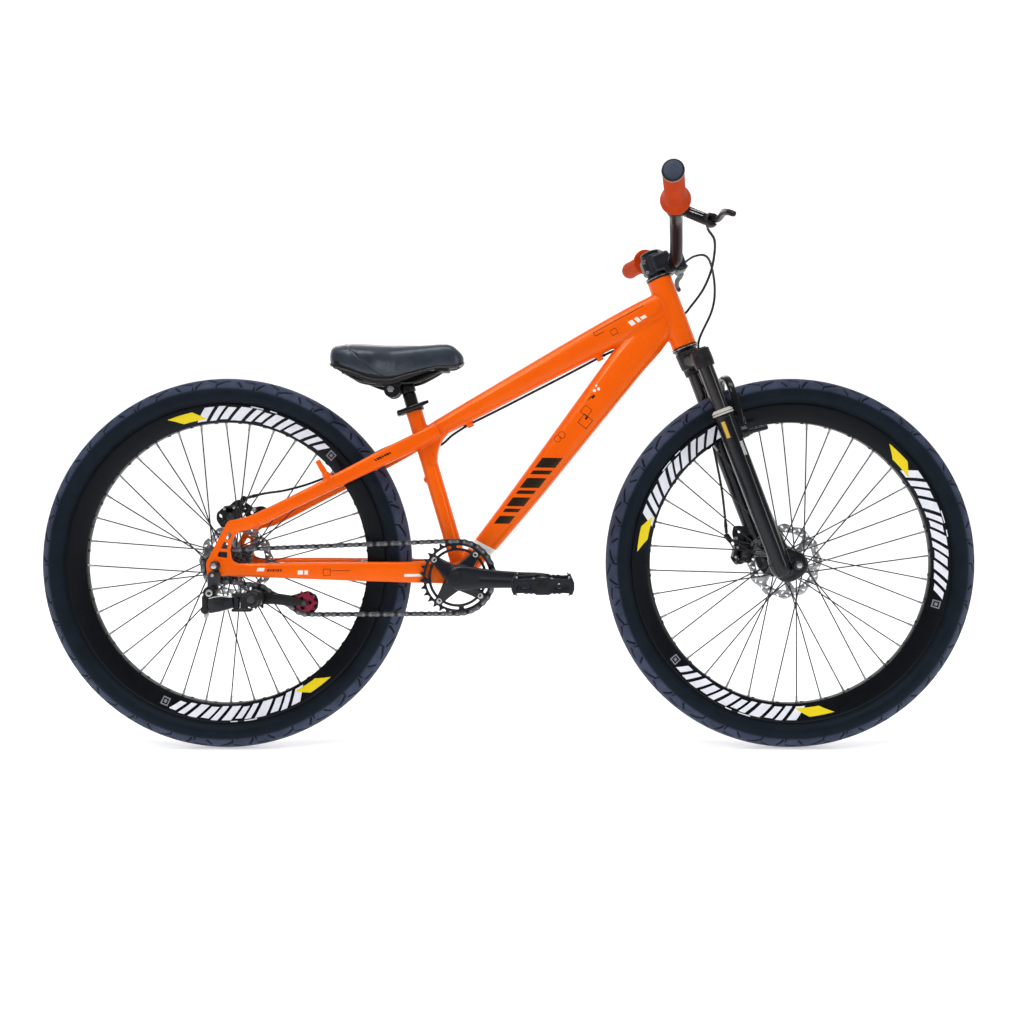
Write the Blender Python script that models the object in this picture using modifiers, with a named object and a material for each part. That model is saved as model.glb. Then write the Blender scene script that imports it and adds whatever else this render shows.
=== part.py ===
"""Freeride bike with hardtail frame, short-travel fork, disc brakes and a single chainring.

Units are metres, +X points forward, +Z up, and the drive side (right) is -Y.
The origin is on the ground, midway between the two axles.
"""

import math

import bmesh
import bpy
from mathutils import Matrix, Vector

# ---------------------------------------------------------------- driving dimensions
WHEELBASE = 1.022
TYRE_R = 0.335
TYRE_HALF = 0.0266
RIM_BED_R = 0.2545
HUB_Z = TYRE_R
SPOKES = 36
CROSS = 3

BB = (0.4215, 0.3126)  # bottom bracket: ahead of rear axle, above ground
HEAD_LOW = (0.8307, 0.7286)
HEAD_LEAN = math.radians(20.7)
HEAD_LEN = 0.1303
HEAD_R = 0.0224
STEERER_R = 0.0143

LEG_Y = 0.060
LEG_AHEAD = 0.011
STANCHION_R = 0.0135
LEG_R = 0.0180
FORK_TRAVEL = 0.050

SEAT_TOP = (0.3364, 0.6180)
SEAT_TUBE_R = 0.0150
POST_R = 0.0122

PITCH = 0.0127
RING_TEETH = 32
COG_TEETH = (13, 14, 15, 16, 17, 18, 19)
COG_STEP = 0.0048
COG_Y = -0.0620
RING_Y = -0.0490
PULLEY_TEETH = 10
GUIDE = (0.0705, 0.2790)
CAGE_LEN = 0.0840
CAGE_ANGLE = math.radians(-7.0)

CRANK_LEN = 0.1500
ROTOR_R = 0.0700
FRONT_ROTOR_Y = 0.0386
REAR_ROTOR_Y = 0.0520
BAR_HALF = 0.345
GAP = 0.0004

# ---------------------------------------------------------------- scene set-up
for old in list(bpy.data.objects):
    bpy.data.objects.remove(old, do_unlink=True)

PARTS = bpy.data.collections.new("freeride_bike")
HELPERS = bpy.data.collections.new("cutters")
bpy.context.scene.collection.children.link(PARTS)
bpy.context.scene.collection.children.link(HELPERS)


def material(name, rgb, rough, metal=0.0):
    mat = bpy.data.materials.new(name)
    mat.use_nodes = True
    shader = mat.node_tree.nodes["Principled BSDF"]
    shader.inputs["Base Color"].default_value = (*rgb, 1.0)
    shader.inputs["Roughness"].default_value = rough
    shader.inputs["Metallic"].default_value = metal
    mat.diffuse_color = (*rgb, 1.0)
    return mat


ORANGE = material("orange_paint", (0.95, 0.16, 0.01), 0.25)
BLACK = material("gloss_black", (0.012, 0.012, 0.014), 0.3)
RUBBER = material("tyre_rubber", (0.02, 0.022, 0.027), 0.7)
RIM = material("rim_black", (0.012, 0.012, 0.014), 0.3, 0.5)
STEEL = material("bright_steel", (0.6, 0.6, 0.62), 0.3, 1.0)
CHAIN_STEEL = material("chain_steel", (0.16, 0.15, 0.15), 0.4, 1.0)
DARK_STEEL = material("dark_steel", (0.05, 0.05, 0.055), 0.4, 1.0)
GRIP = material("grip_rubber", (0.9, 0.13, 0.01), 0.6)
VINYL = material("saddle_vinyl", (0.012, 0.012, 0.014), 0.4)
PLASTIC = material("black_plastic", (0.02, 0.02, 0.022), 0.5)
SEAL = material("seal_grey", (0.6, 0.6, 0.6), 0.5)
RED = material("dark_red", (0.25, 0.01, 0.03), 0.5)


# ---------------------------------------------------------------- places
def at(ahead, up, side=0.0):
    """World point from metres ahead of the rear axle, above ground and to the left."""
    return Vector((ahead - WHEELBASE / 2, side, up))


STEER_UP = Vector((-math.sin(HEAD_LEAN), 0.0, math.cos(HEAD_LEAN)))
STEER_FWD = Vector((math.cos(HEAD_LEAN), 0.0, math.sin(HEAD_LEAN)))
LEFT = Vector((0.0, 1.0, 0.0))
HEAD = at(*HEAD_LOW)
REAR_HUB = at(0.0, HUB_Z)
FRONT_HUB = at(WHEELBASE, HUB_Z)
CRANK_AXIS = at(*BB)


def steer(fwd, side, up):
    """World point in the fork's own directions, from the foot of the head tube."""
    return HEAD + STEER_FWD * fwd + LEFT * side + STEER_UP * up


def facing(origin, z_axis, x_hint=Vector((0.0, 0.0, 1.0))):
    """Matrix at origin whose Z runs along z_axis."""
    z = Vector(z_axis).normalized()
    x = Vector(x_hint) - z * Vector(x_hint).dot(z)
    if x.length < 1e-5:
        x = Vector((1.0, 0.0, 0.0)) - z * z.x
    x.normalize()
    y = z.cross(x)
    m = Matrix((x, y, z)).transposed().to_4x4()
    m.translation = Vector(origin)
    return m


# ---------------------------------------------------------------- shapes
def put(name, data, mat, matrix=None, helper=False):
    obj = bpy.data.objects.new(name, data)
    (HELPERS if helper else PARTS).objects.link(obj)
    if mat is not None:
        data.materials.append(mat)
    if matrix is not None:
        obj.matrix_world = matrix
    if helper:
        obj.hide_render = True
        obj.display_type = "WIRE"
    return obj


def finish_mesh(bm, smooth=True):
    bmesh.ops.recalc_face_normals(bm, faces=bm.faces)
    mesh = bpy.data.meshes.new("mesh")
    bm.to_mesh(mesh)
    bm.free()
    if smooth:
        mesh.shade_smooth()
        mesh.set_sharp_from_angle(angle=math.radians(35))
    return mesh


def cylinder(name, mat, start, end, radius, sides=20, radius_end=None, helper=False):
    start, end = Vector(start), Vector(end)
    bm = bmesh.new()
    length = (end - start).length
    bmesh.ops.create_cone(
        bm,
        cap_ends=True,
        segments=sides,
        radius1=radius,
        radius2=radius if radius_end is None else radius_end,
        depth=length,
    )
    return put(name, finish_mesh(bm), mat, facing((start + end) / 2, end - start), helper)


def block(name, mat, size, matrix, helper=False, bevel=0.0):
    bm = bmesh.new()
    bmesh.ops.create_cube(bm, size=1.0)
    bmesh.ops.scale(bm, vec=size, verts=bm.verts)
    if bevel:
        bmesh.ops.bevel(bm, geom=list(bm.edges), offset=bevel, segments=1, affect="EDGES")
    return put(name, finish_mesh(bm, smooth=False), mat, matrix, helper)


def turned(name, mat, profile, origin, axis, steps=32, closed=True, helper=False):
    """Profile of (radius, height) pairs spun about the axis through origin."""
    turn = sum(
        profile[i - 1][0] * profile[i][1] - profile[i][0] * profile[i - 1][1] for i in range(len(profile))
    )
    if turn > 0:  # the spin faces outward when the outer side runs downward
        profile = profile[::-1]
    mesh = bpy.data.meshes.new("profile")
    count = len(profile)
    edges = [(i, i + 1) for i in range(count - 1)]
    if closed:
        edges.append((count - 1, 0))
    mesh.from_pydata([(r, 0.0, h) for r, h in profile], edges, [])
    obj = put(name, mesh, mat, facing(origin, axis), helper)
    screw = obj.modifiers.new("spin", "SCREW")
    screw.steps = steps
    screw.render_steps = steps
    screw.use_merge_vertices = True
    screw.merge_threshold = 0.00005
    screw.use_normal_calculate = False
    screw.use_smooth_shade = True
    return obj


def plate(name, mat, outlines, thickness, matrix, helper=False):
    """Flat piece from closed outlines of (x, y) pairs; the outlines after the first are holes."""
    curve = bpy.data.curves.new("outline", "CURVE")
    curve.dimensions = "2D"
    curve.fill_mode = "BOTH"
    curve.extrude = thickness / 2
    curve.resolution_u = 1
    for outline in outlines:
        spline = curve.splines.new("POLY")
        spline.points.add(len(outline) - 1)
        for point, (x, y) in zip(spline.points, outline):
            point.co = (x, y, 0.0, 1.0)
        spline.use_cyclic_u = True
    obj = meshed(put(name, curve, mat, matrix, helper))
    bm = bmesh.new()
    bm.from_mesh(obj.data)
    bmesh.ops.dissolve_limit(bm, angle_limit=0.01, verts=bm.verts, edges=bm.edges)
    bm.to_mesh(obj.data)
    bm.free()
    return obj


def meshed(obj):
    """The curve object as a welded mesh in the same place."""
    bpy.context.view_layer.update()
    graph = bpy.context.evaluated_depsgraph_get()
    mesh = bpy.data.meshes.new_from_object(obj.evaluated_get(graph))
    bm = bmesh.new()
    bm.from_mesh(mesh)
    bmesh.ops.remove_doubles(bm, verts=bm.verts, dist=0.000005)
    bmesh.ops.recalc_face_normals(bm, faces=bm.faces)
    bm.to_mesh(mesh)
    bm.free()
    name, matrix, home = obj.name, obj.matrix_world.copy(), obj.users_collection[0]
    hidden = obj.hide_render
    curve = obj.data
    bpy.data.objects.remove(obj, do_unlink=True)
    bpy.data.curves.remove(curve)
    new = bpy.data.objects.new(name, mesh)
    home.objects.link(new)
    new.matrix_world = matrix
    new.hide_render = hidden
    if hidden:
        new.display_type = "WIRE"
    return new


def smooth_path(points, step):
    """Points about a step apart along a smooth curve through the given ones."""
    pts = [Vector(p) for p in points]
    full = [pts[0] * 2 - pts[1]] + pts + [pts[-1] * 2 - pts[-2]]
    fine = []
    for i in range(1, len(full) - 2):
        p0, p1, p2, p3 = full[i - 1 : i + 3]
        for j in range(24):
            t = j / 24
            fine.append(
                0.5
                * (
                    2 * p1
                    + (p2 - p0) * t
                    + (2 * p0 - 5 * p1 + 4 * p2 - p3) * t * t
                    + (3 * p1 - p0 - 3 * p2 + p3) * t**3
                )
            )
    fine.append(pts[-1])
    length = sum((b - a).length for a, b in zip(fine, fine[1:]))
    count = max(2, round(length / step))
    result, travelled, nxt = [fine[0]], 0.0, length / count
    for a, b in zip(fine, fine[1:]):
        seg = (b - a).length
        while travelled + seg >= nxt - 1e-9 and len(result) < count:
            result.append(a.lerp(b, (nxt - travelled) / seg))
            nxt += length / count
        travelled += seg
    result.append(fine[-1])
    return result


def tube(name, mat, points, radius, rounds=1, helper=False, cyclic=False):
    origin = Vector(points[0])
    curve = bpy.data.curves.new("path", "CURVE")
    curve.dimensions = "3D"
    curve.bevel_depth = radius
    curve.bevel_resolution = rounds
    curve.use_fill_caps = True
    curve.resolution_u = 1
    spline = curve.splines.new("POLY")
    spline.points.add(len(points) - 1)
    for point, p in zip(spline.points, points):
        point.co = (*(Vector(p) - origin), 1.0)
    spline.use_cyclic_u = cyclic
    return put(name, curve, mat, Matrix.Translation(origin), helper)


def loft(name, mat, rings, helper=False):
    """Skin through rings of equal count, closed with a face at each end."""
    origin = sum((Vector(p) for p in rings[0]), Vector()) / len(rings[0])
    bm = bmesh.new()
    rows = [[bm.verts.new(Vector(p) - origin) for p in ring] for ring in rings]
    count = len(rows[0])
    for a, b in zip(rows, rows[1:]):
        for i in range(count):
            j = (i + 1) % count
            bm.faces.new((a[i], a[j], b[j], b[i]))
    bm.faces.new(rows[0][::-1])
    bm.faces.new(rows[-1])
    return put(name, finish_mesh(bm), mat, Matrix.Translation(origin), helper)


def oval(centre, wide, tall, half_wide, half_tall, sides=14, power=2.0):
    """Ring of a superellipse about centre, in the plane of the wide and tall directions."""
    ring = []
    for i in range(sides):
        t = 2 * math.pi * (i + 0.5) / sides
        c, s = math.cos(t), math.sin(t)
        u = math.copysign(abs(c) ** (2 / power), c) * half_wide
        v = math.copysign(abs(s) ** (2 / power), s) * half_tall
        ring.append(Vector(centre) + Vector(wide) * u + Vector(tall) * v)
    return ring


def tube_through(name, mat, stations, sides=14, power=2.4, helper=False):
    """Tube of changing section. A station is (ahead, up, side, half height, half width)."""
    centres = [at(a, u, s) for a, u, s, _, _ in stations]
    rings = []
    for i, (centre, station) in enumerate(zip(centres, stations)):
        before = centres[max(i - 1, 0)]
        after = centres[min(i + 1, len(centres) - 1)]
        run = (after - before).normalized()
        wide = (LEFT - run * run.y).normalized()
        tall = run.cross(wide).normalized()
        rings.append(oval(centre, wide, tall, station[4], station[3], sides, power))
    return loft(name, mat, rings, helper)


def hide(obj):
    for home in list(obj.users_collection):
        home.objects.unlink(obj)
    HELPERS.objects.link(obj)
    obj.hide_render = True
    obj.display_type = "WIRE"
    return obj


def combine(base, others, operation):
    for other in others:
        hide(other)
        mod = base.modifiers.new(operation.lower() + "_" + other.name[:40], "BOOLEAN")
        mod.operation = operation
        mod.solver = "EXACT"
        mod.object = other
    return base


def join(base, *others):
    return combine(base, others, "UNION")


def cut(base, *others):
    return combine(base, others, "DIFFERENCE")


def pivot(name, location, axis=(0.0, 1.0, 0.0)):
    empty = bpy.data.objects.new(name, None)
    PARTS.objects.link(empty)
    empty.matrix_world = facing(location, axis)
    empty.empty_display_size = 0.03
    return empty


def ride(empty, *objs):
    bpy.context.view_layer.update()
    for obj in objs:
        obj.parent = empty
        obj.matrix_parent_inverse = empty.matrix_world.inverted()


def circle(radius, sides, x=0.0, y=0.0, turn=0.0):
    return [
        (
            x + radius * math.cos(2 * math.pi * i / sides + turn),
            y + radius * math.sin(2 * math.pi * i / sides + turn),
        )
        for i in range(sides)
    ]


def side_plane(origin):
    """Matrix whose X is forward and Y is up, so an outline is drawn as seen from the drive side."""
    m = Matrix(((1, 0, 0), (0, 0, -1), (0, 1, 0))).to_4x4()
    m.translation = Vector(origin)
    return m


# ---------------------------------------------------------------- wheels
def wheel(prefix, hub, flanges, hub_profile, rotor_y, spigot_turn):
    half = [(0.2800, 0.0117), (0.2892, 0.0118), (0.3060, TYRE_HALF), (0.3262, 0.0210)]
    profile = [(r, -y) for r, y in half] + [(TYRE_R, 0.0)] + half[::-1] + [(0.3180, 0.0)]
    tyre = turned(prefix + "_tyre", RUBBER, profile, hub, LEFT, 40)
    rim = turned(
        prefix + "_rim",
        RIM,
        [
            (0.2887, -0.0150),
            (0.2887, -0.0124),
            (0.2775, -0.0121),
            (0.2775, 0.0121),
            (0.2887, 0.0124),
            (0.2887, 0.0150),
            (RIM_BED_R, 0.0080),
            (RIM_BED_R, -0.0080),
        ],
        hub,
        LEFT,
        40,
    )
    shell = turned(prefix + "_hub", BLACK, hub_profile, hub, LEFT, 18)
    band_r = RIM_BED_R - 0.0006
    band = turned(
        prefix + "_spokes",
        DARK_STEEL,
        [(band_r, -0.0050), (band_r - 0.0030, 0.0), (band_r, 0.0050)],
        hub,
        LEFT,
        40,
    )
    bm = bmesh.new()
    per_side = SPOKES // 2
    for side, flange_y in ((0, flanges[0]), (1, flanges[1])):
        for j in range(per_side):
            hole = 2 * math.pi * j / per_side + side * math.pi / SPOKES * 2 + spigot_turn
            turn = CROSS * 2 * math.pi / per_side * (1 if j % 2 else -1)
            lift = 0.0019 * (1 if j % 2 else -1)
            r0 = 0.0240
            start = Vector((r0 * math.cos(hole), flange_y + lift, r0 * math.sin(hole)))
            r1 = band_r - 0.0014
            rim_y = 0.0018 * (1 if flange_y > 0 else -1)
            end = Vector((r1 * math.cos(hole + turn), rim_y, r1 * math.sin(hole + turn)))
            made = bmesh.ops.create_cone(
                bm, cap_ends=True, segments=3, radius1=0.0012, radius2=0.0012, depth=(end - start).length
            )
            bmesh.ops.transform(bm, matrix=facing((start + end) / 2, end - start, LEFT), verts=made["verts"])
    spokes = put(prefix + "_spoke_set", finish_mesh(bm), DARK_STEEL, Matrix.Translation(hub))
    join(band, spokes)
    windows = []
    for k in range(6):
        mid = math.radians(60 * k)
        shape = []
        for r, spread in ((0.0550, 22.0), (0.0290, 13.0)):
            angles = [-1, -0.33, 0.33, 1] if r > 0.04 else [1, -1]
            for a in angles:
                t = mid + math.radians(spread * a) + (math.radians(14) if r > 0.04 else 0.0)
                shape.append((r * math.cos(t), r * math.sin(t)))
        windows.append(shape)
    rotor = plate(
        prefix + "_rotor",
        STEEL,
        [circle(ROTOR_R, 32), circle(0.0180, 12)] + windows,
        0.0018,
        side_plane(hub + LEFT * rotor_y),
    )
    return tyre, rim, shell, band, rotor


FRONT_BORE = 0.0062
front_hub_profile = [
    (FRONT_BORE, -0.0490),
    (0.0105, -0.0490),
    (0.0110, -0.0345),
    (0.0228, -0.0330),
    (0.0228, -0.0300),
    (0.0130, -0.0260),
    (0.0130, 0.0170),
    (0.0228, 0.0210),
    (0.0228, 0.0240),
    (0.0172, 0.0280),
    (0.0172, 0.0370),
    (0.0110, 0.0390),
    (0.0110, 0.0490),
    (FRONT_BORE, 0.0490),
]
f_tyre, f_rim, f_hub, f_spokes, f_rotor = wheel(
    "front", FRONT_HUB, (-0.0315, 0.0225), front_hub_profile[::-1], FRONT_ROTOR_Y, math.radians(3)
)
REAR_BORE = 0.0068
rear_hub_profile = [
    (REAR_BORE, -0.0640),
    (0.0150, -0.0640),
    (0.0155, -0.0285),
    (0.0228, -0.0255),
    (0.0228, -0.0225),
    (0.0150, -0.0185),
    (0.0150, 0.0260),
    (0.0228, 0.0300),
    (0.0228, 0.0330),
    (0.0172, 0.0370),
    (0.0172, 0.0504),
    (0.0112, 0.0516),
    (0.0112, 0.0665),
    (REAR_BORE, 0.0665),
]
r_tyre, r_rim, r_hub, r_spokes, r_rotor = wheel(
    "rear", REAR_HUB, (-0.0240, 0.0315), rear_hub_profile[::-1], REAR_ROTOR_Y, math.radians(1)
)

front_axle = turned(
    "front_axle",
    STEEL,
    [(0.0, -0.0715), (0.0048, -0.0715), (0.0048, -0.0690), (0.0085, -0.0690), (0.0085, -0.0630)]
    + [(0.0048, -0.0630), (0.0048, 0.0630), (0.0085, 0.0630), (0.0085, 0.0690), (0.0048, 0.0690)]
    + [(0.0048, 0.0715), (0.0, 0.0715)],
    FRONT_HUB,
    -LEFT,
    12,
    closed=False,
)
rear_axle = turned(
    "rear_axle",
    STEEL,
    [(0.0, -0.0860), (0.0048, -0.0860), (0.0048, -0.0825), (0.0085, -0.0825), (0.0085, -0.0745)]
    + [(0.0048, -0.0745), (0.0048, 0.0745), (0.0085, 0.0745), (0.0085, 0.0825), (0.0048, 0.0825)]
    + [(0.0048, 0.0860), (0.0, 0.0860)],
    REAR_HUB,
    -LEFT,
    12,
    closed=False,
)

# ---------------------------------------------------------------- frame
head_tube = cylinder("frame", ORANGE, steer(0, 0, 0), steer(0, 0, HEAD_LEN), HEAD_R, 20)
top_tube = tube_through(
    "top_tube",
    ORANGE,
    [
        (0.3560, 0.5641, 0.0, 0.0140, 0.0140),
        (0.3850, 0.5803, 0.0, 0.0160, 0.0170),
        (0.4348, 0.6080, 0.0, 0.0179, 0.0180),
        (0.5545, 0.6747, 0.0, 0.0219, 0.0205),
        (0.6500, 0.7273, 0.0, 0.0251, 0.0210),
        (0.7400, 0.7755, 0.0, 0.0272, 0.0200),
        (0.7990, 0.8060, 0.0, 0.0262, 0.0180),
    ],
    12,
)
down_tube = tube_through(
    "down_tube",
    ORANGE,
    [
        (0.4300, 0.3240, 0.0, 0.0185, 0.0190),
        (0.4686, 0.3677, 0.0, 0.0212, 0.0215),
        (0.5400, 0.4570, 0.0, 0.0250, 0.0235),
        (0.6030, 0.5389, 0.0, 0.0278, 0.0235),
        (0.6743, 0.6320, 0.0, 0.0310, 0.0225),
        (0.7270, 0.7000, 0.0, 0.0330, 0.0210),
        (0.7700, 0.7500, 0.0, 0.0325, 0.0190),
        (0.7970, 0.7890, 0.0, 0.0250, 0.0170),
    ],
    12,
    2.6,
)
seat_base = at(0.4265, 0.3126)
seat_top = at(*SEAT_TOP)
SEAT_UP = (seat_top - seat_base).normalized()
seat_tube = cylinder("seat_tube", ORANGE, seat_base, seat_top, SEAT_TUBE_R, 16)
bb_shell = cylinder("bb_shell", ORANGE, CRANK_AXIS - LEFT * 0.034, CRANK_AXIS + LEFT * 0.034, 0.0222, 20)
gusset = plate(
    "gusset",
    ORANGE,
    [
        [
            (0.3560, 0.5100),
            (0.3808, 0.5120),
            (0.3814, 0.5340),
            (0.3880, 0.5560),
            (0.4072, 0.5770),
            (0.4366, 0.5910),
            (0.4300, 0.6050),
            (0.3600, 0.5800),
        ]
    ],
    0.0250,
    side_plane(at(0, 0)),
)
pieces = [top_tube, down_tube, seat_tube, bb_shell, gusset]
for side, tag in ((-1, "right"), (1, "left")):
    pieces.append(
        tube_through(
            "chainstay_" + tag,
            ORANGE,
            [
                (0.0150, 0.3277, 0.0712 * side, 0.0100, 0.0030),
                (0.0330, 0.3275, 0.0714 * side, 0.0114, 0.0036),
                (0.0700, 0.3270, 0.0712 * side, 0.0122, 0.0068),
                (0.1500, 0.3257, 0.0640 * side, 0.0145, 0.0082),
                (0.2500, 0.3232, 0.0512 * side, 0.0170, 0.0082),
                (0.3300, 0.3212, 0.0412 * side, 0.0185, 0.0078),
                (0.3650, 0.3200, 0.0342 * side, 0.0190, 0.0078),
                (0.4080, 0.3160, 0.0262 * side, 0.0170, 0.0070),
            ],
            8,
            3.0,
        )
    )
    pieces.append(
        tube_through(
            "seatstay_" + tag,
            ORANGE,
            [
                (0.0240, 0.4000, 0.0712 * side, 0.0090, 0.0030),
                (0.0420, 0.4060, 0.0714 * side, 0.0112, 0.0038),
                (0.0720, 0.4152, 0.0706 * side, 0.0116, 0.0074),
                (0.1523, 0.4553, 0.0640 * side, 0.0113, 0.0080),
                (0.2300, 0.4953, 0.0490 * side, 0.0127, 0.0080),
                (0.2925, 0.5279, 0.0375 * side, 0.0142, 0.0080),
                (0.3400, 0.5530, 0.0222 * side, 0.0140, 0.0070),
                (0.3840, 0.5765, 0.0190 * side, 0.0125, 0.0060),
            ],
            8,
            3.0,
        )
    )
    stud_foot = at(0.1960, 0.4830, 0.0560 * side)
    stud_tip = at(0.1745, 0.5190, 0.0560 * side)
    stud_way = (stud_tip - stud_foot).normalized()
    pieces.append(
        cylinder("stud_lug_" + tag, ORANGE, stud_foot, stud_foot + stud_way * 0.018, 0.0075, 12)
    )
    pieces.append(cylinder("stud_" + tag, ORANGE, stud_foot, stud_tip, 0.0045, 10))
    outline = [
        (0.0215, 0.0787),
        (-0.0171, 0.0045),
        (-0.0097, -0.0202),
        (0.0060, -0.0190),
        (0.0320, -0.0165),
        (0.0400, 0.0040),
        (0.0290, 0.0075),
        (0.0255, 0.0200),
        (0.0265, 0.0400),
        (0.0340, 0.0540),
        (0.0480, 0.0640),
        (0.0420, 0.0820),
    ]
    pieces.append(
        plate(
            "dropout_" + tag,
            ORANGE,
            [outline, circle(0.0060, 8, 0.0128, 0.0343)],
            0.0060,
            side_plane(REAR_HUB + LEFT * 0.0708 * side),
        )
    )
disc_tab = plate(
    "disc_tab",
    ORANGE,
    [[(0.0160, 0.0700), (0.0420, 0.0700), (0.0700, 0.0860), (0.0440, 0.1030), (0.0080, 0.0960)]],
    0.0060,
    side_plane(REAR_HUB + LEFT * 0.0708),
)
pieces.append(disc_tab)
GUIDES = [(0.4400, 0.5872), (0.6760, 0.7085)]
guide_way = (at(*GUIDES[1]) - at(*GUIDES[0])).normalized()
for n, (ahead, up) in enumerate(GUIDES):
    centre = at(ahead, up)
    pieces.append(
        cylinder("cable_guide_%d" % n, ORANGE, centre - guide_way * 0.006, centre + guide_way * 0.006, 0.0062, 10)
    )
join(head_tube, *pieces)
slots = []
for side, tag in ((-1, "right"), (1, "left")):
    down = Vector((0.0030, 0.0, -0.0260))
    start = REAR_HUB + LEFT * 0.0708 * side
    slots.append(
        cylinder("axle_hole_" + tag, None, start - LEFT * 0.006, start + LEFT * 0.006, 0.0054, 12, helper=True)
    )
    slots.append(
        block(
            "axle_slot_" + tag,
            None,
            (0.0100, 0.012, down.length),
            facing(start + down / 2, down, Vector((1.0, 0.0, 0.0))),
            helper=True,
        )
    )
cut(
    head_tube,
    cylinder("head_bore", None, steer(0, 0, -0.02), steer(0, 0, HEAD_LEN + 0.02), 0.0176, 16, helper=True),
    cylinder("bb_bore", None, CRANK_AXIS - LEFT * 0.05, CRANK_AXIS + LEFT * 0.05, 0.0182, 16, helper=True),
    cylinder(
        "post_bore", None, seat_top - SEAT_UP * 0.2100, seat_top + SEAT_UP * 0.03, POST_R + 0.0006, 16, helper=True
    ),
    *slots,
    *[
        cylinder(
            "guide_bore_%d" % n,
            None,
            at(a, u) - guide_way * 0.012,
            at(a, u) + guide_way * 0.012,
            0.0031,
            8,
            helper=True,
        )
        for n, (a, u) in enumerate(GUIDES)
    ],
)

upper_cup = turned(
    "headset_upper_cup",
    BLACK,
    [(0.0232, 0.0003), (0.0232, 0.0062), (0.0170, 0.0088), (0.0152, 0.0088)]
    + [(0.0152, -0.0110), (0.0171, -0.0110), (0.0171, 0.0003)],
    steer(0, 0, HEAD_LEN),
    STEER_UP,
    16,
)
lower_cup = turned(
    "headset_lower_cup",
    BLACK,
    [(0.0171, -0.0003), (0.0171, 0.0110), (0.0152, 0.0110), (0.0152, -0.0088)]
    + [(0.0190, -0.0088), (0.0240, -0.0050), (0.0240, -0.0003)],
    steer(0, 0, 0),
    STEER_UP,
    16,
)

COLLAR_MID = seat_top - SEAT_UP * 0.0045
rear_dir = -(Vector((1, 0, 0)) - SEAT_UP * SEAT_UP.x).normalized()
collar = cylinder("seatpost_collar", BLACK, seat_top - SEAT_UP * 0.0090, seat_top, 0.0192, 16)
ear_centre = COLLAR_MID + rear_dir * 0.0240
LEVER_HINGE = ear_centre - LEFT * 0.0150
join(
    collar,
    block("collar_ear", BLACK, (0.0180, 0.0160, 0.0110), facing(ear_centre, SEAT_UP, rear_dir)),
)
cut(
    collar,
    cylinder("collar_bore", None, seat_top - SEAT_UP * 0.05, seat_top + SEAT_UP * 0.03, 0.0155, 16, helper=True),
    block(
        "collar_split",
        None,
        (0.0400, 0.0030, 0.0400),
        facing(ear_centre + rear_dir * 0.0020, SEAT_UP, rear_dir),
        helper=True,
    ),
)
join(
    collar,
    cylinder("collar_pin", STEEL, ear_centre - LEFT * 0.0100, ear_centre + LEFT * 0.0120, 0.0026, 6),
)
collar_lever = cylinder(
    "seatpost_lever", BLACK, LEVER_HINGE - SEAT_UP * 0.0050, LEVER_HINGE + SEAT_UP * 0.0050, 0.0046, 12
)
lever_run = [
    (LEVER_HINGE, 0.0030, 0.0045),
    (COLLAR_MID + rear_dir * 0.0100 - LEFT * 0.0225 + SEAT_UP * 0.0010, 0.0022, 0.0045),
    (COLLAR_MID - rear_dir * 0.0080 - LEFT * 0.0240 + SEAT_UP * 0.0022, 0.0020, 0.0042),
    (COLLAR_MID - rear_dir * 0.0330 - LEFT * 0.0235 + SEAT_UP * 0.0045, 0.0018, 0.0030),
]
rings = []
for i, (p, thin, tall) in enumerate(lever_run):
    a = lever_run[max(i - 1, 0)][0]
    b = lever_run[min(i + 1, len(lever_run) - 1)][0]
    run = (b - a).normalized()
    rings.append(oval(p, SEAT_UP.cross(run).normalized(), SEAT_UP, thin, tall, 8, 2.6))
join(collar_lever, loft("collar_lever_blade", BLACK, rings))

bottom_bracket = turned(
    "bottom_bracket",
    DARK_STEEL,
    [(0.0100, -0.0365), (0.0178, -0.0365), (0.0178, 0.0365), (0.0100, 0.0365)][::-1],
    CRANK_AXIS,
    LEFT,
    16,
)

hanger = plate(
    "derailleur_hanger",
    DARK_STEEL,
    [
        [
            (-0.0110, -0.0105),
            (-0.0130, -0.0350),
            (-0.0130, -0.0500),
            (-0.0045, -0.0560),
            (0.0050, -0.0500),
            (0.0060, -0.0350),
            (0.0100, -0.0200),
            (0.0080, -0.0105),
        ]
    ],
    0.0045,
    side_plane(REAR_HUB - LEFT * 0.0765),
)

# ---------------------------------------------------------------- seat
post = turned(
    "seatpost",
    BLACK,
    [(POST_R - 0.0020, -0.1500), (POST_R, -0.1500), (POST_R, 0.0250), (0.0108, 0.0270), (0.0108, 0.0410)]
    + [(0.0090, 0.0410)],
    seat_top,
    SEAT_UP,
    16,
)
post_top = seat_top + SEAT_UP * 0.0350
CLAMP = at(0.3000, 0.6490)
saddle_clamp = cylinder("saddle_clamp", BLACK, CLAMP - LEFT * 0.0165, CLAMP + LEFT * 0.0165, 0.0145, 16)
join(
    saddle_clamp,
    cylinder("clamp_sleeve", BLACK, post_top - SEAT_UP * 0.0076, post_top + SEAT_UP * 0.0090, 0.0142, 16),
    block(
        "clamp_neck",
        BLACK,
        (0.0240, 0.0190, 0.0150),
        facing((CLAMP + post_top) / 2, Vector((0, 0, 1)), Vector((1, 0, 0))),
    ),
    cylinder("clamp_bolt_bar", STEEL, CLAMP - LEFT * 0.0330, CLAMP + LEFT * 0.0330, 0.0040, 10),
)
cut(
    saddle_clamp,
    cylinder(
        "clamp_bore", None, post_top - SEAT_UP * 0.0600, post_top + SEAT_UP * 0.0065, 0.0115, 16, helper=True
    ),
)
RAIL_Y = 0.0220
rail_points = []
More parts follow.
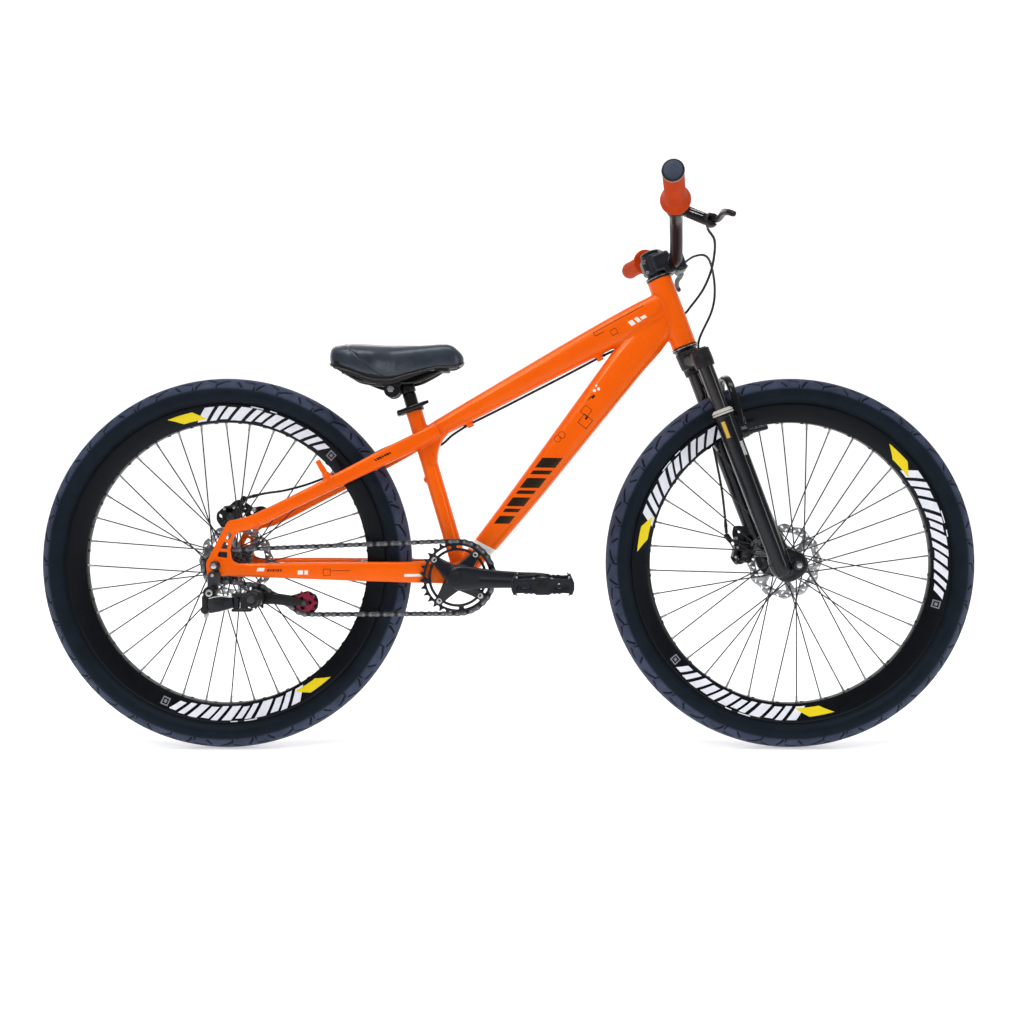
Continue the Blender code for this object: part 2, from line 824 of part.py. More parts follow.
for side in (-1, 1):
    run = [
        (0.2080, 0.6900, 0.0400),
        (0.2150, 0.6850, 0.0380),
        (0.2320, 0.6700, 0.0290),
        (0.2600, 0.6630, RAIL_Y),
        (0.3000, 0.6615, RAIL_Y),
        (0.3400, 0.6620, RAIL_Y),
        (0.3700, 0.6740, 0.0170),
        (0.3920, 0.6870, 0.0110),
    ]
    line = [at(a, u, s * side) for a, u, s in run]
    rail_points += line if side == -1 else line[::-1]
rails = meshed(tube("saddle_rails", STEEL, rail_points, 0.0035, 0))
rail_clamp_plates = [
    block(
        "rail_clamp_" + tag,
        BLACK,
        (0.0340, 0.0090, 0.0130),
        Matrix.Translation(at(0.3000, 0.6600, (RAIL_Y + 0.0004) * side)),
    )
    for side, tag in ((-1, "right"), (1, "left"))
]
join(rails, *rail_clamp_plates)
cut(
    rails,
    cylinder("rail_clear", None, CLAMP - LEFT * 0.0173, CLAMP + LEFT * 0.0173, 0.0152, 18, helper=True),
    cylinder("rail_bolt_clear", None, CLAMP - LEFT * 0.0400, CLAMP + LEFT * 0.0400, 0.0046, 10, helper=True),
)


def saddle_ring(ahead, low, top, half, sides=14):
    centre = at(ahead, (low + top) / 2)
    return oval(centre, LEFT, Vector((0, 0, 1)), half, (top - low) / 2, sides, 2.6)


cushion = loft(
    "saddle_cover",
    VINYL,
    [
        saddle_ring(0.1925, 0.6965, 0.7200, 0.0480),
        saddle_ring(0.2050, 0.6850, 0.7290, 0.0700),
        saddle_ring(0.2350, 0.6750, 0.7315, 0.0790),
        saddle_ring(0.2700, 0.6665, 0.7305, 0.0720),
        saddle_ring(0.3050, 0.6670, 0.7300, 0.0500),
        saddle_ring(0.3500, 0.6800, 0.7315, 0.0310),
        saddle_ring(0.3900, 0.6875, 0.7340, 0.0250),
        saddle_ring(0.4060, 0.6895, 0.7335, 0.0232),
        saddle_ring(0.4190, 0.6915, 0.7270, 0.0200),
        saddle_ring(0.4300, 0.6980, 0.7120, 0.0110),
    ],
)
cover_rooms = []
for ahead, half in (
    (0.1985, 0.0540),
    (0.2010, 0.0566),
    (0.2400, 0.0706),
    (0.2750, 0.0626),
    (0.3100, 0.0426),
    (0.3500, 0.0268),
    (0.3950, 0.0202),
    (0.4040, 0.0192),
    (0.4212, 0.0130),
):
    cover_rooms.append([at(ahead, up, half * s) for s, up in ((-1, 0.6200), (1, 0.6200), (1, 0.6978), (-1, 0.6978))])
cover_room = loft("cover_room", None, cover_rooms, helper=True)
cut(cushion, cover_room)
saddle_base = loft(
    "saddle_base",
    PLASTIC,
    [
        saddle_ring(0.2010, 0.6900, 0.6974, 0.0560, 12),
        saddle_ring(0.2400, 0.6860, 0.6974, 0.0700, 12),
        saddle_ring(0.2750, 0.6850, 0.6964, 0.0620, 12),
        saddle_ring(0.3100, 0.6850, 0.6944, 0.0420, 12),
        saddle_ring(0.3500, 0.6850, 0.6934, 0.0260, 12),
        saddle_ring(0.3950, 0.6860, 0.6950, 0.0190, 12),
        saddle_ring(0.4200, 0.6900, 0.6965, 0.0120, 12),
    ],
)
join(
    saddle_base,
    block("rail_foot_front", PLASTIC, (0.0260, 0.0360, 0.0110), Matrix.Translation(at(0.3900, 0.6870))),
)
rear_feet = [
    block(
        "rail_foot_" + tag,
        PLASTIC,
        (0.0240, 0.0180, 0.0110),
        Matrix.Translation(at(0.2120, 0.6890, 0.0400 * side)),
    )
    for side, tag in ((-1, "right"), (1, "left"))
]
join(saddle_base, *rear_feet)
rail_room = meshed(tube("rail_room", None, rail_points, 0.0044, 0, helper=True))
cut(saddle_base, rail_room)

# ---------------------------------------------------------------- fork and cockpit
crown = cylinder("fork_crown", BLACK, steer(0, 0, -0.0420), steer(0, 0, -0.0092), 0.0195, 20, 0.0215)
crown_parts = [cylinder("steerer", BLACK, steer(0, 0, -0.030), steer(0, 0, 0.1780), STEERER_R, 16)]
for side, tag in ((-1, "right"), (1, "left")):
    crown_parts.append(
        cylinder(
            "leg_clamp_" + tag,
            BLACK,
            steer(LEG_AHEAD, LEG_Y * side, -0.0520),
            steer(LEG_AHEAD, LEG_Y * side, -0.0190),
            0.0172,
            14,
        )
    )
    rings = []
    for t, b, half_fwd, half_up in ((0.0, -0.0270, 0.0185, 0.0140), (0.5, -0.0285, 0.0150, 0.0125), (0.9, -0.0345, 0.0140, 0.0130)):
        rings.append(
            oval(
                steer(LEG_AHEAD * t, LEG_Y * t * side, b),
                STEER_FWD,
                STEER_UP,
                half_fwd,
                half_up,
                12,
                2.6,
            )
        )
    crown_parts.append(loft("crown_arm_" + tag, BLACK, rings))
join(crown, *crown_parts)
cut(
    crown,
    cylinder("steerer_bore", None, steer(0, 0, -0.060), steer(0, 0, 0.20), 0.0115, 14, helper=True),
    *[
        cylinder(
            "clamp_hole_" + tag,
            None,
            steer(LEG_AHEAD, LEG_Y * side, -0.060),
            steer(LEG_AHEAD, LEG_Y * side, -0.0220),
            STANCHION_R + 0.0006,
            14,
            helper=True,
        )
        for side, tag in ((-1, "right"), (1, "left"))
    ],
)
stanchions = []
for side, tag in ((-1, "right"), (1, "left")):
    stanchions.append(
        turned(
            "stanchion_" + tag,
            BLACK,
            [(0.0112, -0.2400), (STANCHION_R, -0.2400), (STANCHION_R, -0.0240), (0.0112, -0.0240)][::-1],
            steer(LEG_AHEAD, LEG_Y * side, 0),
            STEER_UP,
            16,
        )
    )

# lower casting
LEG_TOP = -0.1412
AXLE_FWD = (FRONT_HUB - HEAD).dot(STEER_FWD)
AXLE_UP = (FRONT_HUB - HEAD).dot(STEER_UP)
leg_objs = []
fork_room = []
for side, tag in ((-1, "right"), (1, "left")):
    leg_objs.append(
        turned(
            "leg_" + tag,
            BLACK,
            [(0.0, -0.4450), (0.0120, -0.4450), (0.0165, -0.4300), (LEG_R - 0.0005, -0.3000), (LEG_R, LEG_TOP), (0.0, LEG_TOP)][::-1],
            steer(LEG_AHEAD, LEG_Y * side, 0),
            STEER_UP,
            16,
            closed=False,
        )
    )
    lug = [
        (-0.0070, 0.0320),
        (-0.0080, 0.0020),
        (0.0040, -0.0190),
        (0.0200, -0.0250),
        (0.0450, -0.0200),
        (0.0580, -0.0090),
        (0.0600, 0.0060),
        (0.0520, 0.0200),
        (0.0360, 0.0320),
        (0.0270, 0.0520),
    ]
    m = Matrix((STEER_FWD, STEER_UP, STEER_FWD.cross(STEER_UP))).transposed().to_4x4()
    m.translation = steer(0, 0.0564 * side, AXLE_UP)
    leg_objs.append(plate("fork_end_" + tag, BLACK, [lug], 0.0115, m))
    post_foot = steer(0.0240, LEG_Y * side, -0.1830)
    leg_objs.append(cylinder("arch_foot_" + tag, BLACK, steer(0.0150, 0.0575 * side, -0.1830), steer(0.0440, 0.0560 * side, -0.1830), 0.0105, 12))
    leg_objs.append(cylinder("brake_stud_" + tag, BLACK, steer(0.0420, 0.0560 * side, -0.1850), steer(0.0770, 0.0560 * side, -0.1890), 0.0046, 10))
    fork_room.append(
        cylinder(
            "leg_bore_" + tag,
            None,
            steer(LEG_AHEAD, LEG_Y * side, -0.3100),
            steer(LEG_AHEAD, LEG_Y * side, LEG_TOP + 0.02),
            STANCHION_R + 0.0006,
            16,
            helper=True,
        )
    )
arch_stations = [
    (0.0360, -0.0565, -0.1830),
    (0.0385, -0.0545, -0.1400),
    (0.0400, -0.0480, -0.1050),
    (0.0430, -0.0300, -0.0850),
    (0.0440, 0.0, -0.0790),
    (0.0430, 0.0300, -0.0850),
    (0.0400, 0.0480, -0.1050),
    (0.0385, 0.0545, -0.1400),
    (0.0360, 0.0565, -0.1830),
]
arch_rings = []
for i, (f, s, u) in enumerate(arch_stations):
    a = steer(*arch_stations[max(i - 1, 0)])
    b = steer(*arch_stations[min(i + 1, len(arch_stations) - 1)])
    run = (b - a).normalized()
    wide = (STEER_FWD - run * STEER_FWD.dot(run)).normalized()
    arch_rings.append(oval(steer(f, s, u), wide, run.cross(wide), 0.0092, 0.0058, 8, 2.6))
arch = loft("arch", BLACK, arch_rings)
tab_plane = Matrix((STEER_FWD, STEER_UP, STEER_FWD.cross(STEER_UP))).transposed().to_4x4()
tab_plane.translation = steer(0, 0.0572, AXLE_UP)
front_tab = plate(
    "caliper_tab",
    BLACK,
    [[(0.0050, 0.0250), (-0.0280, 0.0220), (-0.0430, 0.0420), (-0.0300, 0.0680), (0.0050, 0.0760)]],
    0.0050,
    tab_plane,
)
lowers = leg_objs[0]
lowers.name = "fork_lowers"
join(lowers, *leg_objs[1:], arch, front_tab)
cut(
    lowers,
    *fork_room,
    cylinder("front_axle_hole", None, FRONT_HUB - LEFT * 0.07, FRONT_HUB + LEFT * 0.07, 0.0055, 10, helper=True),
    cylinder("nut_room_right", None, FRONT_HUB - LEFT * 0.0625, FRONT_HUB - LEFT * 0.09, 0.0105, 12, helper=True),
    cylinder("nut_room_left", None, FRONT_HUB + LEFT * 0.0625, FRONT_HUB + LEFT * 0.09, 0.0105, 12, helper=True),
)
seals = []
for side, tag in ((-1, "right"), (1, "left")):
    seals.append(
        turned(
            "fork_seal_" + tag,
            SEAL,
            [(0.0142, -0.1409), (0.0188, -0.1409), (0.0188, -0.1350), (0.0160, -0.1310), (0.0142, -0.1310)][::-1],
            steer(LEG_AHEAD, LEG_Y * side, 0),
            STEER_UP,
            16,
        )
    )
# stem and bar
BAR_CLAMP = at(0.8105, 0.8800)
clamp_fwd = (BAR_CLAMP - HEAD).dot(STEER_FWD)
clamp_up = (BAR_CLAMP - HEAD).dot(STEER_UP)
stem = cylinder("stem", BLACK, steer(0, 0, 0.1395), steer(0, 0, 0.1765), 0.0190, 20)
stem_body = block(
    "stem_body",
    BLACK,
    (0.0330, 0.0460, 0.0330),
    facing(steer(0.0130, 0, 0.1570), STEER_UP, STEER_FWD),
    bevel=0.004,
)
stem_jaw = block(
    "stem_jaw",
    BLACK,
    (0.0240, 0.0460, 0.0340),
    facing(steer(clamp_fwd - 0.0125, 0, clamp_up), STEER_UP, STEER_FWD),
    bevel=0.003,
)
join(stem, stem_body, stem_jaw)
cut(
    stem,
    cylinder("stem_bore", None, steer(0, 0, 0.12), steer(0, 0, 0.20), STEERER_R + 0.0006, 16, helper=True),
    cylinder("bar_seat", None, BAR_CLAMP - LEFT * 0.05, BAR_CLAMP + LEFT * 0.05, 0.0131, 20, helper=True),
    cylinder("cup_room", None, steer(0, 0, 0.11), steer(0, 0, 0.1397), 0.0250, 16, helper=True),
    block(
        "stem_split",
        None,
        (0.0120, 0.08, 0.08),
        facing(steer(clamp_fwd + 0.0062, 0, clamp_up), STEER_UP, STEER_FWD),
        helper=True,
    ),
)
faceplate = block(
    "stem_faceplate",
    BLACK,
    (0.0180, 0.0440, 0.0400),
    facing(steer(clamp_fwd + 0.0096, 0, clamp_up), STEER_UP, STEER_FWD),
    bevel=0.004,
)
cut(
    faceplate,
    cylinder("plate_seat", None, BAR_CLAMP - LEFT * 0.05, BAR_CLAMP + LEFT * 0.05, 0.0131, 20, helper=True),
)
top_cap = turned(
    "stem_top_cap",
    BLACK,
    [(0.0, 0.1835), (0.0130, 0.1835), (0.0175, 0.1815), (0.0175, 0.1784), (0.0, 0.1784)],
    steer(0, 0, 0),
    STEER_UP,
    20,
    closed=False,
)

bar_points = [
    (0.8105, 0.8800, 0.0000),
    (0.8105, 0.8800, 0.0330),
    (0.8095, 0.8840, 0.0450),
    (0.8060, 0.8980, 0.0720),
    (0.8010, 0.9160, 0.1060),
    (0.7985, 0.9240, 0.1240),
    (0.7958, 0.9272, 0.1420),
    (0.7842, 0.9325, 0.2200),
    (0.7632, 0.9415, BAR_HALF),
]
bar_left = [at(a, u, s) for a, u, s in bar_points]
bar_right = [at(a, u, -s) for a, u, s in bar_points[1:]]
handlebar = tube("handlebar", BLACK, bar_right[::-1] + bar_left, 0.0111, 2)
handlebar = meshed(handlebar)
sleeve = cylinder("bar_sleeve", BLACK, BAR_CLAMP - LEFT * 0.0255, BAR_CLAMP + LEFT * 0.0255, 0.0127, 16)
join(handlebar, sleeve)
grips, perches, levers = [], [], []
EAR_DROP = math.radians(24.0)
EAR_FWD = Vector((math.cos(EAR_DROP), 0.0, -math.sin(EAR_DROP)))
EAR_UP = Vector((math.sin(EAR_DROP), 0.0, math.cos(EAR_DROP)))
lever_pivots = {}
for side, tag in ((-1, "right"), (1, "left")):
    inner = at(0.7842, 0.9325, 0.2200 * side)
    outer = at(0.7632, 0.9415, BAR_HALF * side)
    way = (outer - inner).normalized()
    grip = turned(
        "grip_" + tag,
        GRIP,
        [
            (0.0, 0.1272),
            (0.0115, 0.1272),
            (0.0115, -0.0010),
            (0.0250, -0.0010),
            (0.0250, 0.0030),
            (0.0168, 0.0060),
            (0.0160, 0.1180),
            (0.0172, 0.1240),
            (0.0172, 0.1300),
            (0.0, 0.1300),
        ],
        inner,
        way,
        16,
        closed=False,
    )
    grips.append(grip)
    bar_at = at(0.7897, 0.9300, 0.1830 * side)
    hinge_at = at(0.8480, 0.9085, 0.1870 * side)
    lever_pivots[tag] = hinge_at
    perch = cylinder("lever_perch_" + tag, BLACK, bar_at - way * 0.0080, bar_at + way * 0.0080, 0.0160, 18)
    arm = block(
        "perch_arm_" + tag,
        BLACK,
        (0.0480, 0.0150, 0.0120),
        facing((bar_at + hinge_at) / 2 + EAR_FWD * 0.002, EAR_UP, hinge_at - bar_at),
    )
    fork_end = block(
        "perch_fork_" + tag,
        BLACK,
        (0.0180, 0.0170, 0.0190),
        facing(hinge_at - EAR_FWD * 0.002, EAR_UP, EAR_FWD),
    )
    barrel = cylinder(
        "perch_barrel_" + tag,
        BLACK,
        hinge_at - LEFT * side * 0.0060 - EAR_FWD * 0.006,
        hinge_at - LEFT * side * 0.0260 - EAR_FWD * 0.002,
        0.0052,
        10,
    )
    join(perch, arm, fork_end, barrel)
    cut(
        perch,
        cylinder("perch_bore_" + tag, None, bar_at - way * 0.03, bar_at + way * 0.03, 0.0116, 18, helper=True),
        block(
            "perch_slot_" + tag,
            None,
            (0.0300, 0.0500, 0.0078),
            facing(hinge_at + EAR_FWD * 0.0070, EAR_UP, EAR_FWD),
            helper=True,
        ),
    )
    perches.append(perch)
    blade_points = [
        hinge_at,
        hinge_at + EAR_FWD * 0.0070 + LEFT * side * 0.0180,
        hinge_at + EAR_FWD * 0.0090 + EAR_UP * 0.0010 + LEFT * side * 0.0420,
        hinge_at + EAR_FWD * 0.0080 - EAR_UP * 0.0030 + LEFT * side * 0.0700,
        hinge_at + EAR_FWD * 0.0130 - EAR_UP * 0.0080 + LEFT * side * 0.0960,
        hinge_at + EAR_FWD * 0.0220 - EAR_UP * 0.0110 + LEFT * side * 0.1100,
    ]
    rings = []
    for i, p in enumerate(blade_points):
        a = blade_points[max(i - 1, 0)]
        b = blade_points[min(i + 1, len(blade_points) - 1)]
        run = (b - a).normalized()
        across = EAR_UP.cross(run).normalized()
        rings.append(oval(p, across, EAR_UP, 0.0046 if i else 0.0062, 0.0036 if i < 2 else 0.0048, 8, 2.6))
    blade = loft("brake_lever_" + tag, BLACK, rings)
    levers.append(blade)

# ---------------------------------------------------------------- disc calipers
FRONT_CALIPER = steer(AXLE_FWD - 0.0674, 0.0, AXLE_UP + 0.0418)
arm_pull_front = Vector((-0.30, 0.0, 0.95)).normalized()


def caliper(name, centre, rotor_y, hub, turn_up, outer_y):
    m = facing(Vector((centre.x, rotor_y + 0.0010, centre.z)), turn_up, LEFT)
    body = block(name, BLACK, (outer_y, 0.0360, 0.0460), m, bevel=0.004)
    cut(
        body,
        cylinder(
            name + "_slot",
            None,
            hub + LEFT * (rotor_y - 0.0020),
            hub + LEFT * (rotor_y + 0.0020),
            ROTOR_R + 0.0015,
            40,
            helper=True,
        ),
    )
    return body


radial_front = (FRONT_CALIPER - FRONT_HUB).normalized()
tangent_front = radial_front.cross(LEFT).normalized()
front_caliper = caliper("front_caliper", FRONT_CALIPER, FRONT_ROTOR_Y, FRONT_HUB, tangent_front, 0.0270)
REAR_CALIPER = at(-0.0090, 0.4210)
radial_rear = (REAR_CALIPER - REAR_HUB).normalized()
tangent_rear = radial_rear.cross(LEFT).normalized()
rear_caliper = caliper("rear_caliper", REAR_CALIPER, REAR_ROTOR_Y, REAR_HUB, tangent_rear, 0.0270)


def brake_arm(name, centre, start_y, reach):
    foot = Vector((centre.x, start_y, centre.z))
    tip = foot + reach
    way = reach.normalized()
    arm = cylinder(name, DARK_STEEL, foot, foot + LEFT * 0.0050, 0.0085, 14)
    bar = block(
        name + "_bar",
        DARK_STEEL,
        (0.0030, 0.0090, reach.length),
        facing((foot + tip) / 2 + LEFT * 0.0030, way, LEFT),
    )
    end = cylinder(name + "_end", DARK_STEEL, tip + LEFT * 0.0005, tip + LEFT * 0.0055, 0.0055, 12)
    join(arm, bar, end)
    return arm, tip


front_arm, front_pull = brake_arm("front_brake_arm", FRONT_CALIPER, 0.0605, Vector((-0.0240, 0.0, 0.0300)))
rear_arm, rear_pull = brake_arm("rear_brake_arm", REAR_CALIPER, 0.0745, Vector((0.0150, 0.0, 0.0300)))

# ---------------------------------------------------------------- drive
BLOCK_HALF = 0.0025
PLATE_HALF_TALL = 0.0036
PLATE_IN = 0.0021
PLATE_OUT = 0.0032


def arc_radius(teeth):
    return teeth * PITCH / (2 * math.pi)


def tangent_way(c1, r1, c2, r2):
    """Direction of travel from circle 1 to circle 2; a radius is negative where the run turns clockwise."""
    dx, dz = c2[0] - c1[0], c2[1] - c1[1]
    return math.atan2(dz, dx) - math.asin((r2 - r1) / math.hypot(dx, dz))


def chain_run(tension):
    """Pieces of the loop seen from the drive side, anticlockwise, as (kind, data, length)."""
    rounds = [
        (BB, arc_radius(RING_TEETH), RING_Y, "ring"),
        ((0.0, HUB_Z), arc_radius(COG_TEETH[0]), COG_Y, "cog"),
        (GUIDE, -arc_radius(PULLEY_TEETH), COG_Y, "guide"),
        (tension, arc_radius(PULLEY_TEETH), COG_Y, "tension"),
    ]
    ways = [
        tangent_way(rounds[i][0], rounds[i][1], rounds[(i + 1) % 4][0], rounds[(i + 1) % 4][1]) for i in range(4)
    ]
    run = []
    for i in range(4):
        centre, r, y, tag = rounds[i]
        come, leave = ways[i - 1], ways[i]
        turn = leave - come
        if r > 0:
            while turn < 0:
                turn += 2 * math.pi
            while turn >= 2 * math.pi:
                turn -= 2 * math.pi
        else:
            while turn > 0:
                turn -= 2 * math.pi
            while turn <= -2 * math.pi:
                turn += 2 * math.pi
        run.append(("arc", (centre, r, y, tag, come, turn), abs(r * turn)))
        nxt = rounds[(i + 1) % 4]

        def touch(c, radius, way):
            return (c[0] + radius * math.sin(way), c[1] - radius * math.cos(way))

        a = touch(centre, r, leave)
        b = touch(nxt[0], nxt[1], leave)
        run.append(("line", (a, b, y, nxt[2], leave), math.hypot(b[0] - a[0], b[1] - a[1])))
    return run


def tension_at(angle):
    return (GUIDE[0] + CAGE_LEN * math.cos(angle), GUIDE[1] + CAGE_LEN * math.sin(angle))


def total(angle):
    return sum(length for _, _, length in chain_run(tension_at(angle)))


TENSION = tension_at(CAGE_ANGLE)
RUN = chain_run(TENSION)


def run_point(s):
    """(point, direction angle, side) at arc length s."""
    for kind, data, length in RUN:
        if s <= length + 1e-12:
            if kind == "line":
                a, b, y0, y1, way = data
                t = s / length
                # the run stays in line with the teeth at both ends
                shift = min(max((s - 0.033) / max(length - 0.055, 0.001), 0.0), 1.0)
                return (a[0] + (b[0] - a[0]) * t, a[1] + (b[1] - a[1]) * t), way, y0 + (y1 - y0) * shift
            centre, r, y, _, come, turn = data
            way = come + turn * s / length
            return (centre[0] + r * math.sin(way), centre[1] - r * math.cos(way)), way, y
        s -= length
    return run_point(0.0)


LENGTH = sum(length for _, _, length in RUN)
LINK = LENGTH / (2 * round(LENGTH / PITCH / 2))  # a whole, even number of links
marks = []
arc_phase = {}
start = 0.0
for kind, data, length in RUN:
    if kind == "arc":
        # teeth reach as far as this into the straight runs
        reach = 0.0262 if data[3] == "ring" else 0.0140
        k = math.floor((start - reach) / LINK)
        last = math.ceil((start + length + reach) / LINK)
        while k <= last:
            marks.append((k * LINK - BLOCK_HALF, True))
            marks.append((k * LINK + BLOCK_HALF, False))
            if start <= k * LINK <= start + length and data[3] not in arc_phase:
                way = data[4] + data[5] * (k * LINK - start) / length
                side = 1 if data[1] > 0 else -1
                arc_phase[data[3]] = math.atan2(-side * math.cos(way), side * math.sin(way))
            k += 1
    start += length
marks.sort()
stations = []
for position, opens in marks:
    stations.append(((position % LENGTH), opens))
stations = sorted(set((round(position, 7), opens) for position, opens in stations))
bm = bmesh.new()
rows = []
for position, opens in stations:
    (x, z), way, y = run_point(position)
    centre = at(x, z, y)
    up = Vector((-math.sin(way), 0.0, math.cos(way)))
    row = []
    for v, w in (
        (-PLATE_OUT, -1),
        (-PLATE_IN, -1),
        (PLATE_IN, -1),
        (PLATE_OUT, -1),
        (PLATE_OUT, 1),
        (PLATE_IN, 1),
        (-PLATE_IN, 1),
        (-PLATE_OUT, 1),
    ):
        row.append(bm.verts.new(centre + LEFT * v + up * PLATE_HALF_TALL * w - CRANK_AXIS))
    rows.append((row, opens, position))
count = len(rows)
for i in range(count):
    a, a_opens, sa = rows[i]
    b, b_opens, sb = rows[(i + 1) % count]
    gap_length = (sb - sa) % LENGTH
    solid = a_opens or gap_length > LINK
    if solid:
        for p, q in ((0, 1), (1, 2), (2, 3), (3, 4), (4, 5), (5, 6), (6, 7), (7, 0)):
            bm.faces.new((a[p], a[q], b[q], b[p]))
    else:
        for p, q in ((0, 1), (1, 6), (6, 7), (7, 0), (2, 3), (3, 4), (4, 5), (5, 2)):
            bm.faces.new((a[p], a[q], b[q], b[p]))
for i in range(count):
    a, a_opens, sa = rows[i]
    b, _, sb = rows[(i + 1) % count]
    _, prev_opens, sp = rows[i - 1]
    before = prev_opens or ((sa - sp) % LENGTH) > LINK
    after = a_opens or ((sb - sa) % LENGTH) > LINK
    if before != after:
        bm.faces.new((a[1], a[2], a[5], a[6]))
chain = put("chain", finish_mesh(bm, smooth=False), CHAIN_STEEL, Matrix.Translation(CRANK_AXIS))


def toothed(teeth, phase, points=3, tip=0.0016, root=0.0044):
    """Sprocket outline with a gap between teeth at the phase angle."""
    r = arc_radius(teeth)
    outline = []
    for k in range(teeth):
        mid = phase + 2 * math.pi * (k + 0.5) / teeth
        if points == 3:
            for radius, half in ((r - root, -0.0026), (r + tip, 0.0), (r - root, 0.0026)):
                t = mid + half / radius
                outline.append((radius * math.cos(t), radius * math.sin(t)))
        else:
            outline.append(((r + tip) * math.cos(mid), (r + tip) * math.sin(mid)))
            t = mid + math.pi / teeth
            outline.append(((r - root) * math.cos(t), (r - root) * math.sin(t)))
    return outline


cassette = cylinder("cassette", CHAIN_STEEL, REAR_HUB - LEFT * 0.0640, REAR_HUB - LEFT * 0.0310, 0.0200, 12)
cogs = []
for n, teeth in enumerate(COG_TEETH):
    cogs.append(
        plate(
            "cog_%d" % teeth,
            CHAIN_STEEL,
            [toothed(teeth, arc_phase["cog"], 3 if n == 0 else 2)],
            0.0018,
            side_plane(REAR_HUB + LEFT * (COG_Y + COG_STEP * n)),
        )
    )
join(cassette, *cogs)
cut(
    cassette,
    cylinder("cluster_bore", None, REAR_HUB - LEFT * 0.08, REAR_HUB - LEFT * 0.02, 0.0165, 16, helper=True),
)

BOLT_TURN = math.radians(52)
slots = []
for k in range(8):
    mid = BOLT_TURN + math.radians(24.0 if k % 2 == 0 else 66.0) + math.radians(90) * (k // 2)
    shape = []
    for r, spreads in ((0.0568, (-14, 0, 14)), (0.0522, (14, 0, -14))):
        for a in spreads:
            t = mid + math.radians(a)
            shape.append((r * math.cos(t), r * math.sin(t)))
    slots.append(shape)
chainring = plate(
    "chainring",
    BLACK,
    [toothed(RING_TEETH, arc_phase["ring"]), circle(0.0475, 24)] + slots,
    0.0024,
    side_plane(at(*BB, RING_Y)),
)


def crank_arm(name, side, way, with_spider):
    centre = CRANK_AXIS + LEFT * side * 0.0680
    end = CRANK_AXIS + way * CRANK_LEN + LEFT * side * 0.0830
    run = (end - centre).normalized()
    up = Vector((0, 0, 1))
    rings = []
    for t, tall, thick, shift in (
        (-0.10, 0.0125, 0.0070, 0.0),
        (-0.03, 0.0165, 0.0080, 0.0),
        (0.10, 0.0170, 0.0080, 0.0),
        (0.50, 0.0140, 0.0068, 0.0),
        (0.92, 0.0132, 0.0064, 0.0),
        (1.02, 0.0125, 0.0064, 0.0),
        (1.08, 0.0075, 0.0060, 0.0),
    ):
        p = centre.lerp(end, t)
        rings.append(oval(p, LEFT, up, thick, tall, 12, 3.0))
    arm = loft(name, BLACK, rings)
    extra = [
        cylinder(name + "_boss", BLACK, centre - LEFT * side * 0.0100, centre + LEFT * side * 0.0090, 0.0165, 18),
        cylinder(
            name + "_pedal_pin",
            STEEL,
            end - LEFT * side * 0.0050,
            end + LEFT * side * 0.1020,
            0.0052,
            10,
        ),
    ]
    if with_spider:
        for k in range(4):
            t = BOLT_TURN + math.radians(90) * k
            out = Vector((math.cos(t), 0.0, math.sin(t)))
            across = Vector((-math.sin(t), 0.0, math.cos(t)))
            rings = []
            for r, y, half_w, half_t in (
                (0.0060, 0.0600, 0.0105, 0.0040),
                (0.0280, 0.0590, 0.0080, 0.0036),
                (0.0450, 0.0548, 0.0062, 0.0032),
                (0.0572, 0.0538, 0.0062, 0.0030),
            ):
                rings.append(
                    oval(CRANK_AXIS + out * r + LEFT * side * y, across, LEFT, half_w, half_t, 8, 3.0)
                )
            extra.append(loft(name + "_spider_%d" % k, BLACK, rings))
            spot = CRANK_AXIS + out * 0.0520
            extra.append(
                cylinder(
                    name + "_bolt_%d" % k, STEEL, spot + LEFT * side * 0.0515, spot + LEFT * side * 0.0588, 0.0045, 10
                )
            )
    join(arm, *extra)
    cut(
        arm,
        cylinder(
            name + "_bore", None, CRANK_AXIS, CRANK_AXIS + LEFT * side * 0.0750, 0.0083, 12, helper=True
        ),
    )
    return arm, end


CRANK_WAY = Vector((math.cos(math.radians(1.3)), 0.0, -math.sin(math.radians(1.3))))
crank_right, pedal_spot_right = crank_arm("crank_right", -1, CRANK_WAY, True)
crank_left, pedal_spot_left = crank_arm("crank_left", 1, -CRANK_WAY, False)
spindle = cylinder("crank_spindle", STEEL, CRANK_AXIS - LEFT * 0.0740, CRANK_AXIS + LEFT * 0.0740, 0.0076, 12)


def pedal(name, spot, side):
    centre = spot + LEFT * side * 0.0590
    body = block(name, PLASTIC, (0.1040, 0.0880, 0.0270), Matrix.Translation(centre), bevel=0.004)
    rooms = [
        block(name + "_window_%d" % k, None, (0.0250, 0.0600, 0.05), Matrix.Translation(centre + Vector((0.0315 * k, 0, 0))), helper=True)
        for k in (-1, 1)
    ]
    cut(
        body,
        *rooms,
        cylinder(name + "_bore", None, spot, spot + LEFT * side * 0.12, 0.0058, 10, helper=True),
    )
    return body


pedal_right = pedal("pedal_right", pedal_spot_right, -1)
pedal_left = pedal("pedal_left", pedal_spot_left, 1)

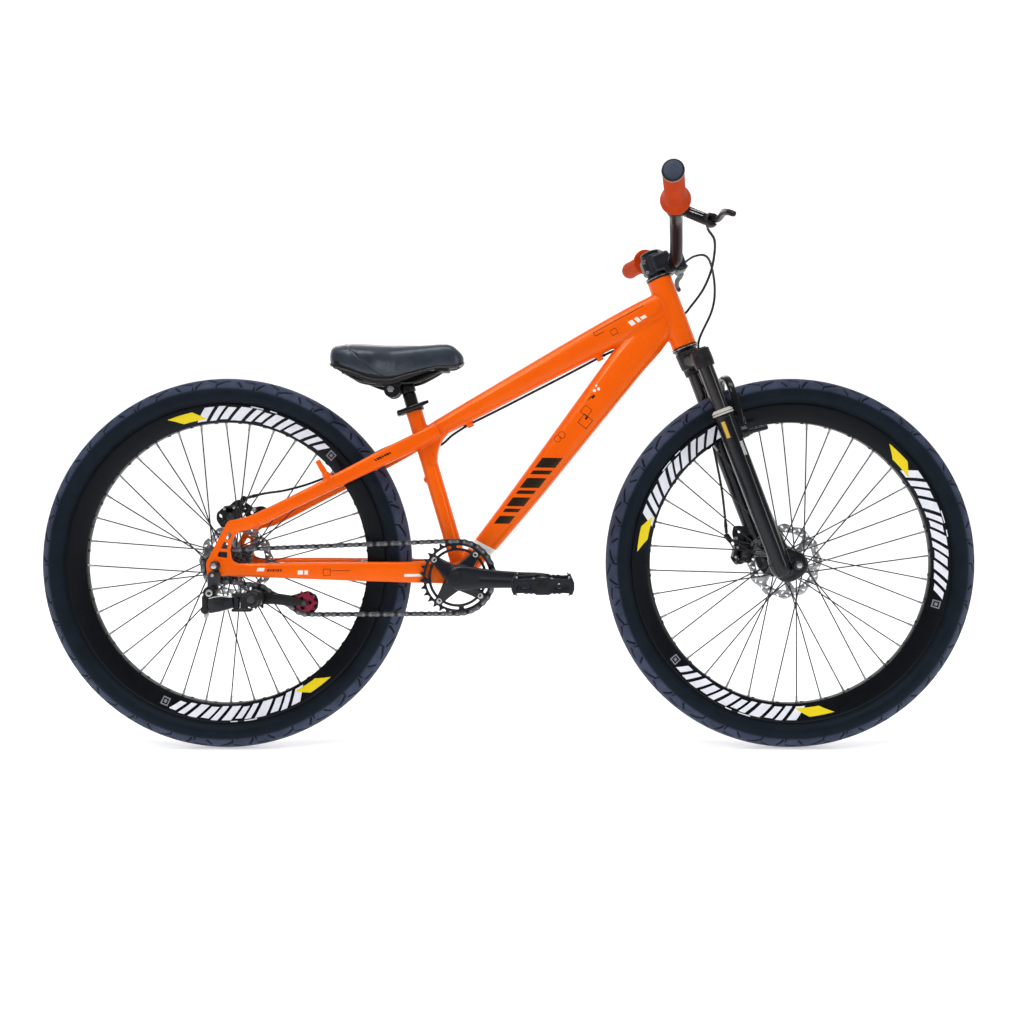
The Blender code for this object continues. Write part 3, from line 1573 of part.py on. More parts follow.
# ---------------------------------------------------------------- derailleur
KNUCKLE = at(-0.0044, 0.2894)
knuckle = cylinder("derailleur_knuckle", BLACK, KNUCKLE - LEFT * 0.0792, KNUCKLE - LEFT * 0.0960, 0.0110, 16)
LINK_A = at(0.0040, 0.2680, -0.0900)
join(
    knuckle,
    block("knuckle_drop", BLACK, (0.0190, 0.0150, 0.0120), Matrix.Translation(at(-0.0050, 0.2863, -0.0890))),
    block("knuckle_ear_up", BLACK, (0.0240, 0.0150, 0.0040), Matrix.Translation(at(-0.0010, 0.2822, -0.0890))),
    block("knuckle_ear_down", BLACK, (0.0240, 0.0150, 0.0040), Matrix.Translation(at(-0.0010, 0.2598, -0.0890))),
    block("knuckle_back", BLACK, (0.0060, 0.0150, 0.0264), Matrix.Translation(at(-0.0100, 0.2710, -0.0890))),
    cylinder("knuckle_adjuster", STEEL, at(-0.0100, 0.2600, -0.0890), at(-0.0120, 0.2440, -0.0890), 0.0042, 10),
)
LINK_REACH = Vector((0.0400, -0.0130, 0.0060))
LINK_B = LINK_A + LINK_REACH
link_run = LINK_REACH.normalized()
link = block(
    "derailleur_link",
    BLACK,
    (0.0110, 0.0160, LINK_REACH.length),
    facing((LINK_A + LINK_B) / 2, link_run, LEFT),
    bevel=0.002,
)
join(
    link,
    cylinder("link_end_a", BLACK, LINK_A - Vector((0, 0, 0.0056)), LINK_A + Vector((0, 0, 0.0102)), 0.0060, 12),
    cylinder("link_end_b", BLACK, LINK_B - Vector((0, 0, 0.0092)), LINK_B + Vector((0, 0, 0.0092)), 0.0060, 12),
)
cut(
    link,
    block("link_trim_a", None, (0.05, 0.05, 0.01), Matrix.Translation(LINK_A + Vector((0, 0, 0.0168))), helper=True),
    block("link_trim_b", None, (0.05, 0.05, 0.01), Matrix.Translation(LINK_A - Vector((0, 0, 0.0108))), helper=True),
)
G = at(*GUIDE)
PK_Y = LINK_B.y
lower_knuckle = cylinder("derailleur_lower_knuckle", BLACK, G + LEFT * (PK_Y + 0.0070), G + LEFT * -0.0752, 0.0165, 18)
join(
    lower_knuckle,
    block("lk_ear_up", BLACK, (0.0340, 0.0140, 0.0040), Matrix.Translation(LINK_B + Vector((0.0110, 0.0, 0.0124)))),
    block("lk_ear_down", BLACK, (0.0340, 0.0140, 0.0040), Matrix.Translation(LINK_B + Vector((0.0110, 0.0, -0.0124)))),
    cylinder("lk_cap", BLACK, G + LEFT * (PK_Y - 0.0060), G + LEFT * -0.0860, 0.0135, 16),
)
cut(
    lower_knuckle,
    cylinder("lk_room", None, LINK_B - Vector((0, 0, 0.0102)), LINK_B + Vector((0, 0, 0.0102)), 0.0078, 14, helper=True),
)


def cage_outline(grow=0.0):
    dx, dz = TENSION[0] - GUIDE[0], TENSION[1] - GUIDE[1]
    base = math.atan2(dz, dx)
    pts = []
    for i in range(7):
        t = base + math.pi / 2 + math.pi * i / 6
        pts.append(((0.0125 + grow) * math.cos(t), (0.0125 + grow) * math.sin(t)))
    for i in range(7):
        t = base - math.pi / 2 + math.pi * i / 6
        pts.append((dx + (0.0120 + grow) * math.cos(t), dz + (0.0120 + grow) * math.sin(t)))
    return pts


T = at(*TENSION)
cage = plate("derailleur_cage", BLACK, [cage_outline()], 0.0022, side_plane(G + LEFT * (COG_Y - 0.0066)))
inner_plate = plate("cage_inner", BLACK, [cage_outline()], 0.0020, side_plane(G + LEFT * (COG_Y + 0.0066)))
cage_boss = cylinder("cage_boss", BLACK, G + LEFT * (COG_Y - 0.0060), G + LEFT * -0.0748, 0.0100, 14)
cage_pins = [
    cylinder("cage_pin_g", STEEL, G + LEFT * (COG_Y - 0.0070), G + LEFT * (COG_Y + 0.0090), 0.0035, 10),
    cylinder("cage_pin_t", STEEL, T + LEFT * (COG_Y - 0.0090), T + LEFT * (COG_Y + 0.0090), 0.0035, 10),
]
join(cage, inner_plate, cage_boss, *cage_pins)


def jockey(name, centre, phase, mat):
    return plate(
        name,
        mat,
        [toothed(PULLEY_TEETH, phase, 3), circle(0.0041, 8)],
        0.0024,
        side_plane(centre + LEFT * COG_Y),
    )


jockey_guide = jockey("jockey_guide", G, arc_phase.get("guide", 0.0), PLASTIC)
jockey_tension = jockey("jockey_tension", T, arc_phase.get("tension", 0.0), RED)

# ---------------------------------------------------------------- brake cables
CABLE_R = 0.0022
right_exit = lever_pivots["right"] + LEFT * 0.0265 - EAR_FWD * 0.002
left_exit = lever_pivots["left"] - LEFT * 0.0265 - EAR_FWD * 0.002
guide_front = [at(*GUIDES[1]) + guide_way * d for d in (0.0080, -0.0080)]
guide_rear = [at(*GUIDES[0]) + guide_way * d for d in (0.0080, -0.0080)]
sag = Vector((0.0, 0.0, -0.0008))
rear_cable_front = [
    right_exit,
    right_exit + LEFT * 0.0200 + Vector((0.004, 0, -0.004)),
    at(0.8640, 0.8942, -0.1200),
    at(0.8705, 0.8790, -0.0850),
    at(0.8703, 0.8548, -0.0500),
    at(0.8621, 0.8293, -0.0150),
    at(0.8450, 0.8049, 0.0130),
    at(0.8310, 0.7900, 0.0270),
    at(0.7900, 0.7680, 0.0320),
    at(0.7330, 0.7370, 0.0240),
    at(0.7010, 0.7215, 0.0090),
    guide_front[0],
]
rear_cable_back = [
    guide_rear[1],
    at(0.4080, 0.5680, 0.0080),
    at(0.3780, 0.5480, 0.0260),
    at(0.3300, 0.5540, 0.0400),
    at(0.2900, 0.5500, 0.0480),
    at(0.2300, 0.5220, 0.0560),
    at(0.1500, 0.4860, 0.0700),
    at(0.0900, 0.4680, 0.0770),
    rear_pull + LEFT * 0.0030 + Vector((0.0400, 0.0, 0.0100)),
    rear_pull + LEFT * 0.0030 + Vector((0.0066, 0.0, 0.0020)),
]
front_cable_points = [
    left_exit,
    left_exit - LEFT * 0.0200 + Vector((0.006, 0, 0.004)),
    at(0.8650, 0.9180, 0.1100),
    at(0.8809, 0.9133, 0.0800),
    at(0.8903, 0.8931, 0.0650),
    at(0.8944, 0.8454, 0.0480),
    at(0.8878, 0.8015, 0.0400),
    steer(0.0330, 0.0330, 0.0000),
    steer(0.0290, 0.0320, -0.0400),
    steer(0.0150, 0.0350, -0.0900),
    steer(-0.0020, 0.0370, -0.1500),
    steer(-0.0110, 0.0400, -0.2100),
    steer(-0.0200, 0.0480, -0.2700),
    front_pull + LEFT * 0.0030 + Vector((-0.0040, 0.0, 0.0400)),
    front_pull + LEFT * 0.0030 + Vector((-0.0010, 0.0, 0.0068)),
]
rear_cable_line = (
    smooth_path(rear_cable_front, 0.026)
    + [guide_front[1], (guide_front[1] + guide_rear[0]) / 2 + sag, guide_rear[0]]
    + smooth_path(rear_cable_back, 0.026)
)
rear_cable = tube("rear_brake_cable", PLASTIC, rear_cable_line, CABLE_R, 0)
front_cable = tube("front_brake_cable", PLASTIC, smooth_path(front_cable_points, 0.026), CABLE_R, 0)

# ---------------------------------------------------------------- what turns about what
ride(pivot("axis_front_wheel", FRONT_HUB), f_tyre, f_rim, f_hub, f_spokes, f_rotor)
ride(pivot("axis_rear_wheel", REAR_HUB), r_tyre, r_rim, r_hub, r_spokes, r_rotor)
ride(pivot("axis_freewheel", REAR_HUB), cassette)
ride(
    pivot("axis_steering", HEAD, STEER_UP),
    crown,
    *stanchions,
    stem,
    faceplate,
    top_cap,
    handlebar,
    *grips,
    *perches,
    front_cable,
)
ride(pivot("line_fork_travel", steer(LEG_AHEAD, 0, LEG_TOP), STEER_UP), lowers, *seals, front_axle, front_caliper)
ride(pivot("axis_lever_right", lever_pivots["right"], -EAR_UP), levers[0])
ride(pivot("axis_lever_left", lever_pivots["left"], EAR_UP), levers[1])
ride(pivot("axis_front_arm", FRONT_CALIPER), front_arm)
ride(pivot("axis_rear_arm", REAR_CALIPER), rear_arm)
ride(pivot("axis_crank", CRANK_AXIS), crank_right, crank_left, chainring, spindle)
ride(pivot("axis_pedal_right", pedal_spot_right), pedal_right)
ride(pivot("axis_pedal_left", pedal_spot_left), pedal_left)
ride(pivot("axis_derailleur", KNUCKLE), knuckle)
ride(pivot("axis_link", LINK_A, (0, 0, 1)), link)
ride(pivot("axis_lower_knuckle", LINK_B, (0, 0, 1)), lower_knuckle)
ride(pivot("axis_cage", G), cage)
ride(pivot("axis_jockey_guide", G), jockey_guide)
ride(pivot("axis_jockey_tension", T), jockey_tension)
ride(pivot("line_seatpost", seat_top, SEAT_UP), post, saddle_clamp)
ride(pivot("axis_collar_lever", LEVER_HINGE, SEAT_UP), collar_lever)
ride(pivot("axis_saddle_tilt", CLAMP), rails, saddle_base, cushion)
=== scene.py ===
"""Looks of the freeride bike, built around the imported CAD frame.

Units are metres, +X forward, +Y to the rider's left, +Z up; the drive side (-Y) faces the camera.
"""

import math
import random

import bmesh
import bpy
import numpy as np
from mathutils import Matrix, Vector
from mathutils.bvhtree import BVHTree


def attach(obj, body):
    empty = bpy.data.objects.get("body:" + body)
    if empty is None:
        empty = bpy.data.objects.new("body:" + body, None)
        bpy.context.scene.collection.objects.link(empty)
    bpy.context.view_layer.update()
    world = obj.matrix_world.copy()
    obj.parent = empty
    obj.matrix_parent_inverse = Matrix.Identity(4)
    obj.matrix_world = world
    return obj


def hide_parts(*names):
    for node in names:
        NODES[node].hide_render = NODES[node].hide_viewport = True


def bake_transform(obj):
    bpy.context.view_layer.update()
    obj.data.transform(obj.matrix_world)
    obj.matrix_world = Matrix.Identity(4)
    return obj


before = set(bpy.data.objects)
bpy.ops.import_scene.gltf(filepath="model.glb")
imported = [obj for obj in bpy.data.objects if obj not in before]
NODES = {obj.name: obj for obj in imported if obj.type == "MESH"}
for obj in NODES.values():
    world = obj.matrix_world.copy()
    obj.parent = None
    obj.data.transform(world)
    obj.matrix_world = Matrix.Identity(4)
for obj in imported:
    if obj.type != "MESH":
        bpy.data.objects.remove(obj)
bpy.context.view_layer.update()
random.seed(7)

# ---------------------------------------------------------------- the frame's places, as in the CAD
WHEELBASE = 1.022
TYRE_R = 0.335
TYRE_HALF = 0.0266
RIM_BED_R = 0.2545
HUB_Z = TYRE_R
SPOKES = 36
CROSS = 3
BB = (0.4215, 0.3126)
HEAD_LOW = (0.8307, 0.7286)
HEAD_LEAN = math.radians(20.7)
HEAD_LEN = 0.1303
HEAD_R = 0.0224
STEERER_R = 0.0143
LEG_Y = 0.060
LEG_AHEAD = 0.011
STANCHION_R = 0.0135
LEG_R = 0.0180
SEAT_TOP = (0.3364, 0.6180)
SEAT_TUBE_R = 0.0150
POST_R = 0.0122
PITCH = 0.0127
RING_TEETH = 32
COG_TEETH = (13, 14, 15, 16, 17, 18, 19)
COG_STEP = 0.0048
COG_Y = -0.0620
RING_Y = -0.0490
PULLEY_TEETH = 10
GUIDE = (0.0705, 0.2790)
CAGE_LEN = 0.0840
CAGE_ANGLE = math.radians(-7.0)
CRANK_LEN = 0.1500
ROTOR_R = 0.0700
FRONT_ROTOR_Y = 0.0386
REAR_ROTOR_Y = 0.0520
BAR_HALF = 0.345
X = Vector((1.0, 0.0, 0.0))
LEFT = Vector((0.0, 1.0, 0.0))
UP = Vector((0.0, 0.0, 1.0))


def at(ahead, up, side=0.0):
    return Vector((ahead - WHEELBASE / 2, side, up))


STEER_UP = Vector((-math.sin(HEAD_LEAN), 0.0, math.cos(HEAD_LEAN)))
STEER_FWD = Vector((math.cos(HEAD_LEAN), 0.0, math.sin(HEAD_LEAN)))
HEAD = at(*HEAD_LOW)
REAR_HUB = at(0.0, HUB_Z)
FRONT_HUB = at(WHEELBASE, HUB_Z)
CRANK_AXIS = at(*BB)
SEAT_BASE = at(0.4265, 0.3126)
SEAT_PT = at(*SEAT_TOP)
SEAT_UP = (SEAT_PT - SEAT_BASE).normalized()
AXLE_FWD = (FRONT_HUB - HEAD).dot(STEER_FWD)
AXLE_UP = (FRONT_HUB - HEAD).dot(STEER_UP)


def steer(fwd, side, up):
    return HEAD + STEER_FWD * fwd + LEFT * side + STEER_UP * up


def facing(origin, z_axis, x_hint=UP):
    """Matrix at origin whose Z runs along z_axis."""
    z = Vector(z_axis).normalized()
    x = Vector(x_hint) - z * Vector(x_hint).dot(z)
    if x.length < 1e-5:
        x = X - z * z.x
    x.normalize()
    y = z.cross(x)
    m = Matrix((x, y, z)).transposed().to_4x4()
    m.translation = Vector(origin)
    return m


def side_plane(origin):
    """Matrix whose X is forward and Y is up, so an outline is drawn as seen from the drive side."""
    m = Matrix(((1, 0, 0), (0, 0, -1), (0, 1, 0))).to_4x4()
    m.translation = Vector(origin)
    return m


def steer_plane(origin):
    """Matrix whose X runs forward and Y up along the fork."""
    m = Matrix((STEER_FWD, STEER_UP, STEER_FWD.cross(STEER_UP))).transposed().to_4x4()
    m.translation = Vector(origin)
    return m


# ---------------------------------------------------------------- raw shapes
# A raw shape is an object with its world place in its vertices. It becomes part of a piece with piece().
def raw(verts, faces, mat, smooth=True, sharp=38.0, name="raw"):
    mesh = bpy.data.meshes.new(name)
    mesh.from_pydata([tuple(v) for v in verts], [], faces)
    return raw_mesh(mesh, mat, smooth, sharp)


def raw_mesh(mesh, mat, smooth=True, sharp=38.0):
    mesh.validate()
    if mat is not None:
        mesh.materials.clear()
        mesh.materials.append(mat)
    if smooth:
        mesh.shade_smooth()
        mesh.set_sharp_from_angle(angle=math.radians(sharp))
    obj = bpy.data.objects.new("raw", mesh)
    bpy.context.scene.collection.objects.link(obj)
    return obj


def place(obj, matrix):
    obj.data.transform(matrix)
    if matrix.determinant() < 0:
        obj.data.flip_normals()
    return obj


def fillet(profile, radius, steps=3, closed=False):
    """The profile with its corners rounded. A third number in a point is that corner's own radius."""
    pts = [Vector(p[:2]) for p in profile]
    own = [p[2] if len(p) > 2 else radius for p in profile]
    out = []
    n = len(pts)
    for i, p in enumerate(pts):
        if not closed and i in (0, n - 1):
            out.append(tuple(p))
            continue
        a, b = pts[i - 1], pts[(i + 1) % n]
        u, v = a - p, b - p
        reach = min(own[i], u.length * 0.45, v.length * 0.45)
        bend = u.angle(v, math.pi) if u.length > 1e-9 and v.length > 1e-9 else math.pi
        if reach < 1e-6 or bend > math.radians(172):
            out.append(tuple(p))
            continue
        s, e = p + u.normalized() * reach, p + v.normalized() * reach
        for k in range(steps + 1):
            t = k / steps
            out.append(tuple(s * (1 - t) ** 2 + p * 2 * t * (1 - t) + e * t * t))
    return out


def lathe(profile, origin, axis, mat, steps=48, closed=True, corner=0.0, corner_steps=3, sharp=38.0, wobble=None):
    """Profile of (radius, height) spun about the axis through origin. Open profiles start and end on the axis."""
    if corner:
        profile = fillet(profile, corner, corner_steps, closed)
    pts = [(p[0], p[1]) for p in profile]
    area = sum(pts[i - 1][0] * pts[i][1] - pts[i][0] * pts[i - 1][1] for i in range(len(pts)))
    if area < 0:
        pts = pts[::-1]
    m = facing(origin, axis)
    verts, faces, rows = [], [], []
    for r, h in pts:
        if r < 1e-7:
            rows.append([len(verts)] * steps)
            verts.append(m @ Vector((0, 0, h)))
        else:
            row = []
            for k in range(steps):
                t = 2 * math.pi * k / steps
                rr = r if wobble is None else r + wobble(t, r, h)
                row.append(len(verts))
                verts.append(m @ Vector((rr * math.cos(t), rr * math.sin(t), h)))
            rows.append(row)
    count = len(rows)
    for i in range(count if closed else count - 1):
        a, b = rows[i], rows[(i + 1) % count]
        for k in range(steps):
            j = (k + 1) % steps
            face = [a[k], a[j], b[j], b[k]]
            slim = []
            for v in face:
                if v not in slim:
                    slim.append(v)
            if len(slim) > 2:
                faces.append(slim)
    return raw(verts, faces, mat, sharp=sharp)


def cyl(start, end, radius, mat, sides=32, radius_end=None, bevel=0.0004, sharp=38.0):
    start, end = Vector(start), Vector(end)
    length = (end - start).length
    r2 = radius if radius_end is None else radius_end
    prof = [(0.0, 0.0), (radius, 0.0), (r2, length), (0.0, length)]
    return lathe(prof, start, end - start, mat, sides, closed=False, corner=bevel, corner_steps=2, sharp=sharp)


def ring_of(start, end, outer, inner, mat, sides=40, bevel=0.0003):
    start, end = Vector(start), Vector(end)
    length = (end - start).length
    prof = [(inner, 0.0), (outer, 0.0), (outer, length), (inner, length)]
    return lathe(prof, start, end - start, mat, sides, closed=True, corner=bevel, corner_steps=2)


def box(size, matrix, mat, bevel=0.0006, segs=2, sharp=38.0):
    bm = bmesh.new()
    bmesh.ops.create_cube(bm, size=1.0)
    bmesh.ops.scale(bm, vec=size, verts=bm.verts)
    if bevel:
        bmesh.ops.bevel(bm, geom=list(bm.edges), offset=bevel, segments=segs, affect="EDGES", profile=0.5)
    bmesh.ops.transform(bm, matrix=matrix, verts=bm.verts)
    mesh = bpy.data.meshes.new("box")
    bm.to_mesh(mesh)
    bm.free()
    return raw_mesh(mesh, mat, sharp=sharp)


def circle(radius, sides, x=0.0, y=0.0, turn=0.0):
    return [
        (x + radius * math.cos(2 * math.pi * i / sides + turn), y + radius * math.sin(2 * math.pi * i / sides + turn))
        for i in range(sides)
    ]


def plate(outlines, thickness, matrix, mat, bevel=0.0003, rounds=1, sharp=38.0):
    """Flat piece from closed outlines of (x, y) pairs, with rounded rims; outlines after the first are holes."""
    curve = bpy.data.curves.new("outline", "CURVE")
    curve.dimensions = "2D"
    curve.fill_mode = "BOTH"
    curve.extrude = max(thickness / 2 - bevel, 0.00005)
    curve.bevel_depth = bevel
    curve.bevel_resolution = rounds
    curve.offset = -bevel
    curve.resolution_u = 1
    for outline in outlines:
        spline = curve.splines.new("POLY")
        spline.points.add(len(outline) - 1)
        for point, (x, y) in zip(spline.points, outline):
            point.co = (x, y, 0.0, 1.0)
        spline.use_cyclic_u = True
    temp = bpy.data.objects.new("plate", curve)
    bpy.context.scene.collection.objects.link(temp)
    bpy.context.view_layer.update()
    mesh = bpy.data.meshes.new_from_object(temp.evaluated_get(bpy.context.evaluated_depsgraph_get()))
    bpy.data.objects.remove(temp, do_unlink=True)
    bpy.data.curves.remove(curve)
    bm = bmesh.new()
    bm.from_mesh(mesh)
    bmesh.ops.remove_doubles(bm, verts=bm.verts, dist=0.000004)
    bmesh.ops.recalc_face_normals(bm, faces=bm.faces)
    bmesh.ops.transform(bm, matrix=matrix, verts=bm.verts)
    if matrix.determinant() < 0:
        bmesh.ops.reverse_faces(bm, faces=bm.faces)
    bm.to_mesh(mesh)
    bm.free()
    return raw_mesh(mesh, mat, sharp=sharp)


def smooth_path(points, step, closed=False):
    """Points about a step apart along a smooth curve through the given ones."""
    pts = [Vector(p) for p in points]
    if closed:
        full = [pts[-1]] + pts + [pts[0], pts[1]]
    else:
        full = [pts[0] * 2 - pts[1]] + pts + [pts[-1] * 2 - pts[-2]]
    fine = []
    for i in range(1, len(full) - 2):
        p0, p1, p2, p3 = full[i - 1 : i + 3]
        for j in range(24):
            t = j / 24
            fine.append(
                0.5
                * (
                    2 * p1
                    + (p2 - p0) * t
                    + (2 * p0 - 5 * p1 + 4 * p2 - p3) * t * t
                    + (3 * p1 - p0 - 3 * p2 + p3) * t**3
                )
            )
    fine.append(full[-2])
    length = sum((b - a).length for a, b in zip(fine, fine[1:]))
    count = max(2, round(length / step))
    result, travelled, nxt = [fine[0]], 0.0, length / count
    for a, b in zip(fine, fine[1:]):
        seg = (b - a).length
        while seg > 0 and travelled + seg >= nxt - 1e-9 and len(result) < count:
            result.append(a.lerp(b, (nxt - travelled) / seg))
            nxt += length / count
        travelled += seg
    if not closed:
        result.append(fine[-1])
    return result


def sweep(points, radius, mat, sides=12, closed=False, caps=True, flat=1.0, hint=None, sharp=50.0, ends_round=False):
    """Round (or flattened) bar along the points. radius is a number or one number per point."""
    pts = [Vector(p) for p in points]
    n = len(pts)
    radii = list(radius) if hasattr(radius, "__len__") else [radius] * n
    if ends_round and not closed:
        extra_a, extra_b = [], []
        ra, rb = radii[0], radii[-1]
        da, db = (pts[0] - pts[1]).normalized(), (pts[-1] - pts[-2]).normalized()
        for k in (2, 1):
            a = math.pi / 2 * k / 3
            extra_a.append((pts[0] + da * ra * math.sin(a), ra * math.cos(a)))
        for k in (1, 2):
            a = math.pi / 2 * k / 3
            extra_b.append((pts[-1] + db * rb * math.sin(a), rb * math.cos(a)))
        pts = [p for p, _ in extra_a] + pts + [p for p, _ in extra_b]
        radii = [r for _, r in extra_a] + radii + [r for _, r in extra_b]
        n = len(pts)
    tangents = []
    for i in range(n):
        if closed:
            t = pts[(i + 1) % n] - pts[i - 1]
        else:
            t = pts[min(i + 1, n - 1)] - pts[max(i - 1, 0)]
        tangents.append(t.normalized())
    normal = (Vector(hint) if hint is not None else (LEFT if abs(tangents[0].y) < 0.9 else UP)).copy()
    verts, rows = [], []
    for i in range(n):
        t = tangents[i]
        base = Vector(hint) if hint is not None else normal
        normal = base - t * base.dot(t)
        normal.normalize()
        other = t.cross(normal)
        row = []
        for k in range(sides):
            a = 2 * math.pi * (k + 0.5) / sides
            row.append(len(verts))
            verts.append(pts[i] + normal * (radii[i] * math.cos(a)) + other * (radii[i] * flat * math.sin(a)))
        rows.append(row)
    faces = []
    for i in range(n if closed else n - 1):
        a, b = rows[i], rows[(i + 1) % n]
        for k in range(sides):
            j = (k + 1) % sides
            faces.append([a[k], a[j], b[j], b[k]])
    if caps and not closed:
        faces.append(rows[0][::-1])
        faces.append(rows[-1])
    return raw(verts, faces, mat, sharp=sharp)


def loft(rings, mat, sharp=38.0, closed=False, caps=True):
    """Skin through rings of equal count, closed with a face at each end."""
    count = len(rings[0])
    verts = [Vector(p) for ring in rings for p in ring]
    faces = []
    total = len(rings)
    for r in range(total if closed else total - 1):
        a, b = r * count, ((r + 1) % total) * count
        for i in range(count):
            j = (i + 1) % count
            faces.append([a + i, a + j, b + j, b + i])
    if caps and not closed:
        faces.append([i for i in range(count)][::-1])
        faces.append([(total - 1) * count + i for i in range(count)])
    obj = raw(verts, faces, mat, sharp=sharp)
    bm = bmesh.new()
    bm.from_mesh(obj.data)
    bmesh.ops.recalc_face_normals(bm, faces=bm.faces)
    bm.to_mesh(obj.data)
    bm.free()
    return obj


def refine(stations, per=6):
    """Catmull-Rom values between the stations, each a tuple of numbers."""
    full = [stations[0]] + list(stations) + [stations[-1]]
    a0 = np.array(full, float)
    a0[0] = 2 * a0[1] - a0[2]
    a0[-1] = 2 * a0[-2] - a0[-3]
    out = []
    for i in range(1, len(full) - 2):
        p0, p1, p2, p3 = a0[i - 1], a0[i], a0[i + 1], a0[i + 2]
        for j in range(per):
            t = j / per
            out.append(
                0.5 * (2 * p1 + (p2 - p0) * t + (2 * p0 - 5 * p1 + 4 * p2 - p3) * t * t + (3 * p1 - p0 - 3 * p2 + p3) * t**3)
            )
    out.append(a0[-2])
    return [tuple(float(x) for x in row) for row in out]


def oval(centre, wide, tall, half_wide, half_tall, sides=40, power=2.0):
    ring = []
    for i in range(sides):
        t = 2 * math.pi * (i + 0.5) / sides
        c, s = math.cos(t), math.sin(t)
        u = math.copysign(abs(c) ** (2 / power), c) * half_wide
        v = math.copysign(abs(s) ** (2 / power), s) * half_tall
        ring.append(Vector(centre) + Vector(wide) * u + Vector(tall) * v)
    return ring


def tube_through(stations, mat, sides=40, power=2.4, per=6):
    """Tube of changing section. A station is (ahead, up, side, half height, half width)."""
    fine = refine(stations, per)
    centres = [at(s[0], s[1], s[2]) for s in fine]
    rings = []
    for i, (centre, station) in enumerate(zip(centres, fine)):
        run = (centres[min(i + 1, len(centres) - 1)] - centres[max(i - 1, 0)]).normalized()
        wide = (LEFT - run * run.y).normalized()
        tall = run.cross(wide).normalized()
        rings.append(oval(centre, wide, tall, station[4], station[3], sides, power))
    return loft(rings, mat)


# ---------------------------------------------------------------- joining shapes
def settle(obj):
    """The object's modifiers, applied to its mesh."""
    bpy.context.view_layer.update()
    mesh = bpy.data.meshes.new_from_object(obj.evaluated_get(bpy.context.evaluated_depsgraph_get()))
    old = obj.data
    obj.modifiers.clear()
    obj.data = mesh
    if old.users == 0:
        bpy.data.meshes.remove(old)
    return obj


def fuse(base, others, operation="UNION", solver="MANIFOLD"):
    for other in others:
        mod = base.modifiers.new("b", "BOOLEAN")
        mod.operation = operation
        mod.solver = solver
        mod.object = other
    settle(base)
    for other in others:
        drop(other)
    base.data.set_sharp_from_angle(angle=math.radians(38.0))
    return base


def carve(base, others, solver="MANIFOLD"):
    return fuse(base, others, "DIFFERENCE", solver)


def drop(obj):
    mesh = obj.data
    bpy.data.objects.remove(obj, do_unlink=True)
    if mesh.users == 0:
        bpy.data.meshes.remove(mesh)


def gather(objs, keep_materials=True):
    """One object with every shape's faces, not fused."""
    mats = []
    bm = bmesh.new()
    for obj in objs:
        start = len(bm.faces)
        bm.from_mesh(obj.data)
        bm.faces.ensure_lookup_table()
        remap = {}
        for i, m in enumerate(obj.data.materials):
            if m not in mats:
                mats.append(m)
            remap[i] = mats.index(m)
        for f in bm.faces[start:]:
            f.material_index = remap.get(f.material_index, 0)
    mesh = bpy.data.meshes.new("gathered")
    bm.to_mesh(mesh)
    bm.free()
    for m in mats:
        mesh.materials.append(m)
    for obj in objs:
        drop(obj)
    obj = bpy.data.objects.new("gathered", mesh)
    bpy.context.scene.collection.objects.link(obj)
    return obj


def arrays(mesh):
    co = np.empty(len(mesh.vertices) * 3, np.float32)
    mesh.vertices.foreach_get("co", co)
    ed = np.empty(len(mesh.edges) * 2, np.int32)
    mesh.edges.foreach_get("vertices", ed)
    return co.reshape(-1, 3).astype(float), ed.reshape(-1, 2)


def relax(obj, rounds, weight=None, strength=0.5):
    """Evens the surface out. weight is one number per vertex, and the volume is roughly kept."""
    co, ed = arrays(obj.data)
    n = len(co)
    degree = np.bincount(ed.ravel(), minlength=n).astype(float)
    degree[degree == 0] = 1
    w = np.ones(n) if weight is None else weight

    def step(c, k):
        acc = np.empty_like(c)
        for axis in range(3):
            acc[:, axis] = np.bincount(ed[:, 0], weights=c[ed[:, 1], axis], minlength=n) + np.bincount(
                ed[:, 1], weights=c[ed[:, 0], axis], minlength=n
            )
        return c + (acc / degree[:, None] - c) * (k * w)[:, None]

    for _ in range(rounds):
        co = step(co, strength)
        co = step(co, -strength * 0.94)
    obj.data.vertices.foreach_set("co", co.astype(np.float32).ravel())
    obj.data.update()
    return co


def blur(obj, rounds, weight=None, strength=0.5):
    co, ed = arrays(obj.data)
    n = len(co)
    degree = np.bincount(ed.ravel(), minlength=n).astype(float)
    degree[degree == 0] = 1
    w = np.ones(n) if weight is None else weight
    for _ in range(rounds):
        acc = np.empty_like(co)
        for axis in range(3):
            acc[:, axis] = np.bincount(ed[:, 0], weights=co[ed[:, 1], axis], minlength=n) + np.bincount(
                ed[:, 1], weights=co[ed[:, 0], axis], minlength=n
            )
        co = co + (acc / degree[:, None] - co) * (strength * w)[:, None]
    obj.data.vertices.foreach_set("co", co.astype(np.float32).ravel())
    obj.data.update()
    return co


def melt(objs, voxel, mat, rounds=6, soft=0, cutters=(), keep=1.0, sharp=None):
    """One cast-looking skin over the shapes: remeshed, its edges eased, then thinned to a share of its faces."""
    base = gather(list(objs)) if len(objs) > 1 else objs[0]
    mod = base.modifiers.new("v", "REMESH")
    mod.mode = "VOXEL"
    mod.voxel_size = voxel
    settle(base)
    if soft:
        blur(base, soft)
    relax(base, rounds)
    if keep < 1.0:
        mod = base.modifiers.new("d", "DECIMATE")
        mod.ratio = keep
        settle(base)
    base.data.materials.clear()
    base.data.materials.append(mat)
    base.data.shade_smooth()
    if sharp:
        base.data.set_sharp_from_angle(angle=math.radians(sharp))
    if cutters:
        carve(base, list(cutters))
    return base


PIECES = []


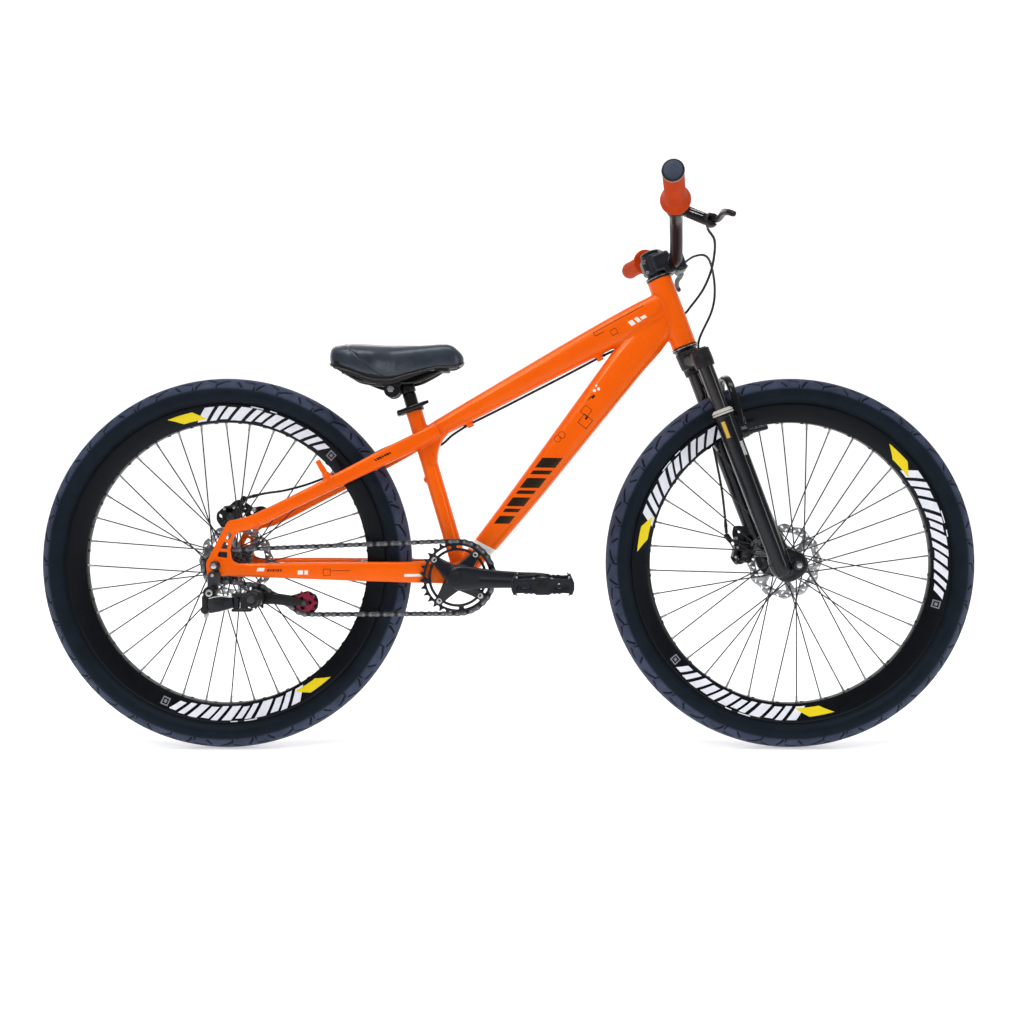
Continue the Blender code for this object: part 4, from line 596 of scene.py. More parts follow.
def piece(name, body, parts, replaces=(), origin=None):
    """The shapes as one named piece that rides on a CAD body and stands for its nodes."""
    parts = [p for p in parts if p is not None]
    obj = gather(parts)
    spot = Vector(origin) if origin is not None else None
    if spot is None:
        lo, hi = None, None
        co, _ = arrays(obj.data)
        spot = Vector(((co.min(0) + co.max(0)) / 2).tolist())
    obj.data.transform(Matrix.Translation(-spot))
    obj.location = spot
    obj.name = name
    obj.data.name = name
    bpy.context.view_layer.update()
    if body:
        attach(obj, body)
    if replaces:
        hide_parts(*([replaces] if isinstance(replaces, str) else replaces))
    PIECES.append(obj)
    return obj


# ---------------------------------------------------------------- fasteners
def socket_bolt(face, axis, radius, height, mat, socket=0.5, sides=24, dome=0.0):
    """Cap screw whose head stands up from face along axis, with a six-sided socket."""
    m = facing(face, axis)
    prof = [(0.0, -height * 0.4), (radius, -height * 0.4), (radius, height * (1 - dome)), (radius * 0.8, height)]
    rs = radius * socket
    inner = [(rs * 1.05, height), (rs, height * 0.45), (0.0, height * 0.38)]
    verts, faces = [], []
    rows = []
    full = fillet(prof, radius * 0.14, 2) + inner
    for r, h in full:
        row = []
        if r < 1e-7:
            row = [len(verts)] * sides
            verts.append(m @ Vector((0, 0, h)))
        else:
            for k in range(sides):
                t = 2 * math.pi * k / sides
                hexed = r
                if r <= rs * 1.06:
                    sector = (t + math.pi / 6) % (math.pi / 3) - math.pi / 6
                    hexed = r * math.cos(math.pi / 6) / math.cos(sector) * 1.06
                row.append(len(verts))
                verts.append(m @ Vector((hexed * math.cos(t), hexed * math.sin(t), h)))
        rows.append(row)
    for a, b in zip(rows, rows[1:]):
        for k in range(sides):
            j = (k + 1) % sides
            slim = []
            for v in (a[k], a[j], b[j], b[k]):
                if v not in slim:
                    slim.append(v)
            if len(slim) > 2:
                faces.append(slim)
    return raw(verts, faces, mat, sharp=30)


def hex_nut(start, end, flat_r, mat, bore=0.0):
    """Six-sided nut between two points, with its corners turned off."""
    start, end = Vector(start), Vector(end)
    length = (end - start).length
    m = facing(start, end - start)
    corner = flat_r / math.cos(math.pi / 6)
    sides = 48
    profile = [(0.0, 0.0, 0)] if not bore else [(bore, 0.0, 0)]
    profile += [(flat_r * 0.97, 0.0, 0), (corner, length * 0.14, 1), (corner, length * 0.86, 1), (flat_r * 0.95, length, 0)]
    profile += [(0.0, length, 0)] if not bore else [(bore, length, 0)]
    verts, faces, rows = [], [], []
    for r, h, hexed in profile:
        if r < 1e-7:
            rows.append([len(verts)] * sides)
            verts.append(m @ Vector((0, 0, h)))
            continue
        row = []
        for k in range(sides):
            t = 2 * math.pi * k / sides
            sector = (t + math.pi / 6) % (math.pi / 3) - math.pi / 6
            rr = min(r, flat_r / math.cos(sector)) if hexed else r
            row.append(len(verts))
            verts.append(m @ Vector((rr * math.cos(t), rr * math.sin(t), h)))
        rows.append(row)
    total = len(rows)
    for i in range(total if bore else total - 1):
        a, b = rows[i], rows[(i + 1) % total]
        for k in range(sides):
            j = (k + 1) % sides
            slim = []
            for v in (a[k], a[j], b[j], b[k]):
                if v not in slim:
                    slim.append(v)
            if len(slim) > 2:
                faces.append(slim)
    return raw(verts, faces, mat, sharp=22)


# ---------------------------------------------------------------- materials
def srgb(r, g, b):
    def lin(c):
        c /= 255.0
        return c / 12.92 if c <= 0.04045 else ((c + 0.055) / 1.055) ** 2.4

    return (lin(r), lin(g), lin(b))


class Nodes:
    """A material's node tree, with short ways to add nodes."""

    def __init__(self, name):
        self.mat = bpy.data.materials.new(name)
        self.mat.use_nodes = True
        self.tree = self.mat.node_tree
        self.shader = self.tree.nodes["Principled BSDF"]
        self.coords = self.tree.nodes.new("ShaderNodeTexCoord").outputs["Object"]

    def set(self, **values):
        for key, value in values.items():
            name = key.replace("_", " ")
            socket = self.shader.inputs[name]
            if isinstance(value, bpy.types.NodeSocket):
                self.tree.links.new(value, socket)
            elif isinstance(value, (tuple, list)) and len(value) == 3 and socket.type == "RGBA":
                socket.default_value = (*value, 1.0)
            else:
                socket.default_value = value
        return self

    def link(self, value, socket):
        if isinstance(value, bpy.types.NodeSocket):
            self.tree.links.new(value, socket)
        elif isinstance(value, (tuple, list)) and socket.type == "RGBA":
            socket.default_value = (*value, 1.0) if len(value) == 3 else value
        else:
            socket.default_value = value

    def math(self, op, a, b=None, c=None, clamp=False):
        node = self.tree.nodes.new("ShaderNodeMath")
        node.operation = op
        node.use_clamp = clamp
        for i, v in enumerate((a, b, c)):
            if v is not None:
                self.link(v, node.inputs[i])
        return node.outputs[0]

    def vmath(self, op, a, b=None, out=0):
        node = self.tree.nodes.new("ShaderNodeVectorMath")
        node.operation = op
        self.link(a, node.inputs[0])
        if b is not None:
            self.link(b, node.inputs[1])
        return node.outputs["Value"] if out == "Value" else node.outputs[0]

    def xyz(self, vector=None):
        node = self.tree.nodes.new("ShaderNodeSeparateXYZ")
        self.link(self.coords if vector is None else vector, node.inputs[0])
        return node.outputs[0], node.outputs[1], node.outputs[2]

    def join(self, x, y, z):
        node = self.tree.nodes.new("ShaderNodeCombineXYZ")
        for i, v in enumerate((x, y, z)):
            self.link(v, node.inputs[i])
        return node.outputs[0]

    def scaled(self, sx, sy, sz, vector=None):
        return self.vmath("MULTIPLY", self.coords if vector is None else vector, (sx, sy, sz))

    def noise(self, scale, detail=2.0, rough=0.5, vector=None, distortion=0.0):
        node = self.tree.nodes.new("ShaderNodeTexNoise")
        node.inputs["Scale"].default_value = scale
        node.inputs["Detail"].default_value = detail
        node.inputs["Roughness"].default_value = rough
        node.inputs["Distortion"].default_value = distortion
        self.link(self.coords if vector is None else vector, node.inputs["Vector"])
        return node.outputs["Fac"]

    def voronoi(self, scale, feature="F1", vector=None, randomness=1.0):
        node = self.tree.nodes.new("ShaderNodeTexVoronoi")
        node.feature = feature
        node.inputs["Scale"].default_value = scale
        node.inputs["Randomness"].default_value = randomness
        self.link(self.coords if vector is None else vector, node.inputs["Vector"])
        return node.outputs["Distance"]

    def wave(self, scale, vector, direction="X", profile="SIN", distortion=0.0):
        node = self.tree.nodes.new("ShaderNodeTexWave")
        node.wave_type = "BANDS"
        node.bands_direction = direction
        node.wave_profile = profile
        node.inputs["Scale"].default_value = scale
        node.inputs["Distortion"].default_value = distortion
        self.link(vector, node.inputs["Vector"])
        return node.outputs["Fac"]

    def span(self, value, a, b, lo=0.0, hi=1.0, smooth=False):
        node = self.tree.nodes.new("ShaderNodeMapRange")
        node.clamp = True
        if smooth:
            node.interpolation_type = "SMOOTHSTEP"
        for i, v in enumerate((value, a, b, lo, hi)):
            self.link(v, node.inputs[i])
        return node.outputs[0]

    def mix(self, fac, a, b):
        node = self.tree.nodes.new("ShaderNodeMix")
        node.data_type = "RGBA"
        self.link(fac, node.inputs["Factor"])
        for value, socket in ((a, node.inputs[6]), (b, node.inputs[7])):
            self.link(value, socket)
        return node.outputs[2]

    def blend(self, fac, a, b):
        """Number a where fac is 0 and b where it is 1."""
        return self.span(fac, 0.0, 1.0, a, b)

    def bump(self, height, strength=1.0, distance=0.001, normal=None):
        node = self.tree.nodes.new("ShaderNodeBump")
        node.inputs["Strength"].default_value = strength
        node.inputs["Distance"].default_value = distance
        self.link(height, node.inputs["Height"])
        if normal is not None:
            self.link(normal, node.inputs["Normal"])
        return node.outputs[0]

    def attribute(self, name):
        node = self.tree.nodes.new("ShaderNodeAttribute")
        node.attribute_name = name
        return node.outputs["Fac"]

    # flat shapes for paint marks: a value below 0 lies inside
    def slab(self, u, v, cu, cv, hu, hv, lean=0.0):
        du = self.math("SUBTRACT", u, cu)
        dv = self.math("SUBTRACT", v, cv)
        if lean:
            du = self.math("MULTIPLY_ADD", dv, -lean, du)
        return self.math(
            "MAXIMUM", self.math("SUBTRACT", self.math("ABSOLUTE", du), hu), self.math("SUBTRACT", self.math("ABSOLUTE", dv), hv)
        )

    def disc(self, u, v, cu, cv, r):
        du = self.math("SUBTRACT", u, cu)
        dv = self.math("SUBTRACT", v, cv)
        far = self.math("SQRT", self.math("ADD", self.math("MULTIPLY", du, du), self.math("MULTIPLY", dv, dv)))
        return self.math("SUBTRACT", far, r)

    def outline(self, d, half):
        return self.math("SUBTRACT", self.math("ABSOLUTE", d), half)

    def any(self, shapes):
        out = shapes[0]
        for s in shapes[1:]:
            out = self.math("MINIMUM", out, s)
        return out

    def inside(self, d):
        """1 inside the shape, 0 outside, with an edge a tenth of a millimetre wide."""
        return self.span(d, -0.00006, 0.00006, 1.0, 0.0)

    def turned_uv(self, x, z, ox, oz, angle):
        """(u, v) along and across a line through (ox, oz) at that angle in the XZ plane."""
        dx = self.math("SUBTRACT", x, ox)
        dz = self.math("SUBTRACT", z, oz)
        c, s = math.cos(angle), math.sin(angle)
        u = self.math("MULTIPLY_ADD", dz, s, self.math("MULTIPLY", dx, c))
        v = self.math("MULTIPLY_ADD", dx, -s, self.math("MULTIPLY", dz, c))
        return u, v


def plain_metal(name, colour, rough, metallic=1.0, grain=900.0, streak=(1.0, 1.0, 1.0), spread=0.12, wear=0.0, coat=0.0):
    """Metal with fine grain, uneven polish and, where asked, brighter worn patches."""
    n = Nodes(name)
    fine = n.noise(grain, 4.0, 0.6, n.scaled(*streak))
    broad = n.noise(38.0, 3.0, 0.55)
    dark = tuple(c * 0.82 for c in colour)
    light = tuple(min(1.0, c * 1.12 + 0.01) for c in colour)
    base = n.mix(n.span(broad, 0.3, 0.7), dark, light)
    if wear:
        spots = n.span(n.noise(260.0, 5.0, 0.7), 0.62, 0.74)
        base = n.mix(n.math("MULTIPLY", spots, wear), base, tuple(min(1.0, c * 2.0 + 0.08) for c in colour))
    both = n.math("ADD", n.math("MULTIPLY", fine, 0.6), n.math("MULTIPLY", broad, 0.4))
    n.set(
        Base_Color=base,
        Metallic=metallic,
        Roughness=n.span(both, 0.3, 0.7, max(0.04, rough - spread), min(1.0, rough + spread)),
        Normal=n.bump(fine, 0.10, 0.0002),
    )
    if coat:
        n.set(Coat_Weight=coat, Coat_Roughness=0.12)
    return n.mat


def round_metal(name, colour, rough, around="XZ", scale=2600.0):
    """Metal turned or brushed in rings about the piece's own Y axis."""
    n = Nodes(name)
    x, y, z = n.xyz()
    far = n.math("SQRT", n.math("ADD", n.math("MULTIPLY", x, x), n.math("MULTIPLY", z, z)))
    rings = n.noise(scale, 3.0, 0.7, n.join(far, n.math("MULTIPLY", y, 0.05), 0.0))
    broad = n.noise(50.0, 3.0, 0.5)
    n.set(
        Base_Color=n.mix(n.span(n.math("ADD", rings, n.math("MULTIPLY", broad, 0.5)), 0.5, 1.0), tuple(c * 0.74 for c in colour), colour),
        Metallic=1.0,
        Roughness=n.span(rings, 0.3, 0.7, rough - 0.08, rough + 0.12),
        Normal=n.bump(rings, 0.14, 0.0002),
    )
    return n.mat


def gloss(name, colour, rough=0.22, coat=1.0, flake=0.0, peel=0.05, dust=0.10, scale=1.0, metallic=0.0, spec=0.5):
    """Sprayed paint: a lacquer coat with orange peel, and a little dust and fine hairline wear."""
    n = Nodes(name)
    broad = n.noise(14.0 * scale, 3.0, 0.5)
    peel_map = n.noise(420.0, 2.0, 0.5)
    hair = n.noise(120.0, 6.0, 0.75, n.scaled(1.0, 6.0, 5.0))
    base = n.mix(n.span(broad, 0.25, 0.75), tuple(c * 0.90 for c in colour), tuple(min(1.0, c * 1.06) for c in colour))
    lift = n.math("MULTIPLY", n.span(hair, 0.60, 0.78), dust)
    base = n.mix(lift, base, tuple(min(1.0, c + 0.10) for c in colour))
    n.set(
        Base_Color=base,
        Metallic=metallic,
        Roughness=n.span(hair, 0.35, 0.75, rough - 0.04, rough + 0.12),
        Coat_Weight=coat,
        Coat_Roughness=0.06,
        Specular_IOR_Level=spec,
        Normal=n.bump(peel_map, peel, 0.0003),
    )
    return n.mat


def cast_black(name, colour, rough=0.42, grain=1400.0, strength=0.16, spec=0.32, wear=0.12):
    """Satin black on cast or forged alloy: a fine powder grain and scattered patches rubbed a little brighter."""
    n = Nodes(name)
    fine = n.noise(grain, 3.0, 0.6)
    broad = n.noise(46.0, 4.0, 0.6)
    rub = n.span(n.noise(170.0, 5.0, 0.75), 0.60, 0.80)
    base = n.mix(n.span(broad, 0.3, 0.7), tuple(c * 0.75 for c in colour), tuple(c * 1.25 + 0.002 for c in colour))
    base = n.mix(n.math("MULTIPLY", rub, wear), base, tuple(min(1.0, c * 3.0 + 0.03) for c in colour))
    n.set(
        Base_Color=base,
        Roughness=n.span(n.math("ADD", n.math("MULTIPLY", fine, 0.5), n.math("MULTIPLY", broad, 0.5)), 0.3, 0.7, rough - 0.10, rough + 0.10),
        Specular_IOR_Level=spec,
        Normal=n.bump(fine, strength, 0.00025),
    )
    return n.mat


def moulded(name, colour, rough=0.5, grain=2200.0, strength=0.2, mottle=0.2):
    """Moulded plastic or rubber with a fine spark grain and faint flow marks."""
    n = Nodes(name)
    cells = n.voronoi(grain)
    flow = n.noise(30.0, 4.0, 0.6, distortion=0.6)
    base = n.mix(n.span(flow, 0.25, 0.75), tuple(c * (1 - mottle) for c in colour), tuple(min(1.0, c * (1 + mottle)) for c in colour))
    n.set(
        Base_Color=base,
        Roughness=n.span(flow, 0.3, 0.7, rough - 0.07, rough + 0.09),
        Specular_IOR_Level=0.3,
        Normal=n.bump(cells, strength, 0.0002),
    )
    return n.mat


def make_orange():
    """Frame paint with small generic marks: slanted bars, thin squares, rings and dots."""
    n = Nodes("orange_paint")
    x, y, z = n.xyz()
    x = n.math("ADD", x, WHEELBASE / 2)
    side = n.math("ABSOLUTE", y)
    body = srgb(245, 97, 4)
    deep = srgb(238, 88, 3)
    broad = n.noise(9.0, 3.0, 0.5)
    base = n.mix(n.span(broad, 0.25, 0.75), deep, body)

    black, white = [], []
    # slanted bars of two widths along the down tube
    tube_turn = math.atan2(0.7000 - 0.3677, 0.7270 - 0.4686)
    u, v = n.turned_uv(x, z, 0.5030, 0.4130, tube_turn)
    for cu, hu, hv in ((0.0010, 0.0088, 0.0112), (0.0225, 0.0040, 0.0112), (0.0420, 0.0100, 0.0128), (0.0640, 0.0040, 0.0128),
                       (0.0850, 0.0112, 0.0140), (0.1090, 0.0044, 0.0140), (0.1310, 0.0112, 0.0148)):
        black.append(n.slab(u, v, cu, 0.0, hu, hv, lean=-0.75))
    # thin squares and rings higher up the down tube
    black.append(n.outline(n.slab(u, v, 0.2300, -0.0060, 0.0095, 0.0095), 0.00055))
    black.append(n.outline(n.slab(u, v, 0.2460, 0.0040, 0.0075, 0.0075), 0.00045))
    black.append(n.slab(u, v, 0.2360, -0.0040, 0.0030, 0.0018))
    black.append(n.outline(n.disc(u, v, 0.1750, 0.0140, 0.0060), 0.00045))
    black.append(n.outline(n.disc(u, v, 0.1850, 0.0120, 0.0060), 0.00045))
    black.append(n.slab(u, v, 0.2680, 0.0130, 0.0050, 0.0007))
    black.append(n.slab(u, v, 0.2740, 0.0100, 0.0035, 0.0022))
    white.append(n.disc(u, v, 0.2840, 0.0150, 0.0028))
    white.append(n.disc(u, v, 0.2910, 0.0110, 0.0028))
    white.append(n.disc(u, v, 0.2930, 0.0180, 0.0020))
    # top tube: two white bars, a long thin line with a hook, and a small square
    top_turn = math.atan2(0.7755 - 0.6747, 0.7400 - 0.5545)
    u2, v2 = n.turned_uv(x, z, 0.7000, 0.7540, top_turn)
    white.append(n.slab(u2, v2, 0.0360, -0.0030, 0.0045, 0.0050, lean=-0.3))
    white.append(n.slab(u2, v2, 0.0480, -0.0030, 0.0035, 0.0050, lean=-0.3))
    white.append(n.slab(u2, v2, 0.0595, -0.0040, 0.0050, 0.0030, lean=-0.3))
    black.append(n.slab(u2, v2, 0.0180, 0.0145, 0.0520, 0.0006))
    black.append(n.slab(u2, v2, -0.0330, 0.0110, 0.0006, 0.0040))
    black.append(n.slab(u2, v2, -0.0250, 0.0072, 0.0085, 0.0006))
    black.append(n.outline(n.slab(u2, v2, 0.0000, -0.0020, 0.0055, 0.0050), 0.00045))
    # chainstay: a white block, short black dashes, a thin box
    for cu, hu in ((0.0930, 0.0016), (0.0975, 0.0013), (0.1018, 0.0016), (0.1062, 0.0012), (0.1102, 0.0015), (0.1146, 0.0013)):
        black.append(n.slab(x, z, cu, 0.3270, hu, 0.0022, lean=0.35))
    white.append(n.slab(x, z, 0.0800, 0.3285, 0.0062, 0.0030, lean=0.3))
    white.append(n.slab(x, z, 0.1480, 0.3230, 0.0045, 0.0036))
    white.append(n.slab(x, z, 0.1580, 0.3230, 0.0030, 0.0036))
    black.append(n.outline(n.slab(x, z, 0.1930, 0.3230, 0.0060, 0.0055), 0.00045))
    black.append(n.slab(x, z, 0.2160, 0.3255, 0.0170, 0.0005))
    white.append(n.slab(x, z, 0.3420, 0.3160, 0.0150, 0.0024))
    # seatstay: dashes near the seat tube
    stay_turn = math.atan2(0.5279 - 0.4553, 0.2925 - 0.1523)
    u3, v3 = n.turned_uv(x, z, 0.2800, 0.5215, stay_turn)
    for k in range(7):
        black.append(n.slab(u3, v3, -0.0040 + 0.0046 * k, 0.0010, 0.0014 + 0.0004 * (k % 3), 0.0022, lean=-0.5))
    # white painted band at the foot of the down tube
    band = n.slab(u, v, -0.0655, 0.0, 0.0095, 0.0400, lean=-0.18)

    near = n.math("GREATER_THAN", side, 0.0035)
    black_mask = n.math("MULTIPLY", n.inside(n.any(black)), near)
    white_mask = n.math("MULTIPLY", n.inside(n.any(white)), near)
    white_mask = n.math("MAXIMUM", white_mask, n.math("MULTIPLY", n.inside(band), n.math("LESS_THAN", side, 0.03)))
    hair = n.noise(150.0, 6.0, 0.7, n.scaled(1.0, 5.0, 4.0))
    base = n.mix(white_mask, base, srgb(238, 236, 232))
    base = n.mix(black_mask, base, srgb(20, 18, 20))
    # the brake tab above the left stay is masked black
    above = n.math("GREATER_THAN", z, n.math("ADD", n.math("MULTIPLY", x, 0.26), 0.4090 + 0.26 * (0.4964 - WHEELBASE / 2)))
    tab = n.math("MULTIPLY", n.math("GREATER_THAN", y, 0.0674), n.math("MULTIPLY", above, n.math("LESS_THAN", x, 0.0900)))
    base = n.mix(tab, base, srgb(14, 14, 17))
    weld = n.attribute("weld")
    base = n.mix(n.math("MULTIPLY", weld, 0.22), base, srgb(196, 52, 0))
    bead = n.math("MULTIPLY", n.noise(480.0, 1.0, 0.4, distortion=0.4), weld)
    peel = n.bump(n.noise(520.0, 2.0, 0.5), 0.05, 0.0003)
    n.set(
        Base_Color=base,
        Roughness=n.span(hair, 0.35, 0.75, 0.20, 0.32),
        Specular_IOR_Level=0.55,
        Specular_Tint=(1.0, 0.60, 0.22),
        Coat_Weight=0.10,
        Coat_Roughness=0.06,
        Normal=n.bump(bead, 0.55, 0.0009, peel),
    )
    return n.mat


def make_rim(name, centres):
    """Gloss black rim with generic slanted bars, a yellow tag and a small grey square in each run."""
    n = Nodes(name)
    x, y, z = n.xyz()
    turn = n.math("ARCTAN2", z, x)
    far = n.math("SQRT", n.math("ADD", n.math("MULTIPLY", x, x), n.math("MULTIPLY", z, z)))
    mid = 0.2722
    v = n.math("SUBTRACT", far, mid)
    white_parts, yellow_parts, grey_parts = [], [], []
    bars = (
        (0.1150, 0.0085, 0.0118, -0.8), (0.0930, 0.0060, 0.0125, -0.8), (0.0740, 0.0072, 0.0108, -0.8),
        (0.0500, 0.0098, 0.0125, -0.8), (0.0270, 0.0055, 0.0118, -0.8), (0.0100, 0.0060, 0.0098, -0.8),
        (-0.0100, 0.0082, 0.0120, -0.8), (-0.0310, 0.0058, 0.0125, -0.8), (-0.0490, 0.0070, 0.0105, -0.8),
        (-0.0700, 0.0078, 0.0122, -0.8), (-0.0905, 0.0055, 0.0112, -0.8), (-0.1090, 0.0062, 0.0090, -0.8),
    )
    for centre in centres:
        local = n.math("SUBTRACT", turn, math.radians(centre))
        local = n.math("WRAP", local, math.pi, -math.pi)
        u = n.math("MULTIPLY", local, mid)
        shapes = [n.slab(u, v, cu - 0.006, -0.0005, hu, hv, lean) for cu, hu, hv, lean in bars]
        shapes.append(n.slab(u, v, 0.0170, 0.0140, 0.0110, 0.0009))
        shapes.append(n.slab(u, v, -0.0120, 0.0140, 0.0060, 0.0009))
        white_parts += shapes
        yellow_parts.append(n.slab(u, v, 0.1420, -0.0010, 0.0225, 0.0082, 1.5))
        grey_parts.append(n.outline(n.slab(u, v, -0.1390, 0.0, 0.0060, 0.0062), 0.0011))
        grey_parts.append(n.slab(u, v, -0.1390, 0.0, 0.0026, 0.0028))
    wall = n.math("GREATER_THAN", n.math("ABSOLUTE", y), 0.0079)
    white = n.math("MULTIPLY", n.inside(n.any(white_parts)), wall)
    yellow = n.math("MULTIPLY", n.inside(n.any(yellow_parts)), wall)
    grey = n.math("MULTIPLY", n.inside(n.any(grey_parts)), wall)
    dust = n.noise(60.0, 5.0, 0.6)
    base = n.mix(n.span(dust, 0.3, 0.75), srgb(8, 9, 11), srgb(13, 14, 17))
    base = n.mix(white, base, n.mix(n.span(dust, 0.3, 0.7), srgb(226, 228, 238), srgb(240, 242, 250)))
    base = n.mix(yellow, base, srgb(238, 214, 30))
    base = n.mix(grey, base, srgb(128, 128, 138))
    print_mask = n.math("MAXIMUM", n.math("MAXIMUM", white, yellow), grey)
    rough = n.span(dust, 0.3, 0.7, 0.20, 0.27)
    n.set(
        Base_Color=base,
        Roughness=n.math("ADD", rough, n.math("MULTIPLY", print_mask, 0.15)),
        Specular_IOR_Level=0.15,
        Specular_Tint=(0.70, 0.84, 1.0),
        Coat_Weight=0.08,
        Coat_Roughness=0.12,
        Normal=n.bump(print_mask, 0.25, 0.0002, n.bump(n.noise(600.0, 2.0, 0.5), 0.05, 0.0002)),
    )
    return n.mat


def make_tyre():
    n = Nodes("tyre_rubber")
    x, y, z = n.xyz()
    far = n.math("SQRT", n.math("ADD", n.math("MULTIPLY", x, x), n.math("MULTIPLY", z, z)))
    dusty = n.noise(26.0, 5.0, 0.6)
    grain = n.noise(1500.0, 3.0, 0.6)
    groove_shade = n.attribute("groove_shade")
    tread = n.span(far, 0.3130, 0.3190, 0.0, 1.0, smooth=True)
    side = n.mix(n.span(dusty, 0.3, 0.75), srgb(12, 17, 24), srgb(21, 27, 36))
    crown = n.mix(n.span(dusty, 0.3, 0.75), srgb(45, 50, 68), srgb(69, 76, 98))
    base = n.mix(tread, side, crown)
    # painted shade: the tread grooves are darkened by their depth
    base = n.mix(groove_shade, base, srgb(9, 10, 13))
    rings = n.noise(1900.0, 1.0, 0.3, n.join(far, 0.0, 0.0))
    n.set(
        Base_Color=base,
        Roughness=n.span(n.math("ADD", n.math("MULTIPLY", dusty, 0.6), n.math("MULTIPLY", grain, 0.4)), 0.3, 0.7, 0.46, 0.66),
        Specular_IOR_Level=0.16,
        Specular_Tint=(0.62, 0.80, 1.0),
        Normal=n.bump(grain, 0.22, 0.0003, n.bump(rings, 0.12, 0.0003)),
    )
    return n.mat


def make_vinyl():
    """Saddle vinyl: a fine pebble grain, faint creases and a soft sheen."""
    n = Nodes("saddle_vinyl")
    pebble = n.voronoi(1150.0)
    small = n.noise(2600.0, 3.0, 0.6)
    crease = n.span(n.voronoi(210.0, "DISTANCE_TO_EDGE"), 0.0, 0.06)
    wear = n.noise(34.0, 4.0, 0.6)
    base = n.mix(n.span(wear, 0.3, 0.7), srgb(29, 34, 43), srgb(41, 47, 58))
    seam = n.attribute("seam")
    base = n.mix(n.math("MULTIPLY", seam, 0.55), base, srgb(8, 8, 10))
    height = n.math("ADD", n.math("MULTIPLY", pebble, 0.7), n.math("MULTIPLY", small, 0.3))
    n.set(
        Base_Color=base,
        Roughness=n.span(n.math("ADD", n.math("MULTIPLY", wear, 0.6), n.math("MULTIPLY", pebble, 0.5)), 0.2, 0.9, 0.27, 0.44),
        Specular_IOR_Level=0.5,
        Specular_Tint=(0.72, 0.85, 1.0),
        Sheen_Weight=0.14,
        Sheen_Roughness=0.4,
        Coat_Weight=0.3,
        Coat_Roughness=0.22,
        Normal=n.bump(height, 0.32, 0.0003, n.bump(crease, 0.05, 0.0002)),
    )
    return n.mat


def make_grip():
    """Soft orange rubber with fine ribs along most of the grip, painted shade in the valleys between them, and a matt
    bloom.
    """
    n = Nodes("grip_rubber")
    x, y, z = n.xyz()
    ribs = n.wave(180.0, n.join(y, 0.0, 0.0), "X")
    cells = n.voronoi(900.0, randomness=0.4)
    bloom = n.noise(40.0, 4.0, 0.6)
    base = n.mix(n.span(bloom, 0.3, 0.7), srgb(178, 50, 9), srgb(196, 64, 9))
    # painted shade: the valleys between the ribs are darkened
    base = n.mix(n.math("MULTIPLY", n.span(ribs, 0.0, 0.4, 1.0, 0.0), 0.30), base, srgb(150, 38, 8))
    height = n.math("ADD", n.math("MULTIPLY", ribs, 0.8), n.math("MULTIPLY", cells, 0.35))
    n.set(
        Base_Color=base,
        Roughness=n.span(bloom, 0.3, 0.7, 0.50, 0.66),
        Specular_IOR_Level=0.30,
        Specular_Tint=(1.0, 0.50, 0.16),
        Subsurface_Weight=0.04,
        Subsurface_Scale=0.002,
        Normal=n.bump(height, 0.45, 0.0005),
    )
    return n.mat


def make_stanchion():
    n = Nodes("stanchion_black")
    x, y, z = n.xyz()
    along = n.noise(900.0, 3.0, 0.6, n.scaled(1.0, 1.0, 0.08))
    broad = n.noise(30.0, 3.0, 0.5)
    n.set(
        Base_Color=n.mix(n.span(broad, 0.3, 0.7), srgb(12, 10, 11), srgb(22, 18, 19)),
        Metallic=0.3,
        Roughness=n.span(along, 0.3, 0.7, 0.14, 0.24),
        Coat_Weight=0.3,
        Coat_Roughness=0.05,
        Normal=n.bump(along, 0.05, 0.0002),
    )
    return n.mat


def make_lowers():
    """Gloss black casting with a plain yellow tag and a plain grey tag on each leg."""
    n = Nodes("lowers_black")
    x, y, z = n.xyz()
    x = n.math("ADD", x, WHEELBASE / 2)
    lean = math.pi / 2 + HEAD_LEAN
    foot = HEAD + Vector((WHEELBASE / 2, 0, 0)) + STEER_FWD * LEG_AHEAD
    u, v = n.turned_uv(x, z, foot.x, foot.z, lean)
    outer = n.math("GREATER_THAN", n.math("ABSOLUTE", y), LEG_Y + 0.004)
    yellow = n.math("MULTIPLY", n.inside(n.any([n.slab(u, v, -0.1680, 0.0088, 0.0150, 0.0030)])), outer)
    grey = n.math("MULTIPLY", n.inside(n.any([n.slab(u, v, -0.2080, -0.0090, 0.0130, 0.0030)])), outer)
    broad = n.noise(18.0, 3.0, 0.5)
    hair = n.noise(130.0, 6.0, 0.75, n.scaled(1.0, 6.0, 2.0))
    base = n.mix(n.span(broad, 0.3, 0.7), srgb(6, 7, 10), srgb(10, 12, 16))
    base = n.mix(n.math("MULTIPLY", n.span(hair, 0.62, 0.8), 0.012), base, srgb(90, 90, 92))
    base = n.mix(yellow, base, srgb(206, 170, 60))
    base = n.mix(grey, base, srgb(176, 176, 182))
    n.set(
        Base_Color=base,
        Roughness=n.span(broad, 0.3, 0.7, 0.22, 0.27),
        Specular_IOR_Level=0.16,
        Specular_Tint=(0.75, 0.86, 1.0),
        Coat_Weight=0.45,
        Coat_Roughness=0.10,
        Normal=n.bump(n.noise(60.0, 2.0, 0.5), 0.02, 0.0002),
    )
    return n.mat


